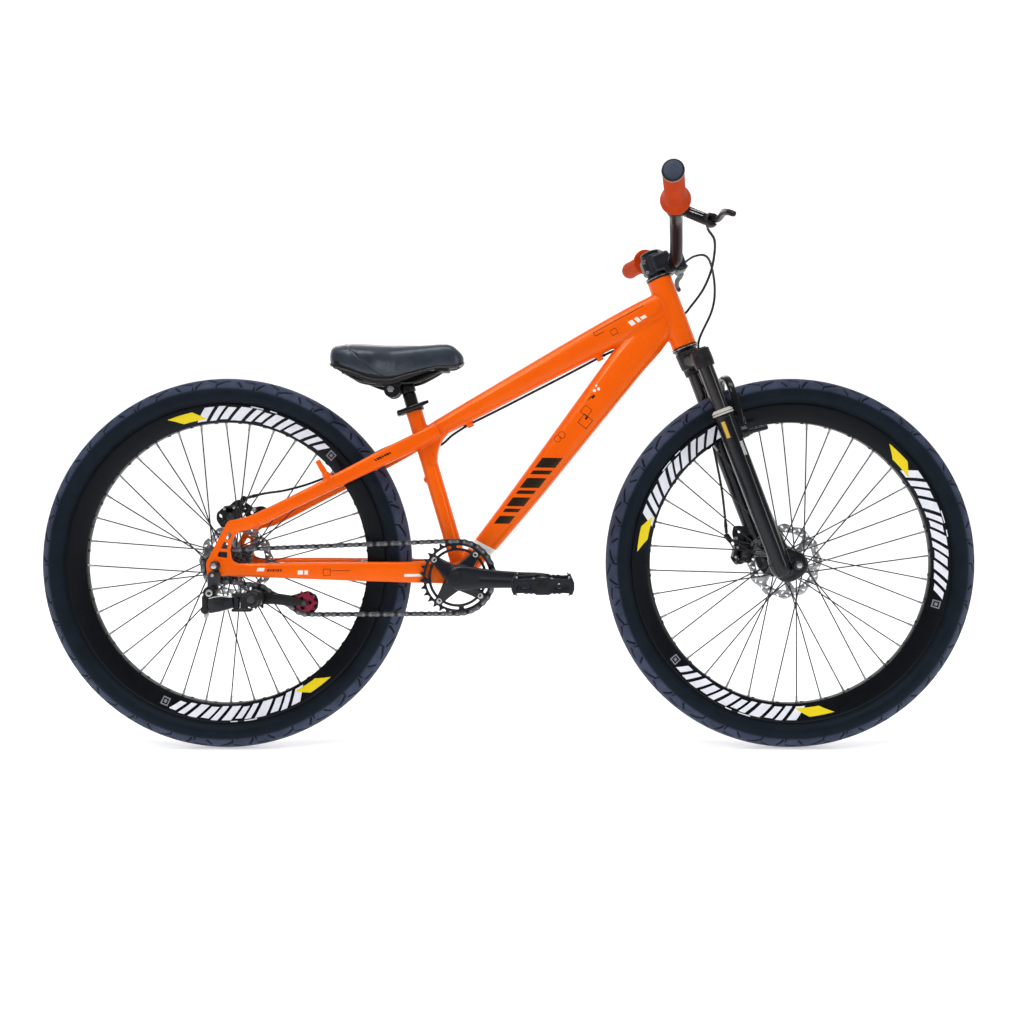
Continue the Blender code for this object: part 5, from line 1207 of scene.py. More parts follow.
ORANGE = make_orange()
TYRE = make_tyre()
RIM_FRONT = make_rim("rim_black_front", (138.5, 13.5, -111.0))
RIM_REAR = make_rim("rim_black_rear", (75.0, -84.5))
VINYL = make_vinyl()
GRIP = make_grip()
STANCHION = make_stanchion()
LOWERS = make_lowers()
GLOSS_BLACK = gloss("gloss_black", srgb(9, 8, 10), 0.20, 0.25, dust=0.05, spec=0.25)
CRANK_BLACK = gloss("crank_black", srgb(10, 15, 25), 0.32, 0.12, dust=0.05, peel=0.06, spec=0.30)
# painted reflection: the bar's dark crimson tint stands for the orange frame mirrored in it
BAR_BLACK = gloss("bar_black", srgb(18, 8, 12), 0.30, 0.10, dust=0.03, peel=0.04, spec=0.18)
BLADE_BLACK = cast_black("blade_black", srgb(16, 15, 17), 0.34, 2000.0, 0.08, 0.30, 0.06)
CAST = cast_black("cast_black", srgb(12, 13, 17))
ANODISED = cast_black("anodised_black", srgb(22, 23, 27), 0.30, 2200.0, 0.08, 0.4, 0.10)
STEM_BLACK = cast_black("stem_black", srgb(21, 25, 33), 0.34, 1700.0, 0.12, 0.4, 0.10)
PLASTIC = moulded("black_plastic", srgb(15, 15, 18), 0.46)
PEDAL = moulded("pedal_black", srgb(17, 21, 32), 0.42, 1700.0, 0.18)
HOUSING = moulded("cable_housing", srgb(18, 18, 20), 0.34, 3000.0, 0.08)
CAP_GREY = moulded("cap_grey", srgb(58, 66, 84), 0.55, 1400.0, 0.35)
SEAL = moulded("seal_grey", srgb(196, 192, 184), 0.42, 2400.0, 0.1, 0.08)
RED = moulded("crimson_plastic", srgb(126, 14, 46), 0.38, 1800.0, 0.15)
CLEAR = moulded("pale_plastic", srgb(176, 180, 184), 0.28, 2000.0, 0.05, 0.1)
STEEL = plain_metal("bright_steel", srgb(196, 196, 200), 0.26, wear=0.0)
POLISHED = plain_metal("polished_alloy", srgb(206, 208, 212), 0.18, grain=1500.0, spread=0.06)
DARK_STEEL = plain_metal("dark_steel", srgb(74, 74, 78), 0.36, wear=0.2)
SPOKE = plain_metal("spoke_black", srgb(24, 25, 28), 0.34, 0.4, 1500.0, spread=0.08, wear=0.15)
NIPPLE = plain_metal("nipple_steel", srgb(150, 150, 152), 0.30)
CHAIN_STEEL = plain_metal("chain_steel", srgb(98, 101, 107), 0.40, 1.0, 700.0, wear=0.25)
COG_STEEL = plain_metal("cog_steel", srgb(86, 82, 78), 0.38, 1.0, 800.0, wear=0.35)
ROTOR_STEEL = round_metal("rotor_steel", srgb(176, 178, 182), 0.30)


# ---------------------------------------------------------------- wheels
def smoothstep(x, a, b):
    t = np.clip((x - a) / (b - a), 0.0, 1.0)
    return t * t * (3 - 2 * t)


def slot_mask(u, v, cu, cv, half_long, half_wide, turn=0.0, bend=0.0, edge=0.0006):
    """1 inside a round-ended slot about (cu, cv), 0 outside. bend curves the slot."""
    du, dv = u - cu, v - cv
    c, s = math.cos(turn), math.sin(turn)
    a, b = du * c + dv * s, -du * s + dv * c
    b = b - bend * a * a
    over = np.maximum(np.abs(a) - (half_long - half_wide), 0.0)
    far = np.sqrt(over * over + b * b)
    return 1.0 - smoothstep(far, half_wide - edge, half_wide + edge)


def tyre(name, body, node, hub, phase):
    half = [
        (0.2800, 0.0112), (0.2868, 0.0113), (0.2893, 0.0142), (0.2932, 0.0203), (0.2990, 0.0247), (0.3060, 0.0266),
        (0.3130, 0.0261), (0.3195, 0.0240), (0.3250, 0.0203), (0.3295, 0.0155), (0.3328, 0.0098), (0.3345, 0.0045),
        (0.3350, 0.0),
    ]
    fine = refine(half, 2)[:5] + refine(half, 5)[10:]
    pts = np.array(fine)
    pts = np.vstack([pts, np.array([(r, -y) for r, y in fine[:-1]])[::-1]])
    rr, yy = pts[:, 0], pts[:, 1]
    step = np.hypot(np.diff(rr), np.diff(yy))
    s = np.concatenate([[0], np.cumsum(step)])
    crown = s[len(fine) - 1]
    v = s - crown  # along the section, 0 at the crown
    steps = 1440
    theta = np.arange(steps) * 2 * math.pi / steps
    # outward normal of the section
    dr, dy = np.gradient(rr), np.gradient(yy)
    ln = np.hypot(dr, dy)
    nr, ny = -dy / ln, dr / ln
    depth = np.zeros((steps, len(rr)))
    repeats = 18
    period = 2 * math.pi / repeats * 0.331
    for sign in (1, -1):
        along = ((theta + phase + (0 if sign > 0 else math.pi / repeats)) * 0.331) % period
        u = along[:, None] * np.ones_like(v)[None, :]
        w = (v * sign)[None, :] * np.ones(steps)[:, None]
        for shift in (-period, 0.0, period):
            for cu, cv, hl, hw, turn, bend in (
                (0.020, 0.0205, 0.0120, 0.0019, 0.42, 10.0),
                (0.045, 0.0150, 0.0125, 0.0016, -0.55, -8.0),
                (0.068, 0.0245, 0.0100, 0.0020, 0.95, 6.0),
                (0.088, 0.0170, 0.0110, 0.0016, -0.20, 12.0),
                (0.106, 0.0255, 0.0080, 0.0017, -0.90, -6.0),
                (0.033, 0.0290, 0.0055, 0.0014, 1.35, 0.0),
                (0.078, 0.0310, 0.0050, 0.0013, 1.45, 0.0),
            ):
                m = slot_mask(u, w, cu + shift, cv, hl, hw, turn, bend)
                depth = np.maximum(depth, m)
    groove = depth * smoothstep(np.abs(v), 0.0040, 0.0070)[None, :]
    sink = groove * 0.0016
    # fine ring lines on the sidewall
    side = (rr < 0.3165) & (rr > 0.2935)
    lines = np.zeros_like(rr)
    for r0 in (0.2962, 0.2990, 0.3052, 0.3118, 0.3150):
        lines = np.maximum(lines, 1 - smoothstep(np.abs(rr - r0), 0.0, 0.0009))
    # wide sidewall blocks in low relief, evenly round the tyre
    blocks = (smoothstep(np.cos(theta * 9 + phase), 0.25, 0.35)[:, None]) * ((rr > 0.2995) & (rr < 0.3100))[None, :] * 0.00035
    out = (lines * side * 0.0005)[None, :] + blocks - sink
    r = rr[None, :] + nr[None, :] * out
    y = yy[None, :] + ny[None, :] * out
    r = np.minimum(r, TYRE_R)
    inner = [(0.3300, -0.0060), (0.3300, 0.0060)]
    ct, st = np.cos(theta)[:, None], np.sin(theta)[:, None]
    co = np.stack([r * ct, y, r * st], axis=-1)
    extra = np.stack([np.stack([np.full(steps, 0.3180) * np.cos(theta), np.full(steps, yv), np.full(steps, 0.3180) * np.sin(theta)], -1) for yv in (-0.0125, 0.0125)], axis=1)
    co = np.concatenate([co, extra], axis=1)
    k = co.shape[1]
    verts = co.reshape(-1, 3)
    i = np.arange(steps)[:, None]
    j = np.arange(k)[None, :]
    a = i * k + j
    b = ((i + 1) % steps) * k + j
    c = ((i + 1) % steps) * k + (j + 1) % k
    d = i * k + (j + 1) % k
    quads = np.stack([a, b, c, d], -1).reshape(-1, 4)
    mesh = bpy.data.meshes.new(name)
    mesh.from_pydata(verts.tolist(), [], quads.tolist())
    bm = bmesh.new()
    bm.from_mesh(mesh)
    bmesh.ops.recalc_face_normals(bm, faces=bm.faces)
    bm.to_mesh(mesh)
    bm.free()
    # groove depth per vertex, used to paint shade into the tread grooves
    attr = mesh.attributes.new("groove_shade", "FLOAT", "POINT")
    values = np.concatenate([groove, np.zeros((steps, 2))], axis=1).reshape(-1)
    attr.data.foreach_set("value", values.astype(np.float32))
    obj = raw_mesh(mesh, TYRE, sharp=60)
    obj.data.transform(Matrix.Translation(hub))
    return piece(name, body, [obj], node, origin=hub)


def rim(name, body, node, hub, mat, valve_angle):
    half = [
        (0.2545, 0.0), (0.2545, 0.0052), (0.2552, 0.0076), (0.2580, 0.0091), (0.2660, 0.0113), (0.2760, 0.0133),
        (0.2835, 0.0146), (0.2862, 0.0150), (0.2884, 0.0150), (0.2887, 0.0146), (0.2887, 0.0130), (0.2872, 0.0124),
        (0.2840, 0.0122), (0.2775, 0.0121), (0.2775, 0.0),
    ]
    prof = half + [(r, -y) for r, y in half[1:-1]][::-1]
    body_obj = lathe([(r, y) for r, y in prof], hub, LEFT, mat, 288, closed=True, sharp=32)
    parts = [body_obj]
    for k in range(SPOKES):
        a = 2 * math.pi * (k + 0.5) / SPOKES
        out = Vector((math.cos(a), 0, math.sin(a)))
        y = 0.0016 * (1 if k % 2 else -1)
        parts.append(ring_of(hub + out * 0.2534 + LEFT * y, hub + out * 0.2550 + LEFT * y, 0.0034, 0.0020, DARK_STEEL, 12, 0.0002))
    a = math.radians(valve_angle)
    out = Vector((math.cos(a), 0, math.sin(a)))
    prof = [(0.0, 0.0), (0.0034, 0.0), (0.0034, 0.014), (0.0030, 0.0145), (0.0030, 0.026), (0.0034, 0.0265), (0.0034, 0.0345), (0.0022, 0.0360), (0.0, 0.0360)]
    parts.append(lathe(prof, hub + out * 0.2556, -out, PLASTIC, 20, closed=False, corner=0.0003, corner_steps=1))
    return piece(name, body, parts, node, origin=hub)


def spoke_set(name, body, node, hub, flanges, spigot_turn):
    parts = []
    per_side = SPOKES // 2
    for side, flange_y in ((0, flanges[0]), (1, flanges[1])):
        for j in range(per_side):
            hole = 2 * math.pi * j / per_side + side * math.pi / SPOKES * 2 + spigot_turn
            turn = CROSS * 2 * math.pi / per_side * (1 if j % 2 else -1)
            s = 1 if j % 2 else -1
            r0 = 0.0198
            hole_at = Vector((r0 * math.cos(hole), 0.0, r0 * math.sin(hole)))
            r1 = RIM_BED_R + 0.0002
            rim_y = 0.0018 * (1 if flange_y > 0 else -1)
            end = Vector((r1 * math.cos(hole + turn), rim_y, r1 * math.sin(hole + turn)))
            a = hole_at + LEFT * (flange_y - s * 0.0026)
            b = hole_at + LEFT * (flange_y + s * 0.0016)
            bent = hole_at + LEFT * (flange_y + s * 0.0024)
            way = (end - bent).normalized()
            pts = [a, b, bent + way * 0.0014, bent + way * 0.0040, bent + way * 0.09, end - way * 0.011]
            parts.append(sweep([hub + p for p in pts], [0.0013, 0.00125, 0.00120, 0.00118, 0.00115, 0.00115], SPOKE, 8, hint=LEFT.cross(way)))
            parts.append(cyl(hub + a - LEFT * s * 0.0008, hub + a, 0.0021, SPOKE, 10, bevel=0.0003))
            prof = [(0.0, 0.0), (0.0015, 0.0), (0.0019, 0.0015), (0.0019, 0.0095), (0.0026, 0.0105), (0.0026, 0.0128), (0.0, 0.0128)]
            parts.append(lathe(prof, hub + end - way * 0.0124, way, NIPPLE, 10, closed=False))
    return piece(name, body, parts, node, origin=hub)


def wavy_rotor(name, body, node, hub, y):
    def wave(t):
        return 0.0680 + 0.0020 * math.cos(12 * t)

    outer = [(min(wave(t), ROTOR_R) * math.cos(t), min(wave(t), ROTOR_R) * math.sin(t)) for t in (2 * math.pi * i / 288 for i in range(288))]
    outlines = [outer, circle(0.0180, 48)]

    def patch(points, r=0.0016):
        return fillet([(a, b) for a, b in points], r, 3, closed=True)

    for k in range(6):
        mid = math.radians(60 * k)
        shape = []
        for r, spreads, lag in ((0.0540, (-22, -11, 0, 11, 21), 13), (0.0400, (21,), 9), (0.0295, (16, 0, -16), 2), (0.0400, (-20,), 7)):
            for a in spreads:
                t = mid + math.radians(a + lag)
                shape.append((r * math.cos(t), r * math.sin(t)))
        outlines.append(patch(shape, 0.0026))
    for k in range(24):
        t = math.radians(15 * k + 4)
        for r, dt, half, lean in ((0.0640, 0.0, 0.0030, 0.9), (0.0585, 7.5, 0.0028, -0.7)):
            tt = t + math.radians(dt)
            c, s = r * math.cos(tt), r * math.sin(tt)
            ux, uy = math.cos(tt + lean), math.sin(tt + lean)
            loop = []
            for m in range(12):
                ang = 2 * math.pi * m / 12
                lx = (half if math.cos(ang) > 0 else -half) * 0.55 + 0.0014 * math.cos(ang)
                ly = 0.0014 * math.sin(ang)
                loop.append((c + ux * lx - uy * ly, s + uy * lx + ux * ly))
            outlines.append(loop)
    parts = [plate(outlines, 0.0018, side_plane(hub + LEFT * y), ROTOR_STEEL, bevel=0.0002)]
    for k in range(6):
        t = math.radians(60 * k + 32)
        spot = hub + Vector((math.cos(t) * 0.0220, y + 0.0009, math.sin(t) * 0.0220))
        parts.append(socket_bolt(spot, LEFT, 0.0036, 0.0026, DARK_STEEL, 0.5, 20))
        parts.append(cyl(spot - LEFT * 0.0060, spot - LEFT * 0.0014, 0.0024, DARK_STEEL, 12))
    return piece(name, body, parts, node, origin=hub)


def hub_shell(name, body, node, hub, profile, mat):
    parts = [lathe([(r, y) for r, y in profile], hub, LEFT, mat, 64, closed=True, corner=0.0009, corner_steps=3, sharp=30)]
    return piece(name, body, parts, node, origin=hub)


FRONT_BORE = 0.0062
REAR_BORE = 0.0068
front_profile = [
    (FRONT_BORE, -0.0490), (0.0100, -0.0490), (0.0105, -0.0440), (0.0125, -0.0425), (0.0125, -0.0360), (0.0140, -0.0345),
    (0.0218, -0.0334), (0.0228, -0.0328), (0.0228, -0.0302), (0.0215, -0.0296), (0.0150, -0.0262), (0.0126, -0.0180),
    (0.0122, -0.0080), (0.0126, 0.0080), (0.0150, 0.0172), (0.0215, 0.0206), (0.0228, 0.0212), (0.0228, 0.0238),
    (0.0218, 0.0244), (0.0185, 0.0262), (0.0185, 0.0310), (0.0232, 0.0325), (0.0238, 0.0330), (0.0238, 0.0374),
    (0.0172, 0.0375), (0.0172, 0.0392), (0.0112, 0.0400), (0.0112, 0.0490), (FRONT_BORE, 0.0490),
]
rear_profile = [
    (REAR_BORE, -0.0640), (0.0150, -0.0640), (0.0155, -0.0290), (0.0215, -0.0262), (0.0228, -0.0254), (0.0228, -0.0226),
    (0.0215, -0.0219), (0.0172, -0.0186), (0.0150, -0.0110), (0.0146, 0.0040), (0.0150, 0.0190), (0.0172, 0.0262),
    (0.0215, 0.0295), (0.0228, 0.0302), (0.0228, 0.0328), (0.0215, 0.0334), (0.0185, 0.0352), (0.0185, 0.0430),
    (0.0232, 0.0448), (0.0238, 0.0455), (0.0238, 0.0508), (0.0172, 0.0509), (0.0172, 0.0525), (0.0112, 0.0532),
    (0.0112, 0.0665), (REAR_BORE, 0.0665),
]


def axle(name, body, node, hub, nut_in, nut_out, tip):
    parts = [cyl(hub - LEFT * tip, hub + LEFT * tip, 0.0046, STEEL, 32, bevel=0.0006)]
    for side in (-1, 1):
        parts.append(cyl(hub + LEFT * side * nut_in, hub + LEFT * side * (nut_in + 0.0012), 0.0085, DARK_STEEL, 40, bevel=0.0003))
        parts.append(hex_nut(hub + LEFT * side * (nut_in + 0.0012), hub + LEFT * side * nut_out, 0.0073, DARK_STEEL))
        for k in range(4):
            y = nut_out + 0.0004 + k * (tip - nut_out - 0.0006) / 4
            parts.append(ring_of(hub + LEFT * side * y, hub + LEFT * side * (y + 0.0004), 0.00485, 0.0044, STEEL, 28, 0.0001))
    return piece(name, body, parts, node, origin=hub)


tyre("front_tyre_piece", "front_wheel", "front_tyre", FRONT_HUB, 0.10)
tyre("rear_tyre_piece", "rear_wheel", "rear_tyre", REAR_HUB, 0.23)
rim("front_rim_piece", "front_wheel", "front_rim", FRONT_HUB, RIM_FRONT, 117.5)
rim("rear_rim_piece", "rear_wheel", "rear_rim", REAR_HUB, RIM_REAR, -3.2)
spoke_set("front_spoke_piece", "front_wheel", "front_spokes", FRONT_HUB, (-0.0315, 0.0225), math.radians(3))
spoke_set("rear_spoke_piece", "rear_wheel", "rear_spokes", REAR_HUB, (-0.0240, 0.0315), math.radians(1))
wavy_rotor("front_rotor_piece", "front_wheel", "front_rotor", FRONT_HUB, FRONT_ROTOR_Y)
wavy_rotor("rear_rotor_piece", "rear_wheel", "rear_rotor", REAR_HUB, REAR_ROTOR_Y)
hub_shell("front_hub_piece", "front_wheel", "front_hub", FRONT_HUB, front_profile, ANODISED)
hub_shell("rear_hub_piece", "rear_wheel", "rear_hub", REAR_HUB, rear_profile, ANODISED)
axle("front_axle_piece", "fork_lower", "front_axle", FRONT_HUB, 0.0630, 0.0690, 0.0715)
axle("rear_axle_piece", "frame", "rear_axle", REAR_HUB, 0.0745, 0.0825, 0.0860)


# ---------------------------------------------------------------- frame
def tree_of(obj):
    mesh = obj.data
    return BVHTree.FromPolygons([v.co.copy() for v in mesh.vertices], [tuple(p.vertices) for p in mesh.polygons])


def set_float(mesh, name, values):
    attr = mesh.attributes.get(name) or mesh.attributes.new(name, "FLOAT", "POINT")
    attr.data.foreach_set("value", np.asarray(values, np.float32))


def stay_pair(make):
    return [make(side, tag) for side, tag in ((-1, "right"), (1, "left"))]


def build_frame():
    tubes = []
    prof = [(0.0, -0.0), (0.0224, 0.0), (0.0224, HEAD_LEN), (0.0, HEAD_LEN)]
    tubes.append(lathe(prof, steer(0, 0, 0), STEER_UP, ORANGE, 64, closed=False, corner=0.0006))
    tubes.append(
        tube_through(
            [
                (0.3560, 0.5641, 0.0, 0.0140, 0.0140), (0.3850, 0.5803, 0.0, 0.0160, 0.0170), (0.4348, 0.6080, 0.0, 0.0179, 0.0180),
                (0.5545, 0.6747, 0.0, 0.0219, 0.0205), (0.6500, 0.7273, 0.0, 0.0251, 0.0210), (0.7400, 0.7755, 0.0, 0.0272, 0.0200),
                (0.7990, 0.8060, 0.0, 0.0262, 0.0180),
            ],
            ORANGE, 56, 2.5, 8,
        )
    )
    tubes.append(
        tube_through(
            [
                (0.4300, 0.3240, 0.0, 0.0185, 0.0190), (0.4686, 0.3677, 0.0, 0.0212, 0.0215), (0.5400, 0.4570, 0.0, 0.0250, 0.0235),
                (0.6030, 0.5389, 0.0, 0.0278, 0.0235), (0.6743, 0.6320, 0.0, 0.0310, 0.0225), (0.7270, 0.7000, 0.0, 0.0330, 0.0210),
                (0.7700, 0.7500, 0.0, 0.0325, 0.0190), (0.7970, 0.7890, 0.0, 0.0250, 0.0170),
            ],
            ORANGE, 56, 2.8, 8,
        )
    )
    tubes.append(cyl(SEAT_BASE, SEAT_PT, SEAT_TUBE_R, ORANGE, 56, bevel=0.0004))
    tubes.append(cyl(CRANK_AXIS - LEFT * 0.034, CRANK_AXIS + LEFT * 0.034, 0.0222, ORANGE, 64, bevel=0.0006))
    gusset = [
        (0.3560, 0.5100), (0.3808, 0.5120), (0.3814, 0.5340), (0.3880, 0.5560), (0.4072, 0.5770), (0.4366, 0.5910),
        (0.4300, 0.6050), (0.3600, 0.5800),
    ]
    tubes.append(plate([fillet(gusset, 0.010, 4, closed=True)], 0.0250, side_plane(at(0, 0)), ORANGE, bevel=0.0040, rounds=3))
    for side in (-1, 1):
        tubes.append(
            tube_through(
                [
                    (0.0150, 0.3277, 0.0712 * side, 0.0100, 0.0030), (0.0330, 0.3275, 0.0714 * side, 0.0114, 0.0036),
                    (0.0700, 0.3270, 0.0712 * side, 0.0122, 0.0068), (0.1500, 0.3257, 0.0640 * side, 0.0145, 0.0082),
                    (0.2500, 0.3232, 0.0512 * side, 0.0170, 0.0082), (0.3300, 0.3212, 0.0412 * side, 0.0185, 0.0078),
                    (0.3650, 0.3200, 0.0342 * side, 0.0190, 0.0078), (0.4080, 0.3160, 0.0262 * side, 0.0170, 0.0070),
                ],
                ORANGE, 40, 3.2, 8,
            )
        )
        tubes.append(
            tube_through(
                [
                    (0.0240, 0.4000, 0.0712 * side, 0.0090, 0.0030), (0.0420, 0.4060, 0.0714 * side, 0.0112, 0.0038),
                    (0.0720, 0.4152, 0.0706 * side, 0.0116, 0.0074), (0.1523, 0.4553, 0.0640 * side, 0.0113, 0.0080),
                    (0.2300, 0.4953, 0.0490 * side, 0.0127, 0.0080), (0.2925, 0.5279, 0.0375 * side, 0.0142, 0.0080),
                    (0.3400, 0.5530, 0.0222 * side, 0.0140, 0.0070), (0.3840, 0.5765, 0.0190 * side, 0.0125, 0.0060),
                ],
                ORANGE, 40, 3.2, 8,
            )
        )
        # welded lug under each brake stud
        foot = at(0.1960, 0.4830, 0.0560 * side)
        tip = at(0.1745, 0.5190, 0.0560 * side)
        way = (tip - foot).normalized()
        tubes.append(cyl(foot - way * 0.004, foot + way * 0.017, 0.0078, ORANGE, 32, radius_end=0.0066, bevel=0.0012))
    # small bosses and stops
    tubes.append(cyl(at(0.2780, 0.5130, -0.0400), at(0.2740, 0.5030, -0.0400), 0.0042, ORANGE, 24))
    tubes.append(cyl(at(0.3650, 0.4875), at(0.3560, 0.4850), 0.0045, ORANGE, 24))
    tubes.append(cyl(at(0.0740, 0.4090, -0.0706), at(0.0690, 0.3995, -0.0706), 0.0038, ORANGE, 24))
    trees = [tree_of(t) for t in tubes]
    for ahead, up in GUIDES:
        centre = at(ahead, up)
        tubes.append(cyl(centre - GUIDE_WAY * 0.006, centre + GUIDE_WAY * 0.006, 0.0062, ORANGE, 32, bevel=0.0008))

    body = gather(tubes)
    mod = body.modifiers.new("v", "REMESH")
    mod.mode = "VOXEL"
    mod.voxel_size = 0.00155
    settle(body)
    co, ed = arrays(body.data)
    second = np.full(len(co), 0.05)
    for i, p in enumerate(co):
        best, runner = 1.0, 1.0
        v = Vector(p.tolist())
        for t in trees:
            hit = t.find_nearest(v, 0.012)
            if hit[0] is None:
                continue
            d = hit[3]
            if d < best:
                best, runner = d, best
            elif d < runner:
                runner = d
        second[i] = runner
    near = 1 - smoothstep(second, 0.0015, 0.0075)
    relax(body, 5)
    blur(body, 10, near, 0.6)
    relax(body, 4)
    # a low bead along each joint
    body.data.update()
    normals = np.empty(len(co) * 3, np.float32)
    body.data.vertex_normals.foreach_get("vector", normals)
    normals = normals.reshape(-1, 3)
    co2, _ = arrays(body.data)
    bead = np.exp(-((second - 0.0022) / 0.0018) ** 2)
    co2 += normals * (bead * 0.00035)[:, None]
    body.data.vertices.foreach_set("co", co2.astype(np.float32).ravel())
    set_float(body.data, "weld", bead)
    body.data.update()
    tris = sum(len(p.vertices) - 2 for p in body.data.polygons)
    if tris > 165000:
        mod = body.modifiers.new("d", "DECIMATE")
        mod.ratio = 165000 / tris
        settle(body)
    body.data.materials.clear()
    body.data.materials.append(ORANGE)
    body.data.shade_smooth()

    extra = []
    for side in (-1, 1):
        foot = at(0.1960, 0.4830, 0.0560 * side)
        tip = at(0.1745, 0.5190, 0.0560 * side)
        way = (tip - foot).normalized()
        prof = [(0.0, 0.0), (0.0050, 0.0), (0.0050, 0.0300), (0.0046, 0.0310), (0.0046, (tip - foot).length), (0.0026, (tip - foot).length)]
        prof += [(0.0024, (tip - foot).length - 0.006), (0.0, (tip - foot).length - 0.006)]
        extra.append(lathe(prof, foot, way, ORANGE, 32, closed=False, corner=0.0004))
        outline = [
            (0.0215, 0.0787), (-0.0171, 0.0045), (-0.0150, -0.0150), (-0.0097, -0.0202), (0.0060, -0.0190), (0.0320, -0.0165),
            (0.0400, 0.0040), (0.0290, 0.0075), (0.0255, 0.0200), (0.0265, 0.0400), (0.0340, 0.0540), (0.0480, 0.0640),
            (0.0420, 0.0820),
        ]
        windows = [
            [(0.0020, 0.0160), (0.0200, 0.0130), (0.0205, 0.0245), (0.0062, 0.0255)],
            [(0.0082, 0.0300), (0.0208, 0.0290), (0.0212, 0.0405), (0.0142, 0.0420)],
            [(0.0162, 0.0465), (0.0232, 0.0450), (0.0285, 0.0560), (0.0222, 0.0595)],
        ]
        drop_m = side_plane(REAR_HUB + LEFT * 0.0708 * side)
        extra.append(
            plate([fillet(outline, 0.0050, 4, closed=True)] + [fillet(w, 0.0030, 3, closed=True) for w in windows], 0.0060, drop_m, ORANGE, bevel=0.0007, rounds=2)
        )
    tab = [(0.0160, 0.0700), (0.0420, 0.0700), (0.0700, 0.0860), (0.0440, 0.1030), (0.0080, 0.0960)]
    extra.append(
        plate([fillet(tab, 0.0060, 4, closed=True), circle(0.0032, 20, 0.0240, 0.0900), circle(0.0032, 20, 0.0480, 0.0930)], 0.0060, side_plane(REAR_HUB + LEFT * 0.0708), CAST, bevel=0.0006)
    )
    fuse(body, extra)
    down = Vector((0.0030, 0.0, -0.0260))
    cutters = [
        cyl(steer(0, 0, -0.02), steer(0, 0, HEAD_LEN + 0.02), 0.0176, None, 48, bevel=0),
        cyl(CRANK_AXIS - LEFT * 0.05, CRANK_AXIS + LEFT * 0.05, 0.0182, None, 48, bevel=0),
        cyl(SEAT_PT - SEAT_UP * 0.2100, SEAT_PT + SEAT_UP * 0.03, POST_R + 0.0006, None, 48, bevel=0),
    ]
    for side in (-1, 1):
        start = REAR_HUB + LEFT * 0.0708 * side
        cutters.append(cyl(start - LEFT * 0.006, start + LEFT * 0.006, 0.0054, None, 32, bevel=0))
        cutters.append(box((0.0100, 0.012, down.length), facing(start + down / 2, down, X), None, bevel=0))
    for a, u in GUIDES:
        cutters.append(cyl(at(a, u) - GUIDE_WAY * 0.012, at(a, u) + GUIDE_WAY * 0.012, 0.0031, None, 24, bevel=0))
    carve(body, cutters)
    body.data.set_sharp_from_angle(angle=math.radians(42))
    return piece("frame_piece", "frame", [body], "frame", origin=Vector((0, 0, 0)))


GUIDES = [(0.4400, 0.5872), (0.6760, 0.7085)]
GUIDE_WAY = (at(*GUIDES[1]) - at(*GUIDES[0])).normalized()
build_frame()

# headset cups, each with a thin bright line
piece(
    "headset_upper_piece", "frame",
    [
        lathe(
            [(0.0230, 0.0003), (0.0232, 0.0010), (0.0232, 0.0026), (0.0226, 0.0030), (0.0226, 0.0036), (0.0232, 0.0040), (0.0232, 0.0062),
             (0.0180, 0.0086), (0.0152, 0.0088), (0.0152, -0.0110), (0.0171, -0.0110), (0.0171, 0.0003)],
            steer(0, 0, HEAD_LEN), STEER_UP, GLOSS_BLACK, 64, closed=True, corner=0.0003, corner_steps=2,
        ),
        ring_of(steer(0, 0, HEAD_LEN + 0.0029), steer(0, 0, HEAD_LEN + 0.0037), 0.0231, 0.0220, STEEL, 64, 0.0001),
    ],
    "headset_upper_cup",
)
piece(
    "headset_lower_piece", "frame",
    [
        lathe(
            [(0.0171, -0.0003), (0.0171, 0.0110), (0.0152, 0.0110), (0.0152, -0.0088), (0.0192, -0.0088), (0.0240, -0.0052),
             (0.0240, -0.0036), (0.0234, -0.0032), (0.0234, -0.0024), (0.0240, -0.0020), (0.0240, -0.0003)],
            steer(0, 0, 0), STEER_UP, GLOSS_BLACK, 64, closed=True, corner=0.0003, corner_steps=2,
        ),
        ring_of(steer(0, 0, -0.0034), steer(0, 0, -0.0022), 0.0239, 0.0228, STEEL, 64, 0.0001),
    ],
    "headset_lower_cup",
)

COLLAR_MID = SEAT_PT - SEAT_UP * 0.0045
REAR_DIR = -(X - SEAT_UP * SEAT_UP.x).normalized()
EAR = COLLAR_MID + REAR_DIR * 0.0240
HINGE = EAR - LEFT * 0.0150
collar_body = lathe(
    [(0.0155, -0.0090), (0.0186, -0.0090), (0.0192, -0.0082), (0.0192, -0.0060), (0.0187, -0.0056), (0.0187, -0.0034), (0.0192, -0.0030),
     (0.0192, -0.0008), (0.0186, 0.0), (0.0155, 0.0)],
    SEAT_PT, SEAT_UP, GLOSS_BLACK, 56, closed=True, corner=0.0003, corner_steps=2,
)
ears = [
    box((0.0150, 0.0066, 0.0086), facing(EAR - REAR_DIR * 0.0010 + LEFT * 0.00475 * s, SEAT_UP, REAR_DIR), GLOSS_BLACK, bevel=0.0014, segs=3)
    for s in (-1, 1)
]
pin = cyl(EAR - LEFT * 0.0100, EAR + LEFT * 0.0108, 0.0026, STEEL, 24)
pin_nut = cyl(EAR + LEFT * 0.0082, EAR + LEFT * 0.0120, 0.0045, STEEL, 24, bevel=0.0008)
piece("seat_collar_piece", "frame", [collar_body, *ears, pin, pin_nut], "seatpost_collar")

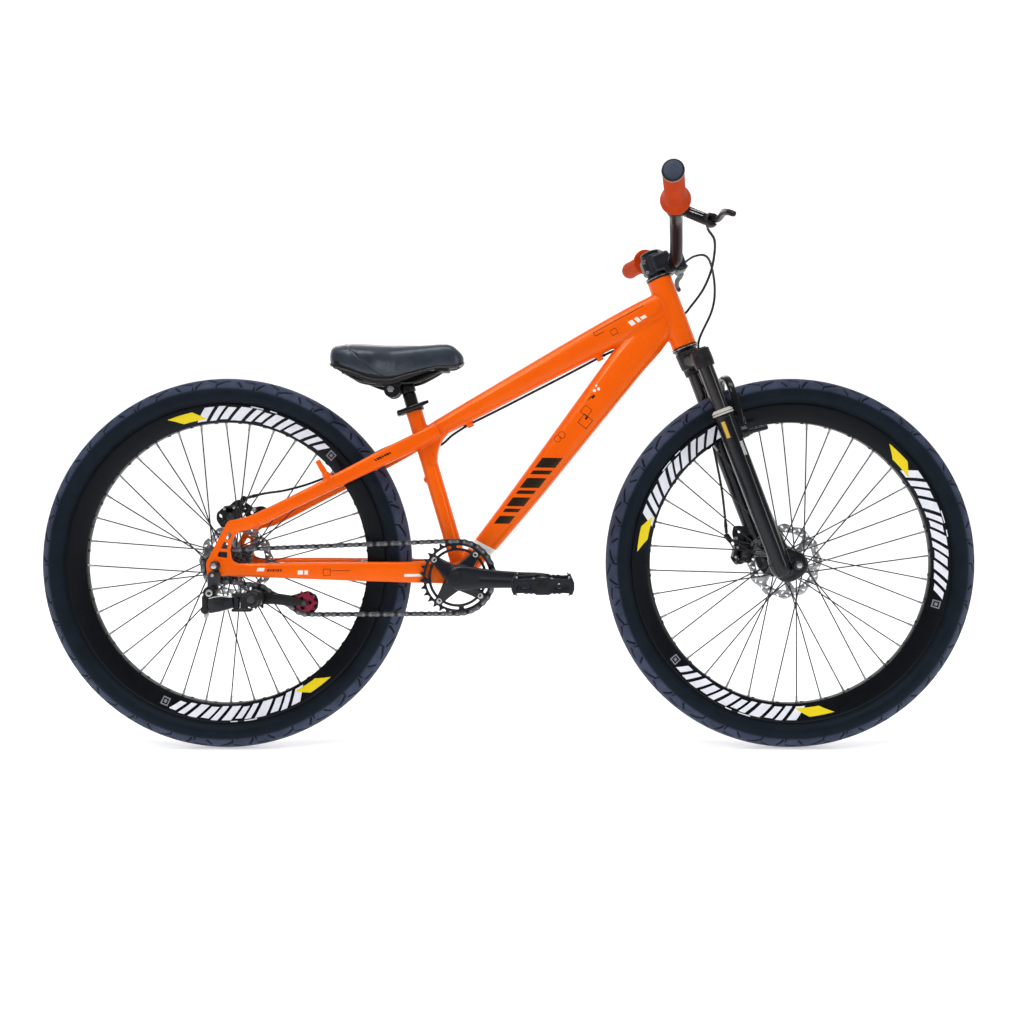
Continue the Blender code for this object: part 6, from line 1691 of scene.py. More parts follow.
lever_run = [
    (HINGE + REAR_DIR * 0.0010, 0.0036, 0.0046),
    (HINGE - REAR_DIR * 0.0030 - LEFT * 0.0035 + SEAT_UP * 0.0002, 0.0032, 0.0046),
    (COLLAR_MID + REAR_DIR * 0.0100 - LEFT * 0.0225 + SEAT_UP * 0.0010, 0.0022, 0.0045),
    (COLLAR_MID - REAR_DIR * 0.0080 - LEFT * 0.0240 + SEAT_UP * 0.0022, 0.0020, 0.0042),
    (COLLAR_MID - REAR_DIR * 0.0230 - LEFT * 0.0240 + SEAT_UP * 0.0036, 0.0019, 0.0036),
    (COLLAR_MID - REAR_DIR * 0.0320 - LEFT * 0.0236 + SEAT_UP * 0.0045, 0.0015, 0.0024),
]


def blade_loft(run, up, mat, per=5, sides=20, power=2.6):
    """Flattened bar along points given with their half thickness and half height."""
    rows = refine([(*p, thin, tall) for p, thin, tall in run], per)
    pts = [Vector(r[:3]) for r in rows]
    rings = []
    for i, (p, row) in enumerate(zip(pts, rows)):
        way = (pts[min(i + 1, len(pts) - 1)] - pts[max(i - 1, 0)]).normalized()
        across = up.cross(way).normalized()
        tall = way.cross(across).normalized()
        rings.append(oval(p, across, tall, row[3], row[4], sides, power))
    return loft(rings, mat)


piece(
    "collar_lever_piece", "seatpost_lever",
    [
        cyl(HINGE - SEAT_UP * 0.0050, HINGE + SEAT_UP * 0.0050, 0.0046, GLOSS_BLACK, 32, bevel=0.0008),
        cyl(HINGE - SEAT_UP * 0.0052, HINGE + SEAT_UP * 0.0052, 0.0018, STEEL, 20, bevel=0.0003),
        blade_loft(lever_run, SEAT_UP, GLOSS_BLACK),
    ],
    "seatpost_lever",
)


def notched(t, r, h):
    return -0.0011 if r > 0.0168 and abs(h) > 0.0346 and math.sin(8 * t) > 0.55 else 0.0


piece(
    "bottom_bracket_piece", "frame",
    [lathe([(0.0100, -0.0365), (0.0165, -0.0365), (0.0178, -0.0360), (0.0178, -0.0343), (0.0178, 0.0343), (0.0178, 0.0360), (0.0165, 0.0365), (0.0100, 0.0365)],
           CRANK_AXIS, LEFT, DARK_STEEL, 96, closed=True, wobble=notched)],
    "bottom_bracket",
)
hanger_line = [
    (-0.0110, -0.0105), (-0.0130, -0.0350), (-0.0130, -0.0500), (-0.0045, -0.0560), (0.0050, -0.0500), (0.0060, -0.0350),
    (0.0100, -0.0200), (0.0080, -0.0105),
]
piece(
    "hanger_piece", "frame",
    [
        plate([fillet(hanger_line, 0.0040, 4, closed=True)], 0.0045, side_plane(REAR_HUB - LEFT * 0.0765), DARK_STEEL, bevel=0.0006),
        socket_bolt(REAR_HUB + Vector((-0.0040, -0.0785, -0.0165)), -LEFT, 0.0030, 0.0016, STEEL, 0.5, 20),
    ],
    "derailleur_hanger",
)


# ---------------------------------------------------------------- seat
CLAMP = at(0.3000, 0.6490)
POST_TOP = SEAT_PT + SEAT_UP * 0.0350
RAIL_Y = 0.0220


def saddle_rings(stations, sides, power, per=4):
    rings = []
    for a, low, top, half, side_drop in refine(stations, per):
        centre = at(a, (low + top) / 2)
        ring = []
        for p in oval(centre, LEFT, UP, half, (top - low) / 2, sides, power):
            across = min(1.0, abs(p.y) / max(half, 1e-6))
            lower = max(0.0, (centre.z - p.z) / ((top - low) / 2))
            upper = max(0.0, (p.z - centre.z) / ((top - low) / 2))
            p.z -= side_drop * across**3 * (0.35 + 0.65 * lower)
            p.z -= 0.0022 * upper * (1 - across**2) * (1.0 if a < 0.36 else 0.2)
            ring.append(p)
        rings.append(ring)
    return rings


# the lower edge of the cover, as (ahead, up, half the width there)
COVER_EDGE = [
    (0.1945, 0.6925, 0.0430), (0.2020, 0.6862, 0.0655), (0.2200, 0.6798, 0.0762), (0.2400, 0.6735, 0.0782), (0.2650, 0.6645, 0.0732),
    (0.2787, 0.6626, 0.0672), (0.3027, 0.6640, 0.0512), (0.3265, 0.6725, 0.0395), (0.3510, 0.6800, 0.0307), (0.3810, 0.6883, 0.0262),
    (0.4080, 0.6890, 0.0222), (0.4200, 0.6925, 0.0170), (0.4262, 0.6965, 0.0112),
]


def edge_at(ahead):
    xs = [e[0] for e in COVER_EDGE]
    return float(np.interp(ahead, xs, [e[1] for e in COVER_EDGE])), float(np.interp(ahead, xs, [e[2] for e in COVER_EDGE]))


def shell_ring(a, low, top, half, sides=56):
    """Section of the pad: rounded shoulders above and nearly upright walls below."""
    mid = low + (top - low) * 0.42
    ring = []
    for k in range(sides):
        t = 2 * math.pi * (k + 0.5) / sides
        c, s = math.cos(t), math.sin(t)
        power = 2.7 if s > 0 else 5.0
        y = math.copysign(abs(c) ** (2 / power), c) * half
        reach = (top - mid) if s > 0 else (mid - low)
        z = mid + math.copysign(abs(s) ** (2 / power), s) * reach
        ring.append(at(a, z, y))
    return ring


def cushion_start():
    """The pad before it is blown up: a little smaller than the finished one."""
    s = 0.0014
    stations = [
        (0.1938, 0.6940, 0.7190, 0.0400),
        (0.1965, 0.6895, 0.7235, 0.0560),
        (0.2050, 0.6840, 0.7285, 0.0680),
        (0.2350, 0.6735, 0.7312, 0.0785),
        (0.2700, 0.6625, 0.7306, 0.0715),
        (0.3050, 0.6632, 0.7298, 0.0498),
        (0.3500, 0.6785, 0.7310, 0.0308),
        (0.3900, 0.6870, 0.7338, 0.0250),
        (0.4060, 0.6878, 0.7325, 0.0230),
        (0.4180, 0.6905, 0.7245, 0.0186),
        (0.4255, 0.6945, 0.7165, 0.0126),
        (0.4292, 0.6990, 0.7100, 0.0060),
    ]
    rings = [shell_ring(a, lo - 0.0012, hi - s, h - s) for a, lo, hi, h in refine(stations, 5)]
    return loft(rings, VINYL)


def swell(obj):
    """Blows the pad up as cloth, with its underside held."""
    mod = obj.modifiers.new("v", "REMESH")
    mod.mode = "VOXEL"
    mod.voxel_size = 0.0046
    settle(obj)
    obj.data.shade_smooth()
    start, _ = arrays(obj.data)
    under = obj.vertex_groups.new(name="held")
    mesh = obj.data
    for v in mesh.vertices:
        ahead = v.co.x + WHEELBASE / 2
        if v.co.z < edge_at(ahead)[0] + 0.0070:
            under.add([v.index], 1.0, "REPLACE")
    cloth = obj.modifiers.new("cloth", "CLOTH")
    st = cloth.settings
    st.quality = 6
    st.mass = 0.25
    st.use_pressure = True
    st.uniform_pressure_force = 4.0
    st.tension_stiffness = 22
    st.compression_stiffness = 22
    st.shear_stiffness = 12
    st.bending_stiffness = 0.6
    st.vertex_group_mass = "held"
    st.pin_stiffness = 1.0
    st.effector_weights.gravity = 0.0
    cloth.collision_settings.use_collision = False
    cloth.collision_settings.use_self_collision = False
    for f in range(1, 17):
        bpy.context.scene.frame_set(f)
    graph = bpy.context.evaluated_depsgraph_get()
    ev = obj.evaluated_get(graph)
    tmp = ev.to_mesh()
    co = np.empty(len(tmp.vertices) * 3, np.float32)
    tmp.vertices.foreach_get("co", co)
    co = co.reshape(-1, 3).astype(float)
    ev.to_mesh_clear()
    obj.modifiers.clear()
    bpy.context.scene.frame_set(1)
    if len(co) == len(start):
        move = co - start
        far = np.linalg.norm(move, axis=1)
        cap = 0.0042
        move *= np.where(far > cap, cap / np.maximum(far, 1e-9), 1.0)[:, None]
        co = start + move
        co[:, 2] = np.minimum(co[:, 2], 0.7338)
        obj.data.vertices.foreach_set("co", co.astype(np.float32).ravel())
        obj.data.update()
    return obj


def seam_offset(co):
    """Signed distance, roughly, from the slanting seam behind each wing."""
    ahead = co[:, 0] + WHEELBASE / 2
    y = np.abs(co[:, 1]) / 0.078
    line = 0.2380 + (0.7094 - co[:, 2]) * 1.10 + 0.0140 * (1 - np.clip(y, 0, 1) ** 2)
    return (ahead - line) / 1.45


def build_cushion():
    pad = swell(cushion_start())
    relax(pad, 3)
    mod = pad.modifiers.new("s", "SUBSURF")
    mod.levels = 2
    mod.render_levels = 2
    settle(pad)
    pad.vertex_groups.clear()
    rooms = []
    for ahead, half in ((0.1985, 0.0540), (0.2010, 0.0566), (0.2400, 0.0706), (0.2750, 0.0626), (0.3100, 0.0426), (0.3500, 0.0268), (0.3950, 0.0202), (0.4040, 0.0192), (0.4212, 0.0130)):
        rooms.append([at(ahead, up, half * s) for s, up in ((-1, 0.6200), (1, 0.6200), (1, 0.6978), (-1, 0.6978))])
    carve(pad, [loft(rooms, None)])
    co, _ = arrays(pad.data)
    normals = np.empty(len(co) * 3, np.float32)
    pad.data.vertex_normals.foreach_get("vector", normals)
    normals = normals.reshape(-1, 3)
    d = seam_offset(co)
    upper = smoothstep(normals[:, 2], -0.55, -0.30) * (np.abs(co[:, 1]) > 0.0150)
    groove = np.exp(-((d / 0.0011) ** 2)) * upper
    # shallow sewn channel round the top panel, towards the nose
    ahead = co[:, 0] + WHEELBASE / 2
    channel = np.exp(-(((np.abs(co[:, 1]) - 0.0095 - 0.10 * np.clip(0.34 - ahead, 0, 1)) / 0.0016) ** 2))
    channel *= smoothstep(normals[:, 2], 0.75, 0.9) * smoothstep(ahead, 0.262, 0.275) * (1 - smoothstep(ahead, 0.385, 0.400))
    swollen = np.exp(-(((np.abs(d) - 0.0034) / 0.0022) ** 2)) * upper
    co += normals * (swollen * 0.00035 - groove * 0.0011 - channel * 0.0007)[:, None]
    co[:, 2] = np.minimum(co[:, 2], 0.7338)
    pad.data.vertices.foreach_set("co", co.astype(np.float32).ravel())
    set_float(pad.data, "seam", np.maximum(groove, channel * 0.6))
    pad.data.materials.clear()
    pad.data.materials.append(VINYL)
    pad.data.shade_smooth()
    pad.data.update()
    # stitches either side of the slanting seam, set into the skin
    tree = tree_of(pad)
    stitches = []
    for side in (-1, 1):
        for off in (0.0026, -0.0026):
            for k in range(20):
                z = 0.7200 - 0.0024 * k
                ahead_s = 0.2380 + (0.7094 - z) * 1.10 + off * 1.45
                hit = tree.ray_cast(Vector((ahead_s - WHEELBASE / 2, side * 0.2, z)), Vector((0, -side, 0)), 0.2)
                if hit[0] is None or abs(hit[1].z) > 0.93:
                    continue
                way = Vector((-1.10, 0.0, 1.0))
                way -= hit[1] * way.dot(hit[1])
                way.normalize()
                p = hit[0] + hit[1] * 0.00005
                stitches.append(sweep([p - way * 0.0011, p, p + way * 0.0011], 0.00032, VINYL, 6, ends_round=True, hint=hit[1]))
    # piping along the lower edge of the cover
    loop = [at(a, z - 0.0006, h - 0.0008) for a, z, h in COVER_EDGE] + [at(0.4292, 0.6990, 0.0)]
    loop += [at(a, z - 0.0006, -h + 0.0008) for a, z, h in COVER_EDGE[::-1]] + [at(0.1928, 0.6945, 0.0)]
    piping = sweep(smooth_path(loop, 0.004, closed=True), 0.0015, PIPING, 10, closed=True, hint=UP)
    return pad, stitches + [piping]


PIPING = gloss("piping_black", srgb(13, 14, 17), 0.35, 0.3, dust=0.1)
pad_obj, trim = build_cushion()
pad_piece = piece("saddle_cover_piece", "saddle", [pad_obj], "saddle_cover", origin=Vector((0, 0, 0)))
piece("saddle_trim_piece", "saddle", trim, origin=Vector((0, 0, 0)))


def build_base():
    stations = [
        (0.1990, 0.6905, 0.6974, 0.0460, 0.000),
        (0.2060, 0.6880, 0.6974, 0.0580, 0.000),
        (0.2400, 0.6860, 0.6974, 0.0690, 0.000),
        (0.2750, 0.6850, 0.6964, 0.0610, 0.000),
        (0.3100, 0.6850, 0.6944, 0.0410, 0.000),
        (0.3500, 0.6850, 0.6934, 0.0250, 0.000),
        (0.3950, 0.6860, 0.6950, 0.0180, 0.000),
        (0.4180, 0.6895, 0.6965, 0.0110, 0.000),
    ]
    shell = loft(saddle_rings(stations, 40, 2.8), PLASTIC)
    # the base's own rim, seen as a dark band under the cover
    line = []
    for a, z, h in COVER_EDGE[1:]:
        drop_by = float(np.interp(a, [0.200, 0.215, 0.262, 0.290, 0.330, 0.360, 0.400, 0.425], [0.0010, 0.0050, 0.0066, 0.0090, 0.0078, 0.0036, 0.0004, -0.0004]))
        line.append((a, h - 0.0042, z - drop_by))
    loop = [at(a, z, h) for a, h, z in line] + [at(0.4262, 0.6950, 0.0)] + [at(a, z, -h) for a, h, z in line[::-1]] + [at(0.1962, 0.6915, 0.0)]
    path = smooth_path(loop, 0.003, closed=True)
    middle = at(0.29, 0.69)
    rings = []
    count = len(path)
    for i, p in enumerate(path):
        run = path[(i + 1) % count] - path[i - 1]
        run.z = 0.0
        inward = UP.cross(run.normalized())
        if inward.dot(middle - p) < 0:
            inward = -inward
        ring = []
        top = max(p.z + 0.012, 0.6935)
        for across, z in ((0.0, p.z + 0.0012), (0.0, top), (0.0026, top), (0.0026, p.z + 0.0010), (0.0018, p.z), (0.0008, p.z)):
            q = p + inward * across
            ring.append(Vector((q.x, q.y, z)))
        rings.append(ring)
    band = loft(rings, PLASTIC, closed=True, caps=False)
    feet = [box((0.0260, 0.0360, 0.0110), Matrix.Translation(at(0.3900, 0.6870)), PLASTIC, bevel=0.0020, segs=3)]
    for side in (-1, 1):
        feet.append(box((0.0240, 0.0180, 0.0110), Matrix.Translation(at(0.2120, 0.6890, 0.0400 * side)), PLASTIC, bevel=0.0020, segs=3))
        feet.append(sweep(smooth_path([at(0.2150, 0.6860, 0.0500 * side), at(0.2500, 0.6850, 0.0540 * side), at(0.2900, 0.6840, 0.0400 * side), at(0.3300, 0.6840, 0.0250 * side)], 0.006), 0.0016, PLASTIC, 10, ends_round=True))
    return piece("saddle_base_piece", "saddle", [shell, band, *feet], "saddle_base")


def build_rails():
    pts = []
    for side in (-1, 1):
        run = [
            (0.2080, 0.6900, 0.0400), (0.2150, 0.6850, 0.0380), (0.2320, 0.6700, 0.0290), (0.2600, 0.6630, RAIL_Y),
            (0.3000, 0.6615, RAIL_Y), (0.3400, 0.6620, RAIL_Y), (0.3700, 0.6740, 0.0170), (0.3920, 0.6870, 0.0110),
        ]
        line = [at(a, u, s * side) for a, u, s in run]
        pts += line if side == -1 else line[::-1]
    rod = sweep(smooth_path(pts, 0.006), 0.0035, GLOSS_BLACK, 20, hint=None)
    plates = []
    for side in (-1, 1):
        outline = [(-0.0170, -0.0065), (0.0170, -0.0065), (0.0170, 0.0035), (0.0130, 0.0065), (-0.0130, 0.0065), (-0.0170, 0.0035)]
        m = side_plane(at(0.3000, 0.6600, (RAIL_Y + 0.0004) * side))
        p = plate([fillet(outline, 0.0025, 3, closed=True)], 0.0090, m, CAST, bevel=0.0010, rounds=2)
        plates.append(p)
    room = cyl(CLAMP - LEFT * 0.0173, CLAMP + LEFT * 0.0173, 0.0152, None, 48, bevel=0)
    bolt_room = cyl(CLAMP - LEFT * 0.0400, CLAMP + LEFT * 0.0400, 0.0046, None, 32, bevel=0)
    both = gather(plates)
    carve(both, [room, bolt_room])
    return piece("saddle_rails_piece", "saddle", [rod, both], "saddle_rails")


def teeth_wobble(t, r, h):
    return 0.0005 * math.cos(40 * t) if r > 0.0136 else 0.0


def build_clamp():
    drum = lathe(
        [(0.0, -0.0165), (0.0138, -0.0165), (0.0145, -0.0158), (0.0145, -0.0120), (0.0132, -0.0112), (0.0132, 0.0112), (0.0145, 0.0120),
         (0.0145, 0.0158), (0.0138, 0.0165), (0.0, 0.0165)],
        CLAMP, LEFT, CAST, 160, closed=False, wobble=teeth_wobble, sharp=25,
    )
    sleeve = lathe([(0.0115, -0.0076), (0.0136, -0.0076), (0.0142, -0.0070), (0.0142, 0.0078), (0.0130, 0.0090), (0.0, 0.0090), (0.0, 0.0066), (0.0115, 0.0066)],
                   POST_TOP, SEAT_UP, GLOSS_BLACK, 56, closed=False, corner=0.0004)
    neck = box((0.0240, 0.0190, 0.0150), facing((CLAMP + POST_TOP) / 2, UP, X), CAST, bevel=0.0035, segs=3)
    bar = cyl(CLAMP - LEFT * 0.0310, CLAMP + LEFT * 0.0310, 0.0036, STEEL, 28)
    ends = [hex_nut(CLAMP + LEFT * s * 0.0268, CLAMP + LEFT * s * 0.0322, 0.0056, STEEL) for s in (-1, 1)]
    small = cyl(at(0.3030, 0.6375, -0.0155), at(0.3030, 0.6375, -0.0120), 0.0026, STEEL, 20, bevel=0.0005)
    return piece("saddle_clamp_piece", "seatpost", [drum, sleeve, neck, bar, *ends, small], "saddle_clamp")


def build_post():
    prof = [
        (POST_R - 0.0020, -0.1500), (POST_R, -0.1494), (POST_R, 0.0240), (POST_R - 0.0003, 0.0250), (0.0110, 0.0270), (0.0108, 0.0276),
        (0.0108, 0.0410), (0.0090, 0.0410), (POST_R - 0.0020, 0.0250),
    ]
    tube = lathe(prof, SEAT_PT, SEAT_UP, GLOSS_BLACK, 64, closed=True)
    marks = []
    for k in range(6):
        h = -0.012 - 0.010 * k
        marks.append(ring_of(SEAT_PT + SEAT_UP * h, SEAT_PT + SEAT_UP * (h + 0.0005), POST_R + 0.00008, POST_R - 0.0006, STEEL, 48, 0.00005))
    return piece("seatpost_piece", "seatpost", [tube, *marks], "seatpost")


build_base()
build_rails()
build_clamp()
build_post()


# ---------------------------------------------------------------- fork
def steer_oval(centre_values, half_a, half_b, dir_a, dir_b, sides=32, power=2.6):
    return oval(steer(*centre_values), dir_a, dir_b, half_a, half_b, sides, power)


def build_crown():
    parts = [
        cyl(steer(0, 0, -0.0420), steer(0, 0, -0.0092), 0.0195, CAST, 56, radius_end=0.0215, bevel=0.0030),
    ]
    for side in (-1, 1):
        parts.append(cyl(steer(LEG_AHEAD, LEG_Y * side, -0.0520), steer(LEG_AHEAD, LEG_Y * side, -0.0190), 0.0172, CAST, 48, bevel=0.0022))
        rings = []
        for t, b, half_fwd, half_up in refine([(0.0, -0.0270, 0.0190, 0.0142), (0.35, -0.0276, 0.0160, 0.0128), (0.65, -0.0302, 0.0142, 0.0126), (0.95, -0.0345, 0.0142, 0.0132)], 4):
            rings.append(steer_oval((LEG_AHEAD * t, LEG_Y * t * side, b), half_fwd, half_up, STEER_FWD, STEER_UP))
        parts.append(loft(rings, CAST))
    body = melt(parts, 0.0010, CAST, rounds=4, soft=3)
    rims = []
    for side in (-1, 1):
        rims.append(lathe([(0.0150, -0.0518), (0.0166, -0.0518), (0.0171, -0.0512), (0.0171, -0.0470), (0.0176, -0.0464), (0.0176, -0.0300), (0.0170, -0.0290), (0.0150, -0.0290)],
                          steer(LEG_AHEAD, LEG_Y * side, 0), STEER_UP, CAST, 56, closed=True))
        rims.append(lathe([(0.0, -0.0200), (0.0120, -0.0200), (0.0126, -0.0192), (0.0126, -0.0176), (0.0112, -0.0170), (0.0, -0.0170)],
                          steer(LEG_AHEAD, LEG_Y * side, 0), STEER_UP, ANODISED, 40, closed=False, corner=0.0002))
    fuse(body, rims)
    cutters = [cyl(steer(LEG_AHEAD, LEG_Y * s, -0.060), steer(LEG_AHEAD, LEG_Y * s, -0.0220), STANCHION_R + 0.0006, None, 48, bevel=0) for s in (-1, 1)]
    cutters.append(cyl(steer(0, 0, -0.060), steer(0, 0, 0.0), 0.0115, None, 40, bevel=0))
    carve(body, cutters)
    steerer = lathe([(0.0115, -0.030), (STEERER_R, -0.030), (STEERER_R, 0.1776), (STEERER_R - 0.0004, 0.1780), (0.0115, 0.1780)], steer(0, 0, 0), STEER_UP, DARK_STEEL, 48, closed=True)
    race = lathe([(0.0143, -0.0094), (0.0198, -0.0094), (0.0206, -0.0104), (0.0206, -0.0112), (0.0143, -0.0112)], steer(0, 0, 0), STEER_UP, STEEL, 56, closed=True)
    piece("fork_crown_piece", "steering", [body, steerer, race], "fork_crown")


def build_stanchions():
    for side, tag in ((-1, "right"), (1, "left")):
        prof = [(0.0112, -0.2400), (STANCHION_R - 0.0004, -0.2400), (STANCHION_R, -0.2394), (STANCHION_R, -0.0240), (0.0112, -0.0240)]
        tube = lathe(prof, steer(LEG_AHEAD, LEG_Y * side, 0), STEER_UP, STANCHION, 72, closed=True)
        piece("stanchion_piece_" + tag, "steering", [tube], "stanchion_" + tag)


LEG_TOP = -0.1412
FORK_END = [
    (-0.0070, 0.0320), (-0.0080, 0.0020), (0.0040, -0.0190), (0.0200, -0.0250), (0.0450, -0.0200), (0.0580, -0.0090),
    (0.0600, 0.0060), (0.0520, 0.0200), (0.0360, 0.0320), (0.0270, 0.0520),
]
AXLE_LOCAL = AXLE_FWD


def build_lowers():
    parts = []
    for side in (-1, 1):
        prof = [
            (0.0, -0.4450), (0.0116, -0.4450), (0.0150, -0.4400), (0.0166, -0.4290), (LEG_R - 0.0005, -0.3000), (LEG_R, -0.1500),
            (LEG_R, LEG_TOP), (0.0, LEG_TOP),
        ]
        parts.append(lathe(prof, steer(LEG_AHEAD, LEG_Y * side, 0), STEER_UP, LOWERS, 56, closed=False, corner=0.0010))
        m = steer_plane(steer(0, 0.0564 * side, AXLE_UP))
        parts.append(plate([fillet(FORK_END, 0.0080, 4, closed=True)], 0.0115, m, LOWERS, bevel=0.0026, rounds=3))
        parts.append(cyl(steer(0.0150, 0.0575 * side, -0.1830), steer(0.0440, 0.0560 * side, -0.1830), 0.0105, LOWERS, 40, bevel=0.0030))
        # raised collar at the axle
        parts.append(cyl(steer(AXLE_LOCAL, 0.0520 * side, AXLE_UP), steer(AXLE_LOCAL, 0.0624 * side, AXLE_UP), 0.0165, LOWERS, 48, bevel=0.0020))
        # stiffening rib down the front of the leg
        parts.append(sweep(smooth_path([steer(0.0250, 0.0600 * side, -0.3000), steer(0.0270, 0.0598 * side, -0.3500), steer(0.0310, 0.0590 * side, -0.4000), steer(0.0400, 0.0575 * side, -0.4280)], 0.006), 0.0034, LOWERS, 14, ends_round=True))
    stations = [
        (0.0340, -0.0565, -0.1830), (0.0400, -0.0545, -0.1400), (0.0430, -0.0480, -0.1050), (0.0455, -0.0300, -0.0850),
        (0.0460, 0.0, -0.0790), (0.0455, 0.0300, -0.0850), (0.0430, 0.0480, -0.1050), (0.0400, 0.0545, -0.1400),
        (0.0340, 0.0565, -0.1830),
    ]
    fine = refine(stations, 6)
    rings = []
    for i, (f, s, u) in enumerate(fine):
        a = steer(*fine[max(i - 1, 0)])
        b = steer(*fine[min(i + 1, len(fine) - 1)])
        run = (b - a).normalized()
        wide = (STEER_FWD - run * STEER_FWD.dot(run)).normalized()
        rings.append(oval(steer(f, s, u), wide, run.cross(wide), 0.0070, 0.0050, 28, 3.0))
    parts.append(loft(rings, LOWERS))
    tab = [(0.0050, 0.0250), (-0.0280, 0.0220), (-0.0430, 0.0420), (-0.0300, 0.0680), (0.0050, 0.0760)]
    parts.append(plate([fillet(tab, 0.0060, 4, closed=True)], 0.0050, steer_plane(steer(0, 0.0572, AXLE_UP)), LOWERS, bevel=0.0010, rounds=2))
    body = melt(parts, 0.0016, LOWERS, rounds=6, soft=6)
    tris = sum(len(p.vertices) - 2 for p in body.data.polygons)
    if tris > 150000:
        mod = body.modifiers.new("d", "DECIMATE")
        mod.ratio = 150000 / tris
        settle(body)
    extra = []
    for side in (-1, 1):
        prof = [(0.0, 0.0), (0.0062, 0.0), (0.0062, 0.0060), (0.0050, 0.0070), (0.0046, 0.0080), (0.0046, 0.0330), (0.0036, 0.0352), (0.0, 0.0352)]
        foot = steer(0.0420, 0.0560 * side, -0.1850)
        way = (steer(0.0770, 0.0560 * side, -0.1890) - foot).normalized()
        extra.append(lathe(prof, foot, way, LOWERS, 36, closed=False, corner=0.0004))
        # curved ridges over the axle end
        for k in range(4):
            r = 0.0215 + 0.0036 * k
            arc = []
            for j in range(13):
                a = math.radians(-28 + 9.5 * j)
                f = AXLE_LOCAL + r * math.cos(a)
                u = AXLE_UP + r * math.sin(a)
                if f < 0.0560 and u < AXLE_UP + 0.0290:
                    arc.append(steer(f, (0.0564 + 0.0055) * side, u))
            if len(arc) > 3:
                extra.append(sweep(arc, 0.0008, LOWERS, 8, ends_round=True, hint=LEFT))
        # lip under each seal
        extra.append(lathe([(0.0160, -0.1475), (0.0184, -0.1470), (0.0188, -0.1460), (0.0188, -0.1424), (0.0184, -0.1414), (0.0160, -0.1412)],
                           steer(LEG_AHEAD, LEG_Y * side, 0), STEER_UP, LOWERS, 56, closed=True))
        # bolt at the foot of the leg
        extra.append(cyl(steer(LEG_AHEAD, LEG_Y * side, -0.4468), steer(LEG_AHEAD, LEG_Y * side, -0.4440), 0.0062, LOWERS, 32, bevel=0.0006))
    fuse(body, extra)
    cutters = [cyl(steer(LEG_AHEAD, LEG_Y * s, -0.3100), steer(LEG_AHEAD, LEG_Y * s, LEG_TOP + 0.02), STANCHION_R + 0.0006, None, 48, bevel=0) for s in (-1, 1)]
    cutters.append(cyl(FRONT_HUB - LEFT * 0.07, FRONT_HUB + LEFT * 0.07, 0.0055, None, 32, bevel=0))
    for s in (-1, 1):
        cutters.append(cyl(FRONT_HUB + LEFT * s * 0.0625, FRONT_HUB + LEFT * s * 0.09, 0.0105, None, 40, bevel=0))
    carve(body, cutters)
    body.data.set_sharp_from_angle(angle=math.radians(40))
    piece("fork_lowers_piece", "fork_lower", [body], "fork_lowers", origin=Vector((0, 0, 0)))
    for side, tag in ((-1, "right"), (1, "left")):
        spot = steer(LEG_AHEAD, LEG_Y * side, 0)
        lips = [
            lathe([(0.0140, -0.1409), (0.0182, -0.1409), (0.0188, -0.1404), (0.0188, -0.1384), (0.0182, -0.1379), (0.0140, -0.1379)], spot, STEER_UP, SEAL, 56, closed=True),
            lathe([(0.0139, -0.1380), (0.0176, -0.1380), (0.0176, -0.1368), (0.0139, -0.1368)], spot, STEER_UP, PLASTIC, 56, closed=True),
            lathe([(0.0138, -0.1368), (0.0182, -0.1368), (0.0186, -0.1362), (0.0186, -0.1350), (0.0172, -0.1334), (0.0158, -0.1322), (0.0148, -0.1311), (0.0138, -0.1310)], spot, STEER_UP, SEAL, 56, closed=True),
        ]
        piece("fork_seal_piece_" + tag, "fork_lower", lips, "fork_seal_" + tag)


build_crown()
build_stanchions()
build_lowers()

# ---------------------------------------------------------------- cockpit
BAR_CLAMP = at(0.8105, 0.8800)
CLAMP_FWD = (BAR_CLAMP - HEAD).dot(STEER_FWD)
CLAMP_UP = (BAR_CLAMP - HEAD).dot(STEER_UP)


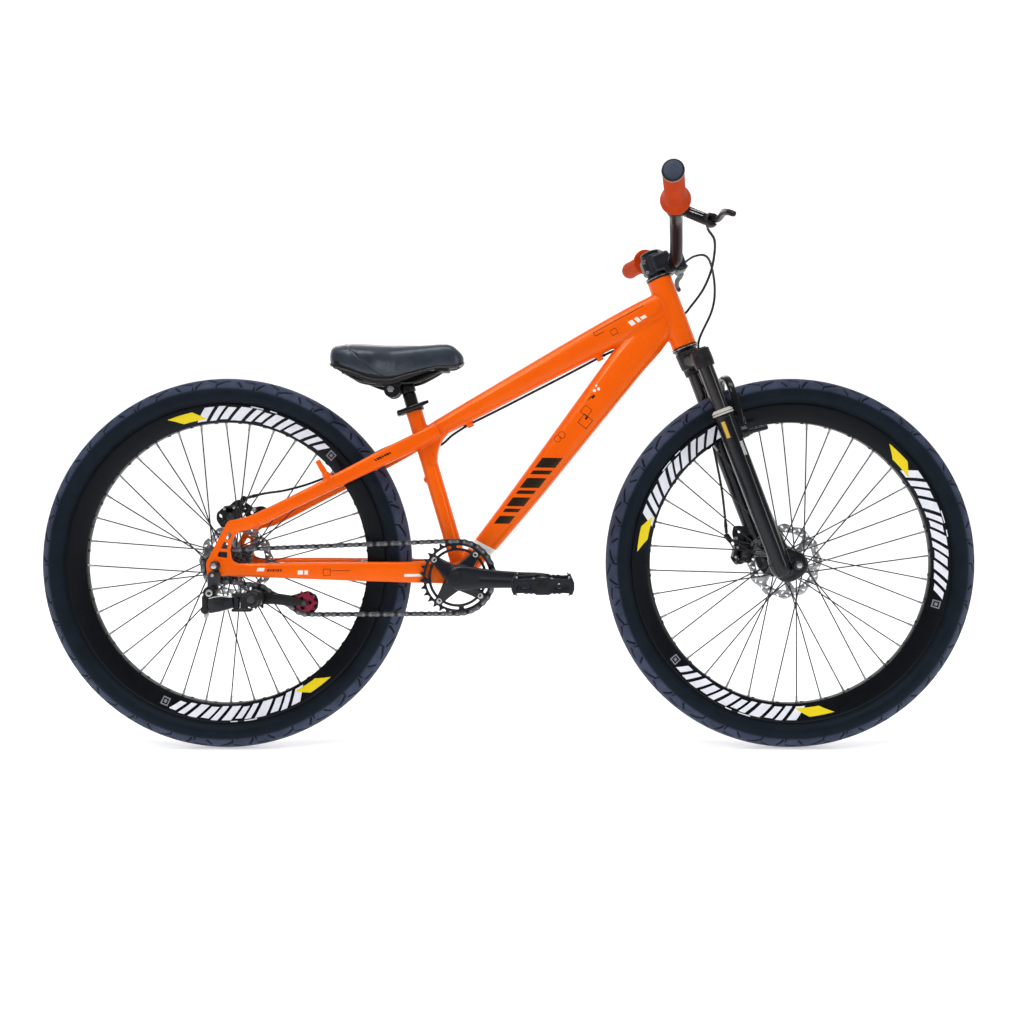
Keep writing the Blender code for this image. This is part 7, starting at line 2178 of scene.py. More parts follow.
def build_stem():
    parts = [
        cyl(steer(0, 0, 0.1400), steer(0, 0, 0.1765), 0.0190, STEM_BLACK, 64, bevel=0.0012),
        box((0.0330, 0.0460, 0.0330), facing(steer(0.0130, 0, 0.1570), STEER_UP, STEER_FWD), STEM_BLACK, bevel=0.0050, segs=4),
        box((0.0240, 0.0460, 0.0340), facing(steer(CLAMP_FWD - 0.0125, 0, CLAMP_UP), STEER_UP, STEER_FWD), STEM_BLACK, bevel=0.0040, segs=4),
        box((0.0180, 0.0300, 0.0300), facing(steer(-0.0130, 0, 0.1575), STEER_UP, STEER_FWD), STEM_BLACK, bevel=0.0050, segs=4),
    ]
    body = melt(parts, 0.0007, STEM_BLACK, rounds=4, soft=3)
    cutters = [
        cyl(steer(0, 0, 0.12), steer(0, 0, 0.20), STEERER_R + 0.0006, None, 48, bevel=0),
        cyl(BAR_CLAMP - LEFT * 0.05, BAR_CLAMP + LEFT * 0.05, 0.0131, None, 56, bevel=0),
        cyl(steer(0, 0, 0.11), steer(0, 0, 0.1397), 0.0250, None, 48, bevel=0),
        box((0.0120, 0.08, 0.08), facing(steer(CLAMP_FWD + 0.0062, 0, CLAMP_UP), STEER_UP, STEER_FWD), None, bevel=0),
        box((0.0300, 0.0022, 0.0500), facing(steer(-0.0240, 0, 0.1570), STEER_UP, STEER_FWD), None, bevel=0),
    ]
    for side in (-1, 1):
        for up, run in ((0.1655, 0.0300), (0.1490, 0.0260)):
            cutters.append(box((run, 0.0030, 0.0016), facing(steer(0.0120, 0.0238 * side, up), STEER_UP, STEER_FWD), None, bevel=0.0003, segs=1))
    carve(body, cutters)
    body.data.set_sharp_from_angle(angle=math.radians(38))
    bolts = []
    for up in (0.1475, 0.1665):
        bolts.append(socket_bolt(steer(-0.0175, -0.0140, up), -LEFT, 0.0032, 0.0022, POLISHED, 0.5, 24))
        bolts.append(socket_bolt(steer(-0.0175, 0.0140, up), LEFT, 0.0032, 0.0022, POLISHED, 0.5, 24))
    piece("stem_piece", "steering", [body, *bolts], "stem")
    face = box((0.0180, 0.0440, 0.0400), facing(steer(CLAMP_FWD + 0.0096, 0, CLAMP_UP), STEER_UP, STEER_FWD), STEM_BLACK, bevel=0.0050, segs=4)
    window = box((0.0300, 0.0180, 0.0150), facing(steer(CLAMP_FWD + 0.0150, 0, CLAMP_UP), STEER_UP, STEER_FWD), None, bevel=0.0030, segs=3)
    carve(face, [cyl(BAR_CLAMP - LEFT * 0.05, BAR_CLAMP + LEFT * 0.05, 0.0131, None, 56, bevel=0), window])
    bolts = []
    for s in (-1, 1):
        for u in (-1, 1):
            bolts.append(socket_bolt(steer(CLAMP_FWD + 0.0180, 0.0158 * s, CLAMP_UP + 0.0152 * u), STEER_FWD, 0.0034, 0.0022, POLISHED, 0.5, 24))
    piece("faceplate_piece", "steering", [face, *bolts], "stem_faceplate")
    cap = lathe([(0.0, 0.1784), (0.0170, 0.1784), (0.0175, 0.1790), (0.0175, 0.1812), (0.0168, 0.1820), (0.0130, 0.1833), (0.0060, 0.1835), (0.0056, 0.1826), (0.0, 0.1824)],
                steer(0, 0, 0), STEER_UP, STEM_BLACK, 64, closed=False, sharp=30)
    piece("top_cap_piece", "steering", [cap, socket_bolt(steer(0, 0, 0.1822), STEER_UP, 0.0040, 0.0010, POLISHED, 0.55, 28)], "stem_top_cap")


def build_bar():
    half = [
        (0.8105, 0.8800, 0.0000), (0.8105, 0.8800, 0.0330), (0.8095, 0.8840, 0.0450), (0.8060, 0.8980, 0.0720), (0.8010, 0.9160, 0.1060),
        (0.7985, 0.9240, 0.1240), (0.7958, 0.9272, 0.1420), (0.7842, 0.9325, 0.2200), (0.7632, 0.9415, BAR_HALF),
    ]
    pts = [at(a, u, -s) for a, u, s in half[1:]][::-1] + [at(a, u, s) for a, u, s in half]
    path = smooth_path(pts, 0.0055)
    radii = []
    for p in path:
        y = abs(p.y)
        radii.append(0.0111 + 0.0016 * (1 - float(smoothstep(np.array(y), 0.0250, 0.0420))))
    bar = sweep(path, radii, BAR_BLACK, 40, hint=UP)
    marks = [ring_of(BAR_CLAMP + LEFT * (s * 0.0236), BAR_CLAMP + LEFT * (s * 0.0242), 0.01275, 0.0122, SEAL, 48, 0.00005) for s in (-1, 1)]
    piece("handlebar_piece", "steering", [bar, *marks], "handlebar")


def build_grips():
    for side, tag in ((-1, "right"), (1, "left")):
        inner = at(0.7842, 0.9325, 0.2200 * side)
        outer = at(0.7632, 0.9415, BAR_HALF * side)
        way = (outer - inner).normalized()
        prof = [(0.0115, -0.0008), (0.0222, -0.0010), (0.0240, -0.0006), (0.0249, 0.0006), (0.0250, 0.0024), (0.0243, 0.0048), (0.0222, 0.0084),
                (0.0198, 0.0124), (0.0182, 0.0165), (0.0173, 0.0215)]
        k = 0
        h = 0.0235
        while h < 0.1150:
            prof += [(0.01620, h), (0.01665, h + 0.0007), (0.01665, h + 0.0016), (0.01620, h + 0.0023)]
            h += 0.0030
            k += 1
        prof += [(0.0163, 0.1170), (0.0170, 0.1190), (0.0173, 0.1205), (0.0173, 0.1232), (0.0168, 0.1240), (0.0115, 0.1240)]
        grip = lathe(prof, inner, way, GRIP, 64, closed=True, sharp=60)
        cap = lathe([(0.0, 0.1210), (0.0148, 0.1210), (0.0148, 0.1286), (0.0135, 0.1290), (0.0110, 0.1297), (0.0060, 0.1300), (0.0, 0.1300)],
                    inner, way, CAP_GREY, 64, closed=False, sharp=50)
        rim_ring = lathe([(0.0140, 0.1238), (0.0168, 0.1238), (0.0171, 0.1244), (0.0171, 0.1270), (0.0163, 0.1286), (0.0150, 0.1292), (0.0144, 0.1288), (0.0140, 0.1280)],
                         inner, way, PLASTIC, 64, closed=True, sharp=50)
        # painted highlight: a thin pale ring at the grip's end stands for the light on the lip's edge
        thin = lathe([(0.0160, 0.1232), (0.0174, 0.1232), (0.0176, 0.1236), (0.0174, 0.1241), (0.0160, 0.1241)], inner, way, SEAL, 64, closed=True)
        obj = piece("grip_piece_" + tag, "steering", [grip, cap, rim_ring, thin], "grip_" + tag)


EAR_DROP = math.radians(24.0)
EAR_FWD = Vector((math.cos(EAR_DROP), 0.0, -math.sin(EAR_DROP)))
EAR_UP = Vector((math.sin(EAR_DROP), 0.0, math.cos(EAR_DROP)))
LEVER_PIVOT = {}


def build_levers():
    for side, tag in ((-1, "right"), (1, "left")):
        inner = at(0.7842, 0.9325, 0.2200 * side)
        outer = at(0.7632, 0.9415, BAR_HALF * side)
        way = (outer - inner).normalized()
        bar_at = at(0.7897, 0.9300, 0.1830 * side)
        hinge = at(0.8480, 0.9085, 0.1870 * side)
        LEVER_PIVOT[tag] = hinge
        along = (hinge - bar_at).normalized()
        parts = [
            cyl(bar_at - way * 0.0080, bar_at + way * 0.0080, 0.0160, CAST, 56, bevel=0.0014),
            box((0.0480, 0.0140, 0.0168), facing((bar_at + hinge) / 2 + EAR_FWD * 0.002, EAR_UP, hinge - bar_at), CAST, bevel=0.0036, segs=4),
            cyl(hinge - LEFT * 0.0080, hinge + LEFT * 0.0080, 0.0108, CAST, 48, bevel=0.0022),
            box((0.0180, 0.0170, 0.0190), facing(hinge - EAR_FWD * 0.002, EAR_UP, EAR_FWD), CAST, bevel=0.0040, segs=4),
            cyl(hinge - EAR_UP * 0.0092, hinge + EAR_UP * 0.0092, 0.0080, CAST, 40, bevel=0.0014),
        ]
        body = melt(parts, 0.00065, CAST, rounds=4, soft=2)
        cutters = [
            cyl(bar_at - way * 0.03, bar_at + way * 0.03, 0.0116, None, 48, bevel=0),
            box((0.0300, 0.0500, 0.0078), facing(hinge + EAR_FWD * 0.0070, EAR_UP, EAR_FWD), None, bevel=0),
            box((0.0200, 0.0300, 0.0016), facing(bar_at - along * 0.0150, EAR_UP, along), None, bevel=0),
        ]
        for s2 in (-1, 1):
            cutters.append(box((0.0240, 0.0030, 0.0014), facing((bar_at + hinge) / 2 + EAR_FWD * 0.003 + LEFT * 0.0073 * s2 + EAR_UP * 0.0036, EAR_UP, along), None, bevel=0))
            cutters.append(box((0.0220, 0.0030, 0.0012), facing((bar_at + hinge) / 2 + EAR_FWD * 0.003 + LEFT * 0.0073 * s2 - EAR_UP * 0.0016, EAR_UP, along), None, bevel=0))
        carve(body, cutters)
        body.data.set_sharp_from_angle(angle=math.radians(38))
        adj_start = hinge - LEFT * side * 0.0060 - EAR_FWD * 0.006
        adj_end = hinge - LEFT * side * 0.0260 - EAR_FWD * 0.002

        def knurl(t, r, h):
            return -0.00035 if r > 0.0048 and 0.0075 < h < 0.0165 and math.sin(12 * t) > 0.1 else 0.0

        length = (adj_end - adj_start).length
        adj = lathe([(0.0, 0.0), (0.0040, 0.0), (0.0040, 0.0068), (0.0052, 0.0072), (0.0052, 0.0076), (0.0052, 0.0164), (0.0052, 0.0170), (0.0034, 0.0176), (0.0030, length), (0.0, length)],
                    adj_start, adj_end - adj_start, ANODISED, 96, closed=False, wobble=knurl)
        screws = [
            socket_bolt(hinge + EAR_UP * 0.0092, EAR_UP, 0.0034, 0.0012, POLISHED, 0.5, 24),
            cyl(hinge - EAR_UP * 0.0100, hinge - EAR_UP * 0.0088, 0.0034, DARK_STEEL, 24),
            socket_bolt(bar_at - along * 0.0090 + EAR_FWD * 0.0220 - EAR_UP * 0.0085 - LEFT * 0.0002, -EAR_UP, 0.0026, 0.0020, POLISHED, 0.5, 20),
        ]
        # painted highlights: thin polished rods along the perch's ridges stand in for the pale streaks of light on them
        ribs = []
        for s2 in (-1, 1):
            for up in (0.0052, 0.0010):
                c = (bar_at + hinge) / 2 + EAR_FWD * 0.003 + LEFT * 0.0068 * s2 + EAR_UP * up
                ribs.append(cyl(c - along * 0.0115, c + along * 0.0115, 0.0007, POLISHED, 10, bevel=0.0002))
        grub = cyl((bar_at + hinge) / 2 - EAR_UP * 0.0062 - along * 0.012, (bar_at + hinge) / 2 - EAR_UP * 0.0082 - along * 0.012, 0.0027, POLISHED, 24, bevel=0.0004)
        piece("lever_perch_piece_" + tag, "steering", [body, adj, *screws, *ribs, grub], "lever_perch_" + tag)

        pts = [
            (hinge, 0.0060, 0.0036),
            (hinge + EAR_FWD * 0.0070 + LEFT * side * 0.0180, 0.0052, 0.0037),
            (hinge + EAR_FWD * 0.0090 + EAR_UP * 0.0010 + LEFT * side * 0.0420, 0.0050, 0.0056),
            (hinge + EAR_FWD * 0.0080 - EAR_UP * 0.0030 + LEFT * side * 0.0700, 0.0050, 0.0056),
            (hinge + EAR_FWD * 0.0130 - EAR_UP * 0.0080 + LEFT * side * 0.0960, 0.0042, 0.0048),
            (hinge + EAR_FWD * 0.0190 - EAR_UP * 0.0104 + LEFT * side * 0.1060, 0.0042, 0.0046),
            (hinge + EAR_FWD * 0.0222 - EAR_UP * 0.0110 + LEFT * side * 0.1098, 0.0034, 0.0038),
        ]
        rows = refine([(*p, thin, tall) for p, thin, tall in pts], 6)
        line = [Vector(r[:3]) for r in rows]
        rings = []
        for i, (p, row) in enumerate(zip(line, rows)):
            run = (line[min(i + 1, len(line) - 1)] - line[max(i - 1, 0)]).normalized()
            across = EAR_UP.cross(run).normalized()
            rings.append(oval(p, across, EAR_UP, row[3], row[4], 28, 2.6))
        blade = loft(rings, BLADE_BLACK)
        hole_at = hinge + EAR_FWD * 0.0170 - EAR_UP * 0.0098 + LEFT * side * 0.1026
        carve(blade, [cyl(hole_at - EAR_FWD * 0.012 - LEFT * side * 0.002, hole_at + EAR_FWD * 0.012 + LEFT * side * 0.002, 0.0021, None, 24, bevel=0)])
        blade.data.set_sharp_from_angle(angle=math.radians(38))
        eye = cyl(hinge - EAR_UP * 0.0037, hinge + EAR_UP * 0.0037, 0.0064, BLADE_BLACK, 40, bevel=0.0006)
        tip_line = [hinge + EAR_FWD * 0.0086 + LEFT * side * 0.0300 + EAR_UP * 0.0044, hinge + EAR_FWD * 0.0088 + LEFT * side * 0.0500 + EAR_UP * 0.0030, hinge + EAR_FWD * 0.0082 + LEFT * side * 0.0680 + EAR_UP * 0.0014]
        barrel = cyl(hinge + EAR_FWD * 0.0042 + LEFT * side * 0.0080 - EAR_UP * 0.0032, hinge + EAR_FWD * 0.0042 + LEFT * side * 0.0080 + EAR_UP * 0.0032, 0.0026, POLISHED, 20)
        piece("brake_lever_piece_" + tag, "lever_" + tag, [blade, eye, barrel], "brake_lever_" + tag)


build_stem()
build_bar()
build_grips()
build_levers()


# ---------------------------------------------------------------- disc calipers
FRONT_CALIPER = steer(AXLE_FWD - 0.0674, 0.0, AXLE_UP + 0.0418)
REAR_CALIPER = at(-0.0090, 0.4210)


# bolted bracket plates beside each caliper: outline, holes and bolt places in world X and Z
FRONT_BRACKET = (
    0.0490,
    [(0.4120, 0.3420), (0.4215, 0.3560), (0.4200, 0.3700), (0.4160, 0.3860), (0.4185, 0.4000), (0.4290, 0.4010), (0.4480, 0.3985), (0.4660, 0.4030),
     (0.4700, 0.3860), (0.4560, 0.3840), (0.4430, 0.3820), (0.4360, 0.3740), (0.4400, 0.3640), (0.4560, 0.3560), (0.4580, 0.3420), (0.4320, 0.3280), (0.4200, 0.3300)],
    [(0.4270, 0.3420, 0.0042), (0.4290, 0.3900, 0.0030), (0.4480, 0.3905, 0.0026)],
    [(0.4586, 0.3935), (0.4225, 0.3770)],
)
REAR_BRACKET = (
    0.0600,
    [(-0.5510, 0.4110), (-0.5505, 0.4243), (-0.5400, 0.4335), (-0.5260, 0.4385), (-0.5165, 0.4475), (-0.5060, 0.4500), (-0.4939, 0.4430), (-0.4807, 0.4340),
     (-0.4690, 0.4285), (-0.4720, 0.4220), (-0.4883, 0.4290), (-0.5000, 0.4350), (-0.5070, 0.4300), (-0.5100, 0.4186), (-0.5221, 0.4036), (-0.5409, 0.3960)],
    [(-0.5415, 0.4200, 0.0046), (-0.5000, 0.4420, 0.0030), (-0.5120, 0.4345, 0.0022), (-0.5300, 0.4295, 0.0024)],
    [(-0.5340, 0.4060), (-0.4800, 0.4300)],
)


def caliper(name, body, node, centre, rotor_y, hub, pull, arm_y, bracket):
    """Cable disc caliper: two jaws, a bridge over the rotor's edge, a dial, pads and ears."""
    radial = (centre - hub).normalized()
    tangent = radial.cross(LEFT).normalized()
    m = facing(Vector((centre.x, rotor_y + 0.0010, centre.z)), tangent, LEFT)
    reach = (centre - hub).length
    edge = reach - 0.0716  # how far in from the block's middle the rotor comes

    def spot(x, y, z):
        return m @ Vector((x, y, z))

    parts = []
    # bridge outside the rotor's edge
    mid = (-0.0178 + edge) / 2
    parts.append(box((0.0262, edge + 0.0178, 0.0240), m @ Matrix.Translation((0.0, mid, 0.0)), CAST, bevel=0.0030, segs=3))
    # outer and inner jaws
    outer = box((0.0105, 0.0350, 0.0340), m @ Matrix.Translation((0.0080, 0.0, 0.0)), CAST, bevel=0.0040, segs=3)
    inner = box((0.0088, 0.0350, 0.0320), m @ Matrix.Translation((-0.0086, 0.0, 0.0)), CAST, bevel=0.0036, segs=3)
    parts += [outer, inner]
    for s in (-1, 1):
        parts.append(cyl(spot(0.0030, -0.0060, 0.0190 * s), spot(0.0128, -0.0060, 0.0190 * s), 0.0046, CAST, 28, bevel=0.0008))
        parts.append(cyl(spot(-0.0120, -0.0060, 0.0175 * s), spot(0.0030, -0.0060, 0.0175 * s), 0.0040, CAST, 28, bevel=0.0008))
    solid = melt(parts, 0.0008, CAST, rounds=3, soft=2)
    cutters = [
        lathe([(0.0, -0.0020), (ROTOR_R + 0.0013, -0.0020), (ROTOR_R + 0.0013, 0.0020), (0.0, 0.0020)], hub + LEFT * rotor_y, LEFT, None, 96, closed=False),
        cyl(spot(0.0095, 0.0005, 0.0), spot(0.0140, 0.0005, 0.0), 0.0118, None, 40, bevel=0),
        cyl(spot(-0.0112, 0.0040, 0.0), spot(-0.0150, 0.0040, 0.0), 0.0078, None, 36, bevel=0),
        box((0.04, 0.0080, 0.0120), m @ Matrix.Translation((0.0, -0.0090, 0.0)), None, bevel=0.0015, segs=2),
        *[cyl(Vector((x, -0.1, z)), Vector((x, 0.1, z)), r, None, 24, bevel=0) for x, z, r in bracket[2]],
        cyl(spot(-0.02, 0.0085, 0.0128), spot(0.02, 0.0085, 0.0128), 0.0026, None, 24, bevel=0),
        cyl(spot(-0.02, 0.0085, -0.0128), spot(0.02, 0.0085, -0.0128), 0.0026, None, 24, bevel=0),
        cyl(spot(-0.02, -0.0155, 0.0155), spot(0.02, -0.0155, 0.0155), 0.0050, None, 24, bevel=0),
        cyl(spot(-0.02, -0.0155, -0.0155), spot(0.02, -0.0155, -0.0155), 0.0050, None, 24, bevel=0),
    ]
    carve(solid, cutters)
    solid.data.set_sharp_from_angle(angle=math.radians(38))
    extra = [solid]
    # dial behind the fixed pad, and the round housing of the moving one
    extra.append(lathe([(0.0, 0.0), (0.0074, 0.0), (0.0074, 0.0022), (0.0066, 0.0028), (0.0030, 0.0028), (0.0028, 0.0014), (0.0, 0.0014)],
                       spot(-0.0110, 0.0040, 0.0), m.to_3x3() @ Vector((-1, 0, 0)), DARK_STEEL, 48, closed=False, wobble=lambda t, r, h: -0.0004 if r > 0.0070 and math.sin(14 * t) > 0 else 0.0))
    extra.append(ring_of(spot(0.0094, 0.0005, 0.0), spot(0.0134, 0.0005, 0.0), 0.0113, 0.0092, ANODISED, 48, 0.0004))
    # pads either side of the rotor
    for x0, x1 in ((0.0014, 0.0030), (-0.0034, -0.0046)):
        extra.append(cyl(spot(x0, edge + 0.0045, 0.0), spot(x1, edge + 0.0045, 0.0), 0.0092, DARK_STEEL, 36, bevel=0.0003))
    for s in (-1, 1):
        extra.append(socket_bolt(spot(0.0128, -0.0060, 0.0190 * s), m.to_3x3() @ Vector((1, 0, 0)), 0.0038, 0.0028, STEEL, 0.5, 24))
        extra.append(cyl(spot(-0.0125, -0.0130, 0.0090 * s), spot(-0.0138, -0.0130, 0.0090 * s), 0.0026, STEEL, 20, bevel=0.0003))
    level, outline, holes, bolts = bracket
    holes = [circle(r, 24, x, z) for x, z, r in holes]
    extra.append(plate([fillet(outline, 0.0040, 4, closed=True), *holes], 0.0040, side_plane(Vector((0.0, level, 0.0))), CAST, bevel=0.0007, rounds=2))
    for x, z in bolts:
        extra.append(socket_bolt(Vector((x, level - 0.0018, z)), -LEFT, 0.0040, 0.0026, STEEL, 0.5, 24))
    piece(name, body, extra, node)


def arm(name, body, node, centre, start_y, reach):
    foot = Vector((centre.x, start_y, centre.z))
    tip = foot + reach
    n = reach.length
    way = reach.normalized()
    side = way.cross(LEFT).normalized()
    m = Matrix((side, way, side.cross(way))).transposed().to_4x4()
    m.translation = foot + LEFT * 0.0028
    outline = []
    for k in range(13):
        a = math.pi + math.pi * k / 12
        outline.append((0.0084 * math.cos(a), 0.0084 * math.sin(a)))
    outline += [(0.0062, n * 0.30), (0.0042, n * 0.62)]
    for k in range(9):
        a = -math.pi * 0.05 + math.pi * 1.1 * k / 8
        outline.append((0.0054 * math.cos(a), n + 0.0054 * math.sin(a)))
    outline += [(-0.0042, n * 0.62), (-0.0062, n * 0.30)]
    window = fillet([(0.0030, n * 0.34), (0.0020, n * 0.64), (-0.0020, n * 0.64), (-0.0030, n * 0.34)], 0.0012, 3, closed=True)
    parts = [plate([outline, window], 0.0030, m, CAST, bevel=0.0005, rounds=2)]
    parts.append(cyl(foot, foot + LEFT * 0.0050, 0.0080, CAST, 40, bevel=0.0008))
    parts.append(socket_bolt(foot + LEFT * 0.0046, LEFT, 0.0042, 0.0016, STEEL, 0.5, 28))
    parts.append(lathe([(0.0, 0.0005), (0.0052, 0.0005), (0.0056, 0.0010), (0.0056, 0.0044), (0.0050, 0.0054), (0.0, 0.0054)], tip, LEFT, ANODISED, 40, closed=False, corner=0.0002))
    parts.append(hex_nut(tip + LEFT * 0.0050, tip + LEFT * 0.0062, 0.0030, STEEL))
    # return spring round the boss
    coil = []
    for k in range(41):
        a = 2 * math.pi * 2.0 * k / 40
        coil.append(foot + side * (0.0088 * math.cos(a)) + way * (0.0088 * math.sin(a)) + LEFT * (0.0004 + 0.0016 * k / 40))
    parts.append(sweep(coil, 0.0005, STEEL, 6, hint=LEFT))
    piece(name, body, parts, node)
    return tip


FRONT_PULL = Vector((FRONT_CALIPER.x - 0.0240, 0.0605, FRONT_CALIPER.z + 0.0300))
REAR_PULL = Vector((REAR_CALIPER.x + 0.0150, 0.0745, REAR_CALIPER.z + 0.0300))
caliper("front_caliper_piece", "fork_lower", "front_caliper", FRONT_CALIPER, FRONT_ROTOR_Y, FRONT_HUB, FRONT_PULL, 0.0605, FRONT_BRACKET)
caliper("rear_caliper_piece", "frame", "rear_caliper", REAR_CALIPER, REAR_ROTOR_Y, REAR_HUB, REAR_PULL, 0.0745, REAR_BRACKET)
arm("front_arm_piece", "front_brake_arm", "front_brake_arm", FRONT_CALIPER, 0.0605, Vector((-0.0240, 0.0, 0.0300)))
arm("rear_arm_piece", "rear_brake_arm", "rear_brake_arm", REAR_CALIPER, 0.0745, Vector((0.0150, 0.0, 0.0300)))


# ---------------------------------------------------------------- chain and sprockets
def arc_radius(teeth):
    return teeth * PITCH / (2 * math.pi)


def tangent_way(c1, r1, c2, r2):
    dx, dz = c2[0] - c1[0], c2[1] - c1[1]
    return math.atan2(dz, dx) - math.asin((r2 - r1) / math.hypot(dx, dz))


def chain_run(tension):
    rounds = [
        (BB, arc_radius(RING_TEETH), RING_Y, "ring"),
        ((0.0, HUB_Z), arc_radius(COG_TEETH[0]), COG_Y, "cog"),
        (GUIDE, -arc_radius(PULLEY_TEETH), COG_Y, "guide"),
        (tension, arc_radius(PULLEY_TEETH), COG_Y, "tension"),
    ]
    ways = [tangent_way(rounds[i][0], rounds[i][1], rounds[(i + 1) % 4][0], rounds[(i + 1) % 4][1]) for i in range(4)]
    run = []
    for i in range(4):
        centre, r, y, tag = rounds[i]
        come, leave = ways[i - 1], ways[i]
        turn = leave - come
        if r > 0:
            while turn < 0:
                turn += 2 * math.pi
            while turn >= 2 * math.pi:
                turn -= 2 * math.pi
        else:
            while turn > 0:
                turn -= 2 * math.pi
            while turn <= -2 * math.pi:
                turn += 2 * math.pi
        run.append(("arc", (centre, r, y, tag, come, turn), abs(r * turn)))
        nxt = rounds[(i + 1) % 4]

        def touch(c, radius, way):
            return (c[0] + radius * math.sin(way), c[1] - radius * math.cos(way))

        a = touch(centre, r, leave)
        b = touch(nxt[0], nxt[1], leave)
        run.append(("line", (a, b, y, nxt[2], leave), math.hypot(b[0] - a[0], b[1] - a[1])))
    return run


TENSION = (GUIDE[0] + CAGE_LEN * math.cos(CAGE_ANGLE), GUIDE[1] + CAGE_LEN * math.sin(CAGE_ANGLE))
RUN = chain_run(TENSION)
LENGTH = sum(length for _, _, length in RUN)
LINKS = 2 * round(LENGTH / PITCH / 2)
LINK = LENGTH / LINKS


def run_point(s):
    for kind, data, length in RUN:
        if s <= length + 1e-12:
            if kind == "line":
                a, b, y0, y1, way = data
                t = s / length
                shift = min(max((s - 0.033) / max(length - 0.055, 0.001), 0.0), 1.0)
                return (a[0] + (b[0] - a[0]) * t, a[1] + (b[1] - a[1]) * t), way, y0 + (y1 - y0) * shift
            centre, r, y, _, come, turn = data
            way = come + turn * s / length
            return (centre[0] + r * math.sin(way), centre[1] - r * math.cos(way)), way, y
        s -= length
    return run_point(0.0)


ARC_PHASE = {}
start = 0.0
for kind, data, length in RUN:
    if kind == "arc":
        k = math.ceil(start / LINK)
        if k * LINK <= start + length:
            way = data[4] + data[5] * (k * LINK - start) / length
            turn_side = 1 if data[1] > 0 else -1
            ARC_PHASE[data[3]] = math.atan2(-turn_side * math.cos(way), turn_side * math.sin(way))
    start += length


def stamp(template, matrices, mat, sharp=38.0):
    """One mesh with a copy of the template at every matrix."""
    base = [v.co.copy() for v in template.data.vertices]
    polys = [list(p.vertices) for p in template.data.polygons]
    verts, faces = [], []
    for m in matrices:
        n = len(verts)
        verts += [m @ c for c in base]
        faces += [[i + n for i in f] for f in polys]
    drop(template)
    return raw(verts, faces, mat, sharp=sharp)


def link_outline(reach, waist):
    pts = []
    for centre, turn in ((LINK / 2, -math.pi / 2), (-LINK / 2, math.pi / 2)):
        for k in range(11):
            a = turn + math.radians(-12) + (math.pi + math.radians(24)) * k / 10
            pts.append((centre + reach * math.cos(a), reach * math.sin(a)))
        pts.append((0.0, waist if centre > 0 else -waist))
    return pts


def build_chain():
    pins = []
    for k in range(LINKS):
        (x, z), _, y = run_point(k * LINK)
        pins.append(at(x, z, y))
    outer, inner, rollers, heads = [], [], [], []
    for k in range(LINKS):
        a, b = pins[k], pins[(k + 1) % LINKS]
        run = (b - a).normalized()
        up = LEFT.cross(run).normalized()
        side = run.cross(up).normalized()
        m = Matrix((run, up, side)).transposed().to_4x4()
        m.translation = (a + b) / 2
        for s in (-1, 1):
            if k % 2 == 0:
                outer.append(m @ Matrix.Translation((0, 0, 0.00315 * s)))
            else:
                inner.append(m @ Matrix.Translation((0, 0, 0.00205 * s)))
        here = m.copy()
        here.translation = a
        rollers.append(here)
        heads.append(here)
    ident = Matrix.Identity(4)
    plate_out = plate([link_outline(0.0042, 0.0032)], 0.0010, ident, CHAIN_STEEL, bevel=0.00022, rounds=1)
    plate_in = plate([link_outline(0.0041, 0.0031)], 0.0010, ident, LINK_DARK, bevel=0.00022, rounds=1)
    roller = cyl(Vector((0, 0, -0.0015)), Vector((0, 0, 0.0015)), 0.0036, LINK_DARK, 20, bevel=0.0003)
    pin = cyl(Vector((0, 0, -0.0040)), Vector((0, 0, 0.0040)), 0.0017, PIN_STEEL, 14, bevel=0.0003)
    parts = [stamp(plate_out, outer, CHAIN_STEEL), stamp(plate_in, inner, LINK_DARK), stamp(roller, rollers, LINK_DARK), stamp(pin, heads, PIN_STEEL)]
    piece("chain_piece", "frame", parts, "chain")


LINK_DARK = plain_metal("link_dark", srgb(52, 48, 48), 0.44, 1.0, 700.0, wear=0.3)
PIN_STEEL = plain_metal("pin_steel", srgb(150, 146, 140), 0.34, 1.0, 700.0, wear=0.2)


def sprocket(teeth, phase, tip=0.0026, seat=0.0039, hooked=0.0):
    """Outline with a round seat for each roller, and teeth between them."""
    r = arc_radius(teeth)
    pts = []
    for k in range(teeth):
        t = phase + 2 * math.pi * k / teeth
        c = Vector((r * math.cos(t), r * math.sin(t)))
        inward = -c.normalized()
        side = Vector((-inward.y, inward.x))  # towards the tooth before this seat
        for j in range(7):
            a = math.radians(-66 + 22 * j)
            p = c + inward * (seat * math.cos(a)) - side * (seat * math.sin(a)) * -1.0 * -1.0
            pts.append((p.x, p.y, k))
        mid = t + math.pi / teeth
        half = 0.0007 / (r + tip)
        pts.append(((r + tip) * math.cos(mid - half), (r + tip) * math.sin(mid - half), k))
        pts.append(((r + tip) * math.cos(mid + half), (r + tip) * math.sin(mid + half), k))
    # order every point by its angle, so that the outline runs one way
    out = sorted(((x, y) for x, y, _ in pts), key=lambda p: math.atan2(p[1], p[0]))
    return out


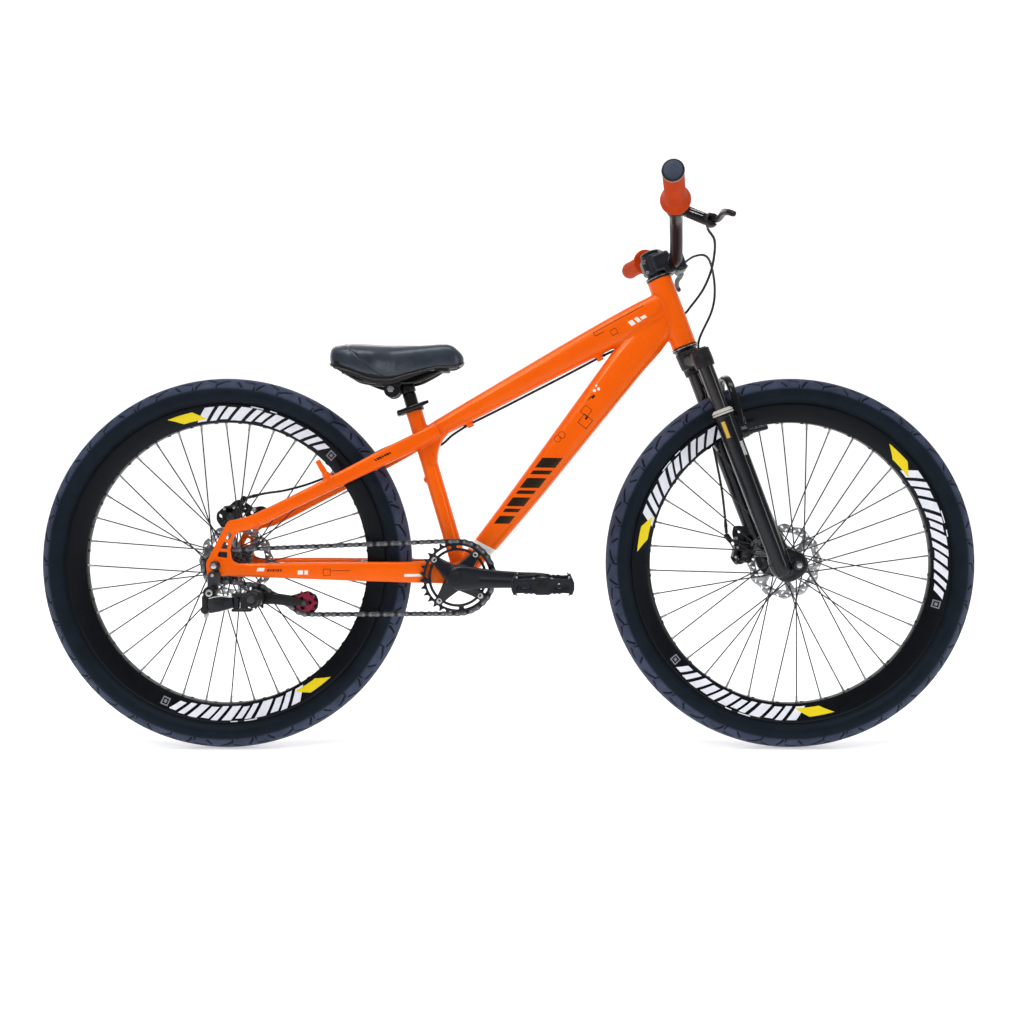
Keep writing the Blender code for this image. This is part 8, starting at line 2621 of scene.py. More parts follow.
def build_cassette():
    parts = []
    body = lathe(
        [(0.0165, -0.0640), (0.0196, -0.0640), (0.0200, -0.0636), (0.0200, -0.0320), (0.0194, -0.0310), (0.0165, -0.0310)],
        REAR_HUB, LEFT, COG_STEEL, 72, closed=True, wobble=lambda t, r, h: -0.0007 if r > 0.0198 and math.sin(12 * t) > 0.5 and h > -0.062 else 0.0,
    )
    parts.append(body)
    for n, teeth in enumerate(COG_TEETH):
        outline = sprocket(teeth, ARC_PHASE["cog"], 0.0022)
        m = side_plane(REAR_HUB + LEFT * (COG_Y + COG_STEP * n))
        parts.append(plate([outline, circle(0.0170, 40)], 0.0018, m, COG_STEEL if n % 2 == 0 else CHAIN_STEEL, bevel=0.00028))
    ring = ring_of(REAR_HUB - LEFT * 0.0648, REAR_HUB - LEFT * 0.0628, 0.0206, 0.0166, COG_STEEL, 64, 0.0004)
    parts.append(ring)
    piece("cassette_piece", "freewheel", parts, "cassette", origin=REAR_HUB)


BOLT_TURN = math.radians(52)


def slot_outline(mid, r0=0.0522, r1=0.0568, half=14):
    pts = []
    a0, a1 = mid - math.radians(half), mid + math.radians(half)
    for j in range(9):
        a = a0 + (a1 - a0) * j / 8
        pts.append((r1 * math.cos(a), r1 * math.sin(a)))
    c = (r0 + r1) / 2
    h = (r1 - r0) / 2
    for j in range(1, 6):
        b = math.pi * j / 6
        pts.append((c * math.cos(a1) + h * math.cos(a1 + b), c * math.sin(a1) + h * math.sin(a1 + b)))
    for j in range(9):
        a = a1 - (a1 - a0) * j / 8
        pts.append((r0 * math.cos(a), r0 * math.sin(a)))
    for j in range(1, 6):
        b = math.pi + math.pi * j / 6
        pts.append((c * math.cos(a0) + h * math.cos(a0 + b), c * math.sin(a0) + h * math.sin(a0 + b)))
    return pts


def build_chainring():
    slots = [slot_outline(BOLT_TURN + math.radians(24.0 if k % 2 == 0 else 66.0) + math.radians(90) * (k // 2)) for k in range(8)]
    m = side_plane(CRANK_AXIS + LEFT * RING_Y)
    ring = plate([sprocket(RING_TEETH, ARC_PHASE["ring"], 0.0030), circle(0.0475, 96), *slots], 0.0024, m, CRANK_BLACK, bevel=0.0004, rounds=2)
    parts = [ring]
    for k in range(4):
        t = BOLT_TURN + math.radians(90) * k
        spot = CRANK_AXIS + Vector((math.cos(t), 0, math.sin(t))) * 0.0520
        parts.append(ring_of(spot + LEFT * (RING_Y + 0.0008), spot + LEFT * (RING_Y + 0.0026), 0.0056, 0.0024, STEEL, 32, 0.0003))
    piece("chainring_piece", "crank", parts, "chainring", origin=CRANK_AXIS)


CRANK_WAY = Vector((math.cos(math.radians(1.3)), 0.0, -math.sin(math.radians(1.3))))


def build_crank(tag, side, way, with_spider):
    centre = CRANK_AXIS + LEFT * side * 0.0680
    end = CRANK_AXIS + way * CRANK_LEN + LEFT * side * 0.0830
    up = way.cross(LEFT).normalized()
    rows = refine([
        (-0.12, 0.0130, 0.0062), (-0.06, 0.0188, 0.0078), (0.02, 0.0212, 0.0082), (0.14, 0.0206, 0.0082), (0.28, 0.0178, 0.0076), (0.50, 0.0152, 0.0068),
        (0.75, 0.0142, 0.0064), (0.92, 0.0144, 0.0064), (1.02, 0.0136, 0.0064), (1.068, 0.0108, 0.0062), (1.092, 0.0060, 0.0058),
    ], 5)
    rings = []
    for t, tall, thick in rows:
        p = centre.lerp(end, t)
        rings.append(oval(p + up * (0.0012 * max(0.0, 1.0 - t)), LEFT, up, thick, tall, 40, 5.0))
    parts = [loft(rings, CRANK_BLACK)]
    parts.append(cyl(centre - LEFT * side * 0.0100, centre + LEFT * side * 0.0086, 0.0176, CRANK_BLACK, 56, bevel=0.0024))
    parts.append(cyl(end - LEFT * side * 0.0066, end + LEFT * side * 0.0066, 0.0128, CRANK_BLACK, 48, bevel=0.0014))
    if with_spider:
        for k in range(4):
            t = BOLT_TURN + math.radians(90) * k
            out = Vector((math.cos(t), 0.0, math.sin(t)))
            across = Vector((-math.sin(t), 0.0, math.cos(t)))
            rr = []
            for r, y, half_w, half_t in refine([(0.0060, 0.0600, 0.0185, 0.0044), (0.0180, 0.0594, 0.0155, 0.0042), (0.0300, 0.0578, 0.0122, 0.0038), (0.0420, 0.0552, 0.0094, 0.0034), (0.0520, 0.0540, 0.0080, 0.0032), (0.0575, 0.0538, 0.0070, 0.0030), (0.0600, 0.0538, 0.0048, 0.0026)], 5):
                rr.append(oval(CRANK_AXIS + out * r + LEFT * side * y, across, LEFT, half_w, half_t, 32, 4.0))
            parts.append(loft(rr, CRANK_BLACK))
    body = melt(parts, 0.0010, CRANK_BLACK, rounds=4, soft=3)
    cutters = [cyl(CRANK_AXIS, CRANK_AXIS + LEFT * side * 0.0750, 0.0083, None, 36, bevel=0)]
    # shallow channel along the outer face of the arm
    a = centre.lerp(end, 0.26) + LEFT * side * 0.0085
    b = centre.lerp(end, 0.78) + LEFT * side * 0.0078
    cutters.append(box((0.0090, 0.0032, (b - a).length), facing((a + b) / 2, b - a, up), None, bevel=0.0014, segs=2))
    carve(body, cutters)
    body.data.set_sharp_from_angle(angle=math.radians(38))
    extra = []
    extra.append(lathe([(0.0, 0.0086), (0.0100, 0.0086), (0.0104, 0.0090), (0.0104, 0.0100), (0.0092, 0.0112), (0.0040, 0.0116), (0.0038, 0.0108), (0.0, 0.0107)],
                       centre, LEFT * side, PLASTIC, 48, closed=False, sharp=30))
    pin = lathe(
        [(0.0, 0.0050), (0.0070, 0.0050), (0.0072, 0.0054), (0.0072, 0.0086), (0.0066, 0.0092), (0.0052, 0.0094), (0.0052, 0.0300), (0.0050, 0.0400),
         (0.0046, 0.0900), (0.0046, 0.1010), (0.0040, 0.1020), (0.0, 0.1020)],
        end, LEFT * side, STEEL, 36, closed=False,
    )
    extra.append(pin)
    extra.append(lathe([(0.0, -0.0074), (0.0060, -0.0074), (0.0064, -0.0070), (0.0064, -0.0040), (0.0, -0.0040)], end, LEFT * side, STEEL, 36, closed=False))
    if with_spider:
        for k in range(4):
            t = BOLT_TURN + math.radians(90) * k
            spot = CRANK_AXIS + Vector((math.cos(t), 0.0, math.sin(t))) * 0.0520
            extra.append(socket_bolt(spot + LEFT * side * 0.0564, LEFT * side, 0.0049, 0.0018, BOLT_BRIGHT, 0.55, 32))
    return piece("crank_piece_" + tag, "crank", [body, *extra], "crank_" + tag), end


BOLT_BRIGHT = plain_metal("bolt_bright", srgb(205, 205, 200), 0.26, 1.0, 900.0)
_, SPOT_RIGHT = build_crank("right", -1, CRANK_WAY, True)
_, SPOT_LEFT = build_crank("left", 1, -CRANK_WAY, False)
build_chain()
build_cassette()
build_chainring()
spindle = lathe(
    [(0.0, -0.0740), (0.0072, -0.0740), (0.0076, -0.0734), (0.0076, -0.0300), (0.0072, -0.0290), (0.0072, 0.0290), (0.0076, 0.0300), (0.0076, 0.0734), (0.0072, 0.0740), (0.0, 0.0740)],
    CRANK_AXIS, LEFT, STEEL, 40, closed=False, wobble=lambda t, r, h: -0.0003 if abs(h) > 0.058 and math.sin(8 * t) > 0 and r > 0.007 else 0.0,
)
piece("crank_spindle_piece", "crank", [spindle], "crank_spindle")


# ---------------------------------------------------------------- pedals
def pedal_end(side_y, spot_hole):
    """Outline of the long plate at either side of the platform."""
    top = [
        (-0.0518, 0.0016), (-0.0516, 0.0060), (-0.0498, 0.0104), (-0.0484, 0.0140), (-0.0446, 0.0142), (-0.0424, 0.0116), (-0.0352, 0.0112), (-0.0318, 0.0112),
        (-0.0270, 0.0128), (-0.0232, 0.0116), (-0.0184, 0.0128), (-0.0150, 0.0116), (-0.0100, 0.0142), (0.0100, 0.0142), (0.0150, 0.0116),
        (0.0184, 0.0128), (0.0232, 0.0116), (0.0270, 0.0128), (0.0318, 0.0112), (0.0352, 0.0112), (0.0424, 0.0116), (0.0446, 0.0142),
        (0.0484, 0.0140), (0.0498, 0.0104), (0.0516, 0.0060), (0.0518, 0.0016),
    ]
    return top + [(x, -z) for x, z in reversed(top)][1:-1]


def build_pedal(tag, spot, side):
    centre = spot + LEFT * side * 0.0590
    parts = []
    windows = []
    for s in (-1, 1):
        windows.append(fillet([(0.0185 * s, -0.0062), (0.0185 * s, 0.0062), (0.0390 * s, 0.0052), (0.0430 * s, 0.0), (0.0390 * s, -0.0052)], 0.0020, 3, closed=True))
    through = circle(0.0042, 24, 0.0272, 0.0)
    slots = [fillet([(-0.0340, -0.0034), (-0.0340, 0.0034), (-0.0240, 0.0034), (-0.0240, -0.0034)], 0.0010, 2, closed=True)]
    for s in (-1, 1):
        parts.append(plate([pedal_end(s, None), *windows], 0.0034, side_plane(centre + LEFT * s * 0.0422), PEDAL, bevel=0.0009, rounds=2))
        parts.append(plate([[(x * 0.985, z * 0.93) for x, z in pedal_end(s, None)], through, *slots], 0.0032, side_plane(centre + LEFT * s * 0.0391), PEDAL, bevel=0.0006, rounds=1))
    for s in (-1, 1):
        parts.append(box((0.0075, 0.0820, 0.0190), Matrix.Translation(centre + Vector((0.0470 * s, 0, 0))), PEDAL, bevel=0.0026, segs=3))
        parts.append(box((0.0060, 0.0820, 0.0170), Matrix.Translation(centre + Vector((0.0155 * s, 0, 0))), PEDAL, bevel=0.0016, segs=2))
        # saw teeth standing on the end bars
        for k in range(9):
            y = -0.0340 + 0.0085 * k
            for z in (-1, 1):
                m = facing(centre + Vector((0.0465 * s, y, 0.0094 * z)), Vector((0.25 * s, 0, z)), LEFT)
                parts.append(cyl(m @ Vector((0, 0, 0)), m @ Vector((0, 0, 0.0034)), 0.0022, PEDAL, 12, radius_end=0.0009, bevel=0.0002))
    for y0, y1, r in ((-0.0440, -0.0300, 0.0128), (-0.0300, 0.0300, 0.0105), (0.0300, 0.0440, 0.0128)):
        parts.append(ring_of(centre + LEFT * y0, centre + LEFT * y1, r, 0.0058, PEDAL, 8 if r > 0.012 else 40, 0.0009))
    for y in (-0.0408, 0.0408):
        for x in (-0.0430, 0.0430):
            for z in (-1, 1):
                p = centre + Vector((x, y, 0.0132 * z))
                parts.append(cyl(p, p + UP * z * 0.0030, 0.0014, STEEL, 12, bevel=0.0003))
    # reflector beds at either end, plain
    for s in (-1, 1):
        parts.append(box((0.0016, 0.0440, 0.0100), Matrix.Translation(centre + Vector((0.0511 * s, 0, 0))), REFLECT, bevel=0.0005, segs=2))
    outer = centre + LEFT * side * 0.0440
    parts.append(lathe([(0.0, -0.0020), (0.0088, -0.0020), (0.0092, -0.0014), (0.0088, 0.0002), (0.0050, 0.0009), (0.0, 0.0010)], outer, LEFT * side, PLASTIC, 36, closed=False, sharp=50))
    piece("pedal_piece_" + tag, "pedal_" + tag, parts, "pedal_" + tag)


REFLECT = moulded("amber_plastic", srgb(140, 62, 12), 0.25, 900.0, 0.3, 0.2)
build_pedal("right", SPOT_RIGHT, -1)
build_pedal("left", SPOT_LEFT, 1)

# ---------------------------------------------------------------- derailleur
KNUCKLE = at(-0.0044, 0.2894)
LINK_A = at(0.0040, 0.2680, -0.0900)
LINK_REACH = Vector((0.0400, -0.0130, 0.0060))
LINK_B = LINK_A + LINK_REACH
GUIDE_AT = at(*GUIDE)
TENSION_AT = at(*TENSION)
PK_Y = LINK_B.y


def build_derailleur():
    parts = [
        cyl(KNUCKLE - LEFT * 0.0792, KNUCKLE - LEFT * 0.0955, 0.0112, CAST, 48, bevel=0.0018),
        box((0.0190, 0.0150, 0.0120), Matrix.Translation(at(-0.0050, 0.2863, -0.0890)), CAST, bevel=0.0030, segs=3),
        box((0.0240, 0.0150, 0.0040), Matrix.Translation(at(-0.0010, 0.2822, -0.0890)), CAST, bevel=0.0012, segs=2),
        box((0.0240, 0.0150, 0.0040), Matrix.Translation(at(-0.0010, 0.2598, -0.0890)), CAST, bevel=0.0012, segs=2),
        box((0.0110, 0.0160, 0.0290), Matrix.Translation(at(-0.0118, 0.2708, -0.0890)), CAST, bevel=0.0030, segs=3),
        cyl(at(-0.0118, 0.2600, -0.0965), at(-0.0118, 0.2600, -0.0815), 0.0072, CAST, 32, bevel=0.0012),
    ]
    body = melt(parts, 0.0007, CAST, rounds=3, soft=1)
    parts = [body, socket_bolt(KNUCKLE - LEFT * 0.0952, -LEFT, 0.0064, 0.0016, STEEL, 0.5, 32)]
    for z, d in ((0.2842, 1), (0.2578, -1)):
        parts.append(cyl(at(0.0040, z, -0.0900), at(0.0040, z + 0.0008 * d, -0.0900), 0.0030, STEEL, 24, bevel=0.0003))
    for y in (-0.0860, -0.0925):
        parts.append(socket_bolt(at(-0.0132, 0.2720, y), Vector((-1, 0, 0)), 0.0019, 0.0014, STEEL, 0.5, 20))
    barrel = lathe(
        [(0.0, 0.0), (0.0030, 0.0), (0.0030, 0.0030), (0.0042, 0.0036), (0.0042, 0.0120), (0.0034, 0.0130), (0.0026, 0.0134), (0.0026, 0.0160), (0.0, 0.0160)],
        at(-0.0100, 0.2600, -0.0890), at(-0.0120, 0.2440, -0.0890) - at(-0.0100, 0.2600, -0.0890), CLEAR, 72, closed=False,
        wobble=lambda t, r, h: -0.0003 if r > 0.0040 and math.sin(12 * t) > 0 else 0.0,
    )
    parts.append(barrel)
    piece("derailleur_knuckle_piece", "derailleur_body", parts, "derailleur_knuckle")

    run = LINK_REACH.normalized()
    m = facing((LINK_A + LINK_B) / 2, run, LEFT)
    n = LINK_REACH.length
    link = [
        box((0.0110, 0.0150, n), m, CAST, bevel=0.0030, segs=3),
        cyl(LINK_A - UP * 0.0056, LINK_A + UP * 0.0100, 0.0060, CAST, 36, bevel=0.0006),
        cyl(LINK_B - UP * 0.0094, LINK_B + UP * 0.0094, 0.0070, CAST, 36, bevel=0.0006),
    ]
    body = melt(link, 0.0006, CAST, rounds=3, soft=1)
    carve(body, [
        box((0.05, 0.05, 0.01), Matrix.Translation(LINK_A + UP * 0.0168), None, bevel=0),
        box((0.05, 0.05, 0.01), Matrix.Translation(LINK_A - UP * 0.0108), None, bevel=0),
        box((0.0140, 0.0060, n * 0.46), m @ Matrix.Translation((0, 0, 0.0)), None, bevel=0.0016, segs=2),
    ])
    body.data.set_sharp_from_angle(angle=math.radians(38))
    # curved cover plate outside the linkage; the bright rods along its upper and lower edges are painted highlights
    rim = []
    across = Vector((run.y, -run.x, 0.0)).normalized()
    if across.y > 0:
        across = -across
    outline = []
    for k in range(13):
        t = k / 12
        outline.append((-0.0050 + (n + 0.0065) * t, 0.0098 + 0.0052 * math.sin(math.pi * (0.15 + 0.75 * t)) - 0.0020 * t))
    for k in range(13):
        t = 1 - k / 12
        outline.append((-0.0050 + (n + 0.0065) * t, -0.0108 - 0.0030 * math.sin(math.pi * (0.2 + 0.6 * t)) + 0.0046 * t))
    flat_run = Vector((run.x, run.y, 0.0)).normalized()
    lift = math.atan2(run.z, math.hypot(run.x, run.y))
    cm = Matrix((flat_run, UP, flat_run.cross(UP))).transposed().to_4x4() @ Matrix.Rotation(lift, 4, "Z")
    cm.translation = LINK_A + across * 0.0108
    rim.append(plate([fillet(outline, 0.0030, 3, closed=True)], 0.0024, cm, CRANK_BLACK, bevel=0.0008, rounds=2))
    inset = [(0.0060, 0.0040), (n * 0.55, 0.0050), (n * 0.55, -0.0050), (0.0060, -0.0060)]
    rim.append(plate([fillet(inset, 0.0030, 3, closed=True)], 0.0008, cm @ Matrix.Translation((0, 0, 0.0014 if across.dot(cm.to_3x3() @ Vector((0, 0, 1))) > 0 else -0.0014)), CAST, bevel=0.0003, rounds=1))
    # painted highlight: bright rods along the cover's upper and lower edges
    edge = [cm @ Vector((x, y + 0.0002, 0.0)) + across * 0.0010 for x, y in outline[1:12]]
    rim.append(sweep(smooth_path(edge, 0.003), 0.0012, BOLT_BRIGHT, 10, ends_round=True, hint=LEFT))
    low_edge = [cm @ Vector((x, y, 0.0)) + across * 0.0010 for x, y in outline[14:21]]
    rim.append(sweep(smooth_path(low_edge, 0.003), 0.0008, BOLT_BRIGHT, 10, ends_round=True, hint=LEFT))
    for stand in (0.12, 0.88):
        c = LINK_A.lerp(LINK_B, stand)
        rim.append(cyl(c + across * 0.0040, c + across * 0.0105, 0.0036, CAST, 24, bevel=0.0004))
    piece("derailleur_link_piece", "derailleur_link", [body, *rim], "derailleur_link")

    lower = [
        cyl(GUIDE_AT + LEFT * (PK_Y + 0.0070), GUIDE_AT + LEFT * -0.0752, 0.0165, CAST, 8, bevel=0.0016),
        box((0.0340, 0.0140, 0.0052), Matrix.Translation(LINK_B + Vector((0.0110, 0.0, 0.0130))), CAST, bevel=0.0016, segs=2),
        box((0.0340, 0.0140, 0.0052), Matrix.Translation(LINK_B + Vector((0.0110, 0.0, -0.0130))), CAST, bevel=0.0016, segs=2),
        cyl(GUIDE_AT + LEFT * (PK_Y - 0.0052), GUIDE_AT + LEFT * -0.0860, 0.0138, CAST, 8, bevel=0.0022),
        box((0.0116, 0.0110, 0.0300), Matrix.Translation(LINK_B + Vector((0.0144, 0.0, 0.0))), CAST, bevel=0.0020, segs=2),
    ]
    body = melt(lower, 0.0007, CAST, rounds=2, soft=0)
    carve(body, [cyl(LINK_B - UP * 0.0102, LINK_B + UP * 0.0102, 0.0078, None, 32, bevel=0)])
    body.data.set_sharp_from_angle(angle=math.radians(30))
    cap = lathe([(0.0, 0.0), (0.0062, 0.0), (0.0066, 0.0004), (0.0060, 0.0010), (0.0032, 0.0012), (0.0030, 0.0006), (0.0, 0.0005)], GUIDE_AT + LEFT * (PK_Y - 0.0050), -LEFT, DARK_STEEL, 40, closed=False)
    screws = [cyl(LINK_B + UP * 0.0142 * s, LINK_B + UP * 0.0150 * s, 0.0030, STEEL, 24, bevel=0.0003) for s in (-1, 1)]
    piece("derailleur_lower_piece", "derailleur_lower", [body, cap, *screws], "derailleur_lower_knuckle")

    dx, dz = TENSION[0] - GUIDE[0], TENSION[1] - GUIDE[1]
    base = math.atan2(dz, dx)
    n = math.hypot(dx, dz)
    turn = Matrix.Rotation(base, 4, "Z")

    def outline(ra, rb, waist):
        pts = [(ra * math.cos(math.pi / 2 + math.pi * i / 16), ra * math.sin(math.pi / 2 + math.pi * i / 16)) for i in range(17)]
        pts += [(n * 0.30, -waist), (n * 0.68, -waist * 0.92)]
        pts += [(n + rb * math.cos(-math.pi / 2 + math.pi * i / 16), rb * math.sin(-math.pi / 2 + math.pi * i / 16)) for i in range(17)]
        pts += [(n * 0.68, waist * 0.92), (n * 0.30, waist)]
        return pts

    tip = fillet([(n - 0.0085, 0.0), (n + 0.0030, 0.0072), (n + 0.0030, -0.0072)], 0.0012, 3, closed=True)
    slot = fillet([(n * 0.30, 0.0036), (n * 0.66, 0.0030), (n * 0.66, -0.0030), (n * 0.30, -0.0036)], 0.0018, 3, closed=True)
    outer_line = [(0.0125 * math.cos(math.pi / 2 + math.pi * i / 16), 0.0125 * math.sin(math.pi / 2 + math.pi * i / 16)) for i in range(17)]
    outer_line += [(n * 0.34, -0.0082), (n * 0.58, -0.0080), (n * 0.70, -0.0074), (n * 0.86, -0.0058)]
    outer_line += [(n + 0.0052 * math.cos(-math.pi / 2 + math.pi * i / 10), 0.0052 * math.sin(-math.pi / 2 + math.pi * i / 10)) for i in range(11)]
    outer_line += [(n * 0.86, 0.0062), (n * 0.70, 0.0084), (n * 0.58, 0.0090), (n * 0.34, 0.0092)]
    # the bumper that runs round below the lower wheel
    bumper = []
    for i in range(15):
        a = math.radians(-78 + 9.0 * i)
        bumper.append(TENSION_AT + LEFT * (COG_Y + 0.0066) + Vector((math.cos(a + base), 0, math.sin(a + base))) * 0.0205)
    outer = plate([outer_line], 0.0022, side_plane(GUIDE_AT + LEFT * (COG_Y - 0.0066)) @ turn, CAST, bevel=0.0005, rounds=2)
    inner = plate([outline(0.0125, 0.0205, 0.0100), slot], 0.0020, side_plane(GUIDE_AT + LEFT * (COG_Y + 0.0066)) @ turn, CAST, bevel=0.0004, rounds=2)
    boss = cyl(GUIDE_AT + LEFT * (COG_Y - 0.0060), GUIDE_AT + LEFT * -0.0748, 0.0100, CAST, 40, bevel=0.0005)
    pins = [
        cyl(GUIDE_AT + LEFT * (COG_Y - 0.0070), GUIDE_AT + LEFT * (COG_Y + 0.0088), 0.0035, STEEL, 24, bevel=0.0003),
        cyl(TENSION_AT + LEFT * (COG_Y - 0.0080), TENSION_AT + LEFT * (COG_Y + 0.0088), 0.0035, DARK_STEEL, 24, bevel=0.0003),
        socket_bolt(TENSION_AT + LEFT * (COG_Y - 0.0076), -LEFT, 0.0042, 0.0012, DARK_STEEL, 0.5, 28),
        socket_bolt(TENSION_AT + LEFT * (COG_Y + 0.0076), LEFT, 0.0042, 0.0012, STEEL, 0.5, 28),
        socket_bolt(GUIDE_AT + LEFT * (COG_Y + 0.0076), LEFT, 0.0042, 0.0012, STEEL, 0.5, 28),
    ]
    guard = sweep(smooth_path(bumper, 0.003), 0.0018, CAST, 12, ends_round=True, hint=LEFT)
    foot = box((0.0100, 0.0050, 0.0080), facing(TENSION_AT + LEFT * (COG_Y + 0.0066) + Vector((math.cos(base - 0.35), 0, math.sin(base - 0.35))) * 0.0185, Vector((math.cos(base - 0.35), 0, math.sin(base - 0.35))), LEFT), CAST, bevel=0.0010, segs=2)
    piece("derailleur_cage_piece", "derailleur_cage", [outer, inner, boss, guard, foot, *pins], "derailleur_cage")

    for tag, centre, mat, spokes in (("guide", GUIDE_AT, PLASTIC, 0), ("tension", TENSION_AT, RED, 3)):
        holes = [circle(0.0041, 24)]
        extra_plates = []
        for k in range(spokes):
            a = 2 * math.pi * k / 3 + 0.1
            tri = []
            for r, w in ((0.0064, -0.50), (0.0064, 0.50), (0.0118, 0.30), (0.0128, 0.0), (0.0118, -0.30)):
                tri.append((r * math.cos(a + w), r * math.sin(a + w)))
            holes.append(fillet(tri, 0.0008, 2, closed=True))
        wheel = plate([sprocket(PULLEY_TEETH, ARC_PHASE.get(tag, 0.0), 0.0016, seat=0.0038), *holes], 0.0024, side_plane(centre + LEFT * COG_Y), mat, bevel=0.0004, rounds=1)
        if tag == "tension":
            for s in (-1, 1):
                cheek = [circle(0.0154, 48), circle(0.0041, 24)] + [h for h in holes[1:]]
                extra_plates.append(plate(cheek, 0.0016, side_plane(centre + LEFT * (COG_Y + 0.0019 * s)), mat, bevel=0.0003, rounds=1))
        hub = ring_of(centre + LEFT * (COG_Y - 0.0020), centre + LEFT * (COG_Y + 0.0020), 0.0066, 0.0041, mat, 36, 0.0003)
        piece("jockey_%s_piece" % tag, "jockey_" + tag, [wheel, hub, *extra_plates], "jockey_" + tag, origin=centre)


build_derailleur()


# ---------------------------------------------------------------- brake cables
def cable_line(points, step=0.006):
    return smooth_path(points, step)


def ferrule(end, way, length=0.0110, radius=0.0029):
    way = way.normalized()
    return lathe([(0.0, 0.0), (radius * 0.72, 0.0), (radius, 0.0010), (radius, length - 0.0008), (radius * 0.82, length), (0.0, length)], end, way, DARK_STEEL, 28, closed=False)


def boot(end, way, length=0.0150):
    way = way.normalized()
    prof = [(0.0, 0.0)]
    for k in range(5):
        h = length * k / 5
        r = 0.0037 - 0.0003 * k
        prof += [(r, h + 0.0002), (r, h + length * 0.10), (r * 0.82, h + length * 0.14)]
    prof += [(0.0024, length), (0.0, length)]
    return lathe(prof, end, way, HOUSING, 32, closed=False)


CABLE_R = 0.0022
HINGE_R = at(0.8480, 0.9085, -0.1870)
HINGE_L = at(0.8480, 0.9085, 0.1870)
EXIT_R = HINGE_R + LEFT * 0.0265 - EAR_FWD * 0.002
EXIT_L = HINGE_L - LEFT * 0.0265 - EAR_FWD * 0.002
GUIDE_FRONT = [at(*GUIDES[1]) + GUIDE_WAY * d for d in (0.0080, -0.0080)]
GUIDE_REAR = [at(*GUIDES[0]) + GUIDE_WAY * d for d in (0.0080, -0.0080)]
SAG = Vector((0.0, 0.0, -0.0008))
rear_front = [
    EXIT_R, EXIT_R + LEFT * 0.0200 + Vector((0.004, 0, -0.004)), at(0.8640, 0.8942, -0.1200), at(0.8705, 0.8790, -0.0850),
    at(0.8703, 0.8548, -0.0500), at(0.8621, 0.8293, -0.0150), at(0.8450, 0.8049, 0.0130), at(0.8310, 0.7900, 0.0270),
    at(0.7900, 0.7680, 0.0320), at(0.7330, 0.7370, 0.0240), at(0.7010, 0.7215, 0.0090), GUIDE_FRONT[0],
]
rear_back = [
    GUIDE_REAR[1], at(0.4080, 0.5680, 0.0080), at(0.3780, 0.5480, 0.0260), at(0.3300, 0.5540, 0.0400), at(0.2900, 0.5500, 0.0480),
    at(0.2300, 0.5220, 0.0560), at(0.1500, 0.4860, 0.0700), at(0.0900, 0.4680, 0.0770),
    REAR_PULL + LEFT * 0.0030 + Vector((0.0400, 0.0, 0.0100)), REAR_PULL + LEFT * 0.0030 + Vector((0.0066, 0.0, 0.0020)),
]
front_points = [
    EXIT_L, EXIT_L - LEFT * 0.0200 + Vector((0.006, 0, 0.004)), at(0.8650, 0.9180, 0.1100), at(0.8809, 0.9133, 0.0800),
    at(0.8903, 0.8931, 0.0650), at(0.8944, 0.8454, 0.0480), at(0.8878, 0.8015, 0.0400), steer(0.0330, 0.0330, 0.0000),
    steer(0.0290, 0.0320, -0.0400), steer(0.0150, 0.0350, -0.0900), steer(-0.0020, 0.0370, -0.1500), steer(-0.0110, 0.0400, -0.2100),
    steer(-0.0200, 0.0480, -0.2700), FRONT_PULL + LEFT * 0.0030 + Vector((-0.0040, 0.0, 0.0400)),
    FRONT_PULL + LEFT * 0.0030 + Vector((-0.0010, 0.0, 0.0068)),
]


def build_cables():
    line_a = cable_line(rear_front)
    mid = (GUIDE_FRONT[1] + GUIDE_REAR[0]) / 2 + SAG
    line_b = cable_line([GUIDE_FRONT[0], GUIDE_FRONT[1], GUIDE_FRONT[1].lerp(mid, 0.5) + SAG * 0.5, mid, mid.lerp(GUIDE_REAR[0], 0.5) + SAG * 0.5, GUIDE_REAR[0], GUIDE_REAR[1]])
    line_c = cable_line(rear_back)
    front = sweep(line_a, CABLE_R, HOUSING, 16)
    end_a = ferrule(EXIT_R - (line_a[1] - line_a[0]).normalized() * 0.0010, line_a[1] - line_a[0])
    head = piece("rear_cable_front_piece", None, [front, end_a])
    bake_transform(head)
    run = sweep(line_b + line_c[1:], CABLE_R, HOUSING, 16)
    ways = line_c[-2] - line_c[-1]
    parts = [run, ferrule(line_c[-1] - ways.normalized() * 0.0012, ways, 0.0130), boot(line_c[-1] + ways.normalized() * 0.0110, ways)]
    for p, way in ((GUIDE_FRONT[0], GUIDE_WAY), (GUIDE_REAR[1], -GUIDE_WAY)):
        parts.append(ring_of(p - way * 0.0002, p + way * 0.0034, 0.0029, 0.0018, HOUSING, 28, 0.0003))
    piece("rear_cable_back_piece", "frame", parts, "rear_brake_cable")
    line_f = cable_line(front_points)
    way0 = line_f[1] - line_f[0]
    way1 = line_f[-2] - line_f[-1]
    cable = sweep(line_f, CABLE_R, HOUSING, 16)
    parts = [cable, ferrule(line_f[0] - way0.normalized() * 0.0010, way0), ferrule(line_f[-1] - way1.normalized() * 0.0012, way1, 0.0130), boot(line_f[-1] + way1.normalized() * 0.0110, way1)]
    front_piece = piece("front_cable_piece", None, parts, "front_brake_cable")
    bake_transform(front_piece)


build_cables()


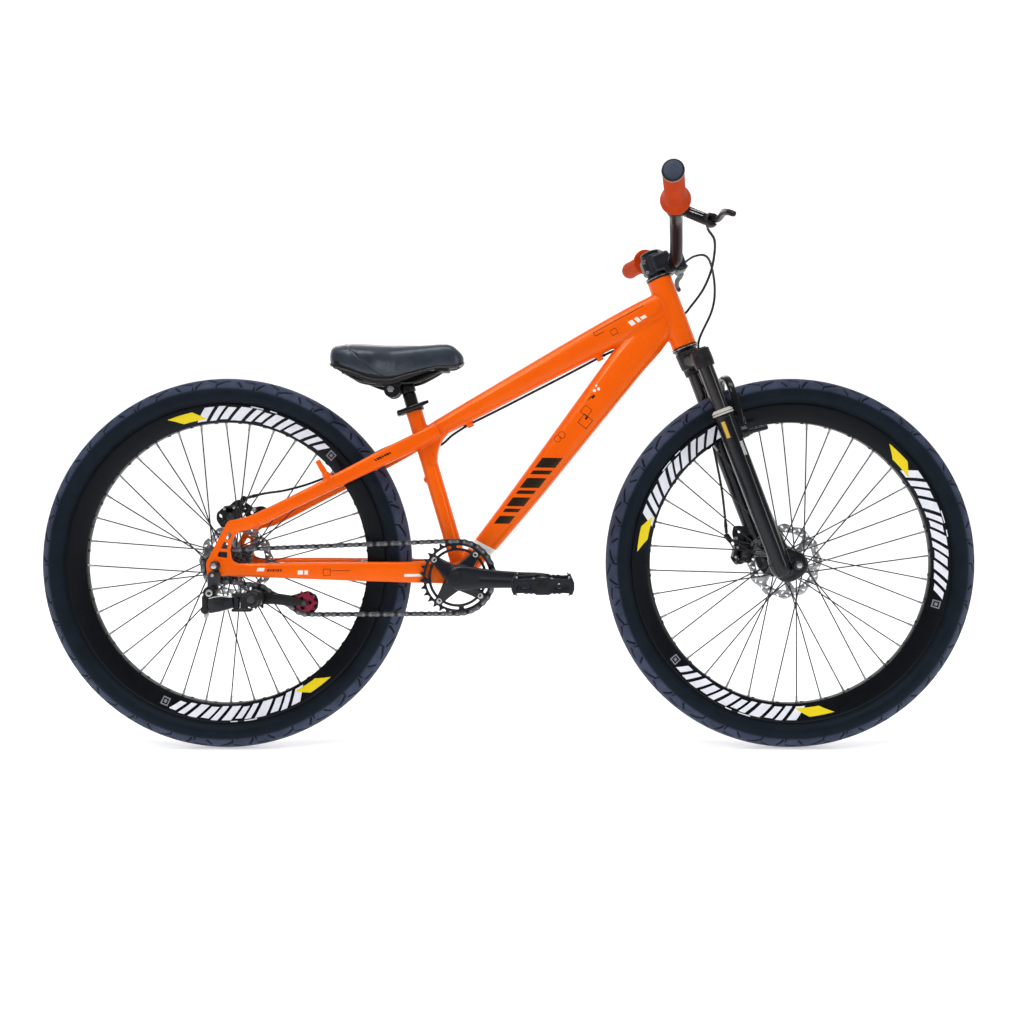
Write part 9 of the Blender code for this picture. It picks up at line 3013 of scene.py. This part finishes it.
# ---------------------------------------------------------------- floor, light and camera
def make_floor():
    n = Nodes("floor_paper")
    broad = n.noise(0.7, 3.0, 0.5)
    fibre = n.noise(600.0, 4.0, 0.6)
    n.set(
        Base_Color=n.mix(n.span(broad, 0.3, 0.7), srgb(250, 250, 250), srgb(254, 254, 254)),
        Roughness=n.span(fibre, 0.3, 0.7, 0.82, 0.92),
        Specular_IOR_Level=0.1,
        Emission_Color=n.mix(n.span(broad, 0.3, 0.7), srgb(250, 250, 251), srgb(254, 254, 255)),
        Emission_Strength=n.span(n.xyz()[1], -1.9, -1.0, 0.0, 0.45, smooth=True),
        Normal=n.bump(fibre, 0.03, 0.0002),
    )
    return n.mat


def floor():
    """A wide sheet that turns up behind the bike in one long curve."""
    rows = [(-40.0, 0.0), (-25.0, 0.0), (-15.0, 0.0), (-10.0, 0.0)]
    for k in range(41):
        y = -7.0 + k * 0.25
        rows.append((y, 0.0))
    radius = 2.2
    y0 = rows[-1][0]
    for k in range(1, 25):
        a = math.pi / 2 * k / 24
        rows.append((y0 + radius * math.sin(a), radius * (1 - math.cos(a))))
    rows.append((y0 + radius, 7.0))
    xs = [-30.0, -20.0, -14.0] + [-9.0 + 0.75 * i for i in range(25)] + [14.0, 20.0, 30.0]
    verts = [(x, y, z - 0.0004) for y, z in rows for x in xs]
    faces = []
    w = len(xs)
    for r in range(len(rows) - 1):
        for i in range(w - 1):
            a = r * w + i
            faces.append([a, a + 1, a + w + 1, a + w])
    obj = raw(verts, faces, make_floor(), sharp=60)
    obj.name = "studio_floor"
    obj.data.name = "studio_floor"
    return obj


floor()
world = bpy.data.worlds.new("studio")
bpy.context.scene.world = world
world.use_nodes = True
tree = world.node_tree
back = tree.nodes["Background"]


def world_math(op, a, b=None):
    node = tree.nodes.new("ShaderNodeMath")
    node.operation = op
    for slot, v in zip(node.inputs, (a, b)):
        if v is None:
            continue
        if isinstance(v, (int, float)):
            slot.default_value = v
        else:
            tree.links.new(v, slot)
    return node.outputs[0]


def world_ramp(value, stops):
    node = tree.nodes.new("ShaderNodeValToRGB")
    els = node.color_ramp.elements
    els[0].position, els[0].color = stops[0][0], (stops[0][1],) * 3 + (1,)
    els[1].position, els[1].color = stops[-1][0], (stops[-1][1],) * 3 + (1,)
    for place_at, level in stops[1:-1]:
        el = els.new(place_at)
        el.color = (level,) * 3 + (1,)
    tree.links.new(value, node.inputs[0])
    return node.outputs[0]


# a grey room in front of the bike, with bright paper behind it and a bright ceiling
coord = tree.nodes.new("ShaderNodeTexCoord")
sep = tree.nodes.new("ShaderNodeSeparateXYZ")
tree.links.new(coord.outputs["Generated"], sep.inputs[0])
high = world_ramp(world_math("ADD", world_math("MULTIPLY", sep.outputs[2], 0.5), 0.5), [(0.40, 0.46), (0.60, 0.48), (0.76, 0.62), (0.92, 1.0)])
behind = world_ramp(world_math("ADD", world_math("MULTIPLY", sep.outputs[1], 0.5), 0.5), [(0.45, 0.40), (0.80, 0.62)])
total = world_math("MAXIMUM", high, behind)
tree.links.new(total, back.inputs[0])
back.inputs[1].default_value = 0.55


def softbox(name, spot, aim, wide, tall, power):
    light = bpy.data.lights.new(name, "AREA")
    light.shape = "RECTANGLE"
    light.size = wide
    light.size_y = tall
    light.energy = power
    obj = bpy.data.objects.new(name, light)
    bpy.context.scene.collection.objects.link(obj)
    obj.matrix_world = facing(spot, Vector(spot) - Vector(aim), X)
    return obj


softbox("top_box", (-0.3, -0.9, 3.0), (0.0, 0.0, 0.4), 3.0, 0.8, 38.0)
softbox("key_box", (-1.5, -2.8, 3.1), (0.0, 0.0, 0.4), 1.0, 1.0, 28.0)
softbox("fill_box", (3.0, -2.3, 1.0), (0.2, 0.0, 0.5), 0.5, 1.6, 13.0)
softbox("back_box", (0.0, 3.0, 2.6), (0.0, 0.0, 0.4), 3.0, 1.2, 14.0)

cam_data = bpy.data.cameras.new("camera")
cam_data.sensor_fit = "HORIZONTAL"
cam_data.sensor_width = 36.0
cam_data.lens = 35.71
cam_data.shift_x = -0.0225
cam_data.shift_y = -0.0205
cam_data.clip_start = 0.05
cam_data.clip_end = 60.0
cam = bpy.data.objects.new("camera", cam_data)
bpy.context.scene.collection.objects.link(cam)
cam.location = (0.0477, -1.85, 0.4656)
cam.rotation_euler = (math.pi / 2, 0.0, 0.0)
bpy.context.scene.camera = cam
bpy.context.scene.view_settings.view_transform = "Standard"
bpy.context.scene.view_settings.look = "None"
bpy.context.scene.view_settings.exposure = 0.0
bpy.context.scene.view_settings.gamma = 1.0

bpy.context.view_layer.update()
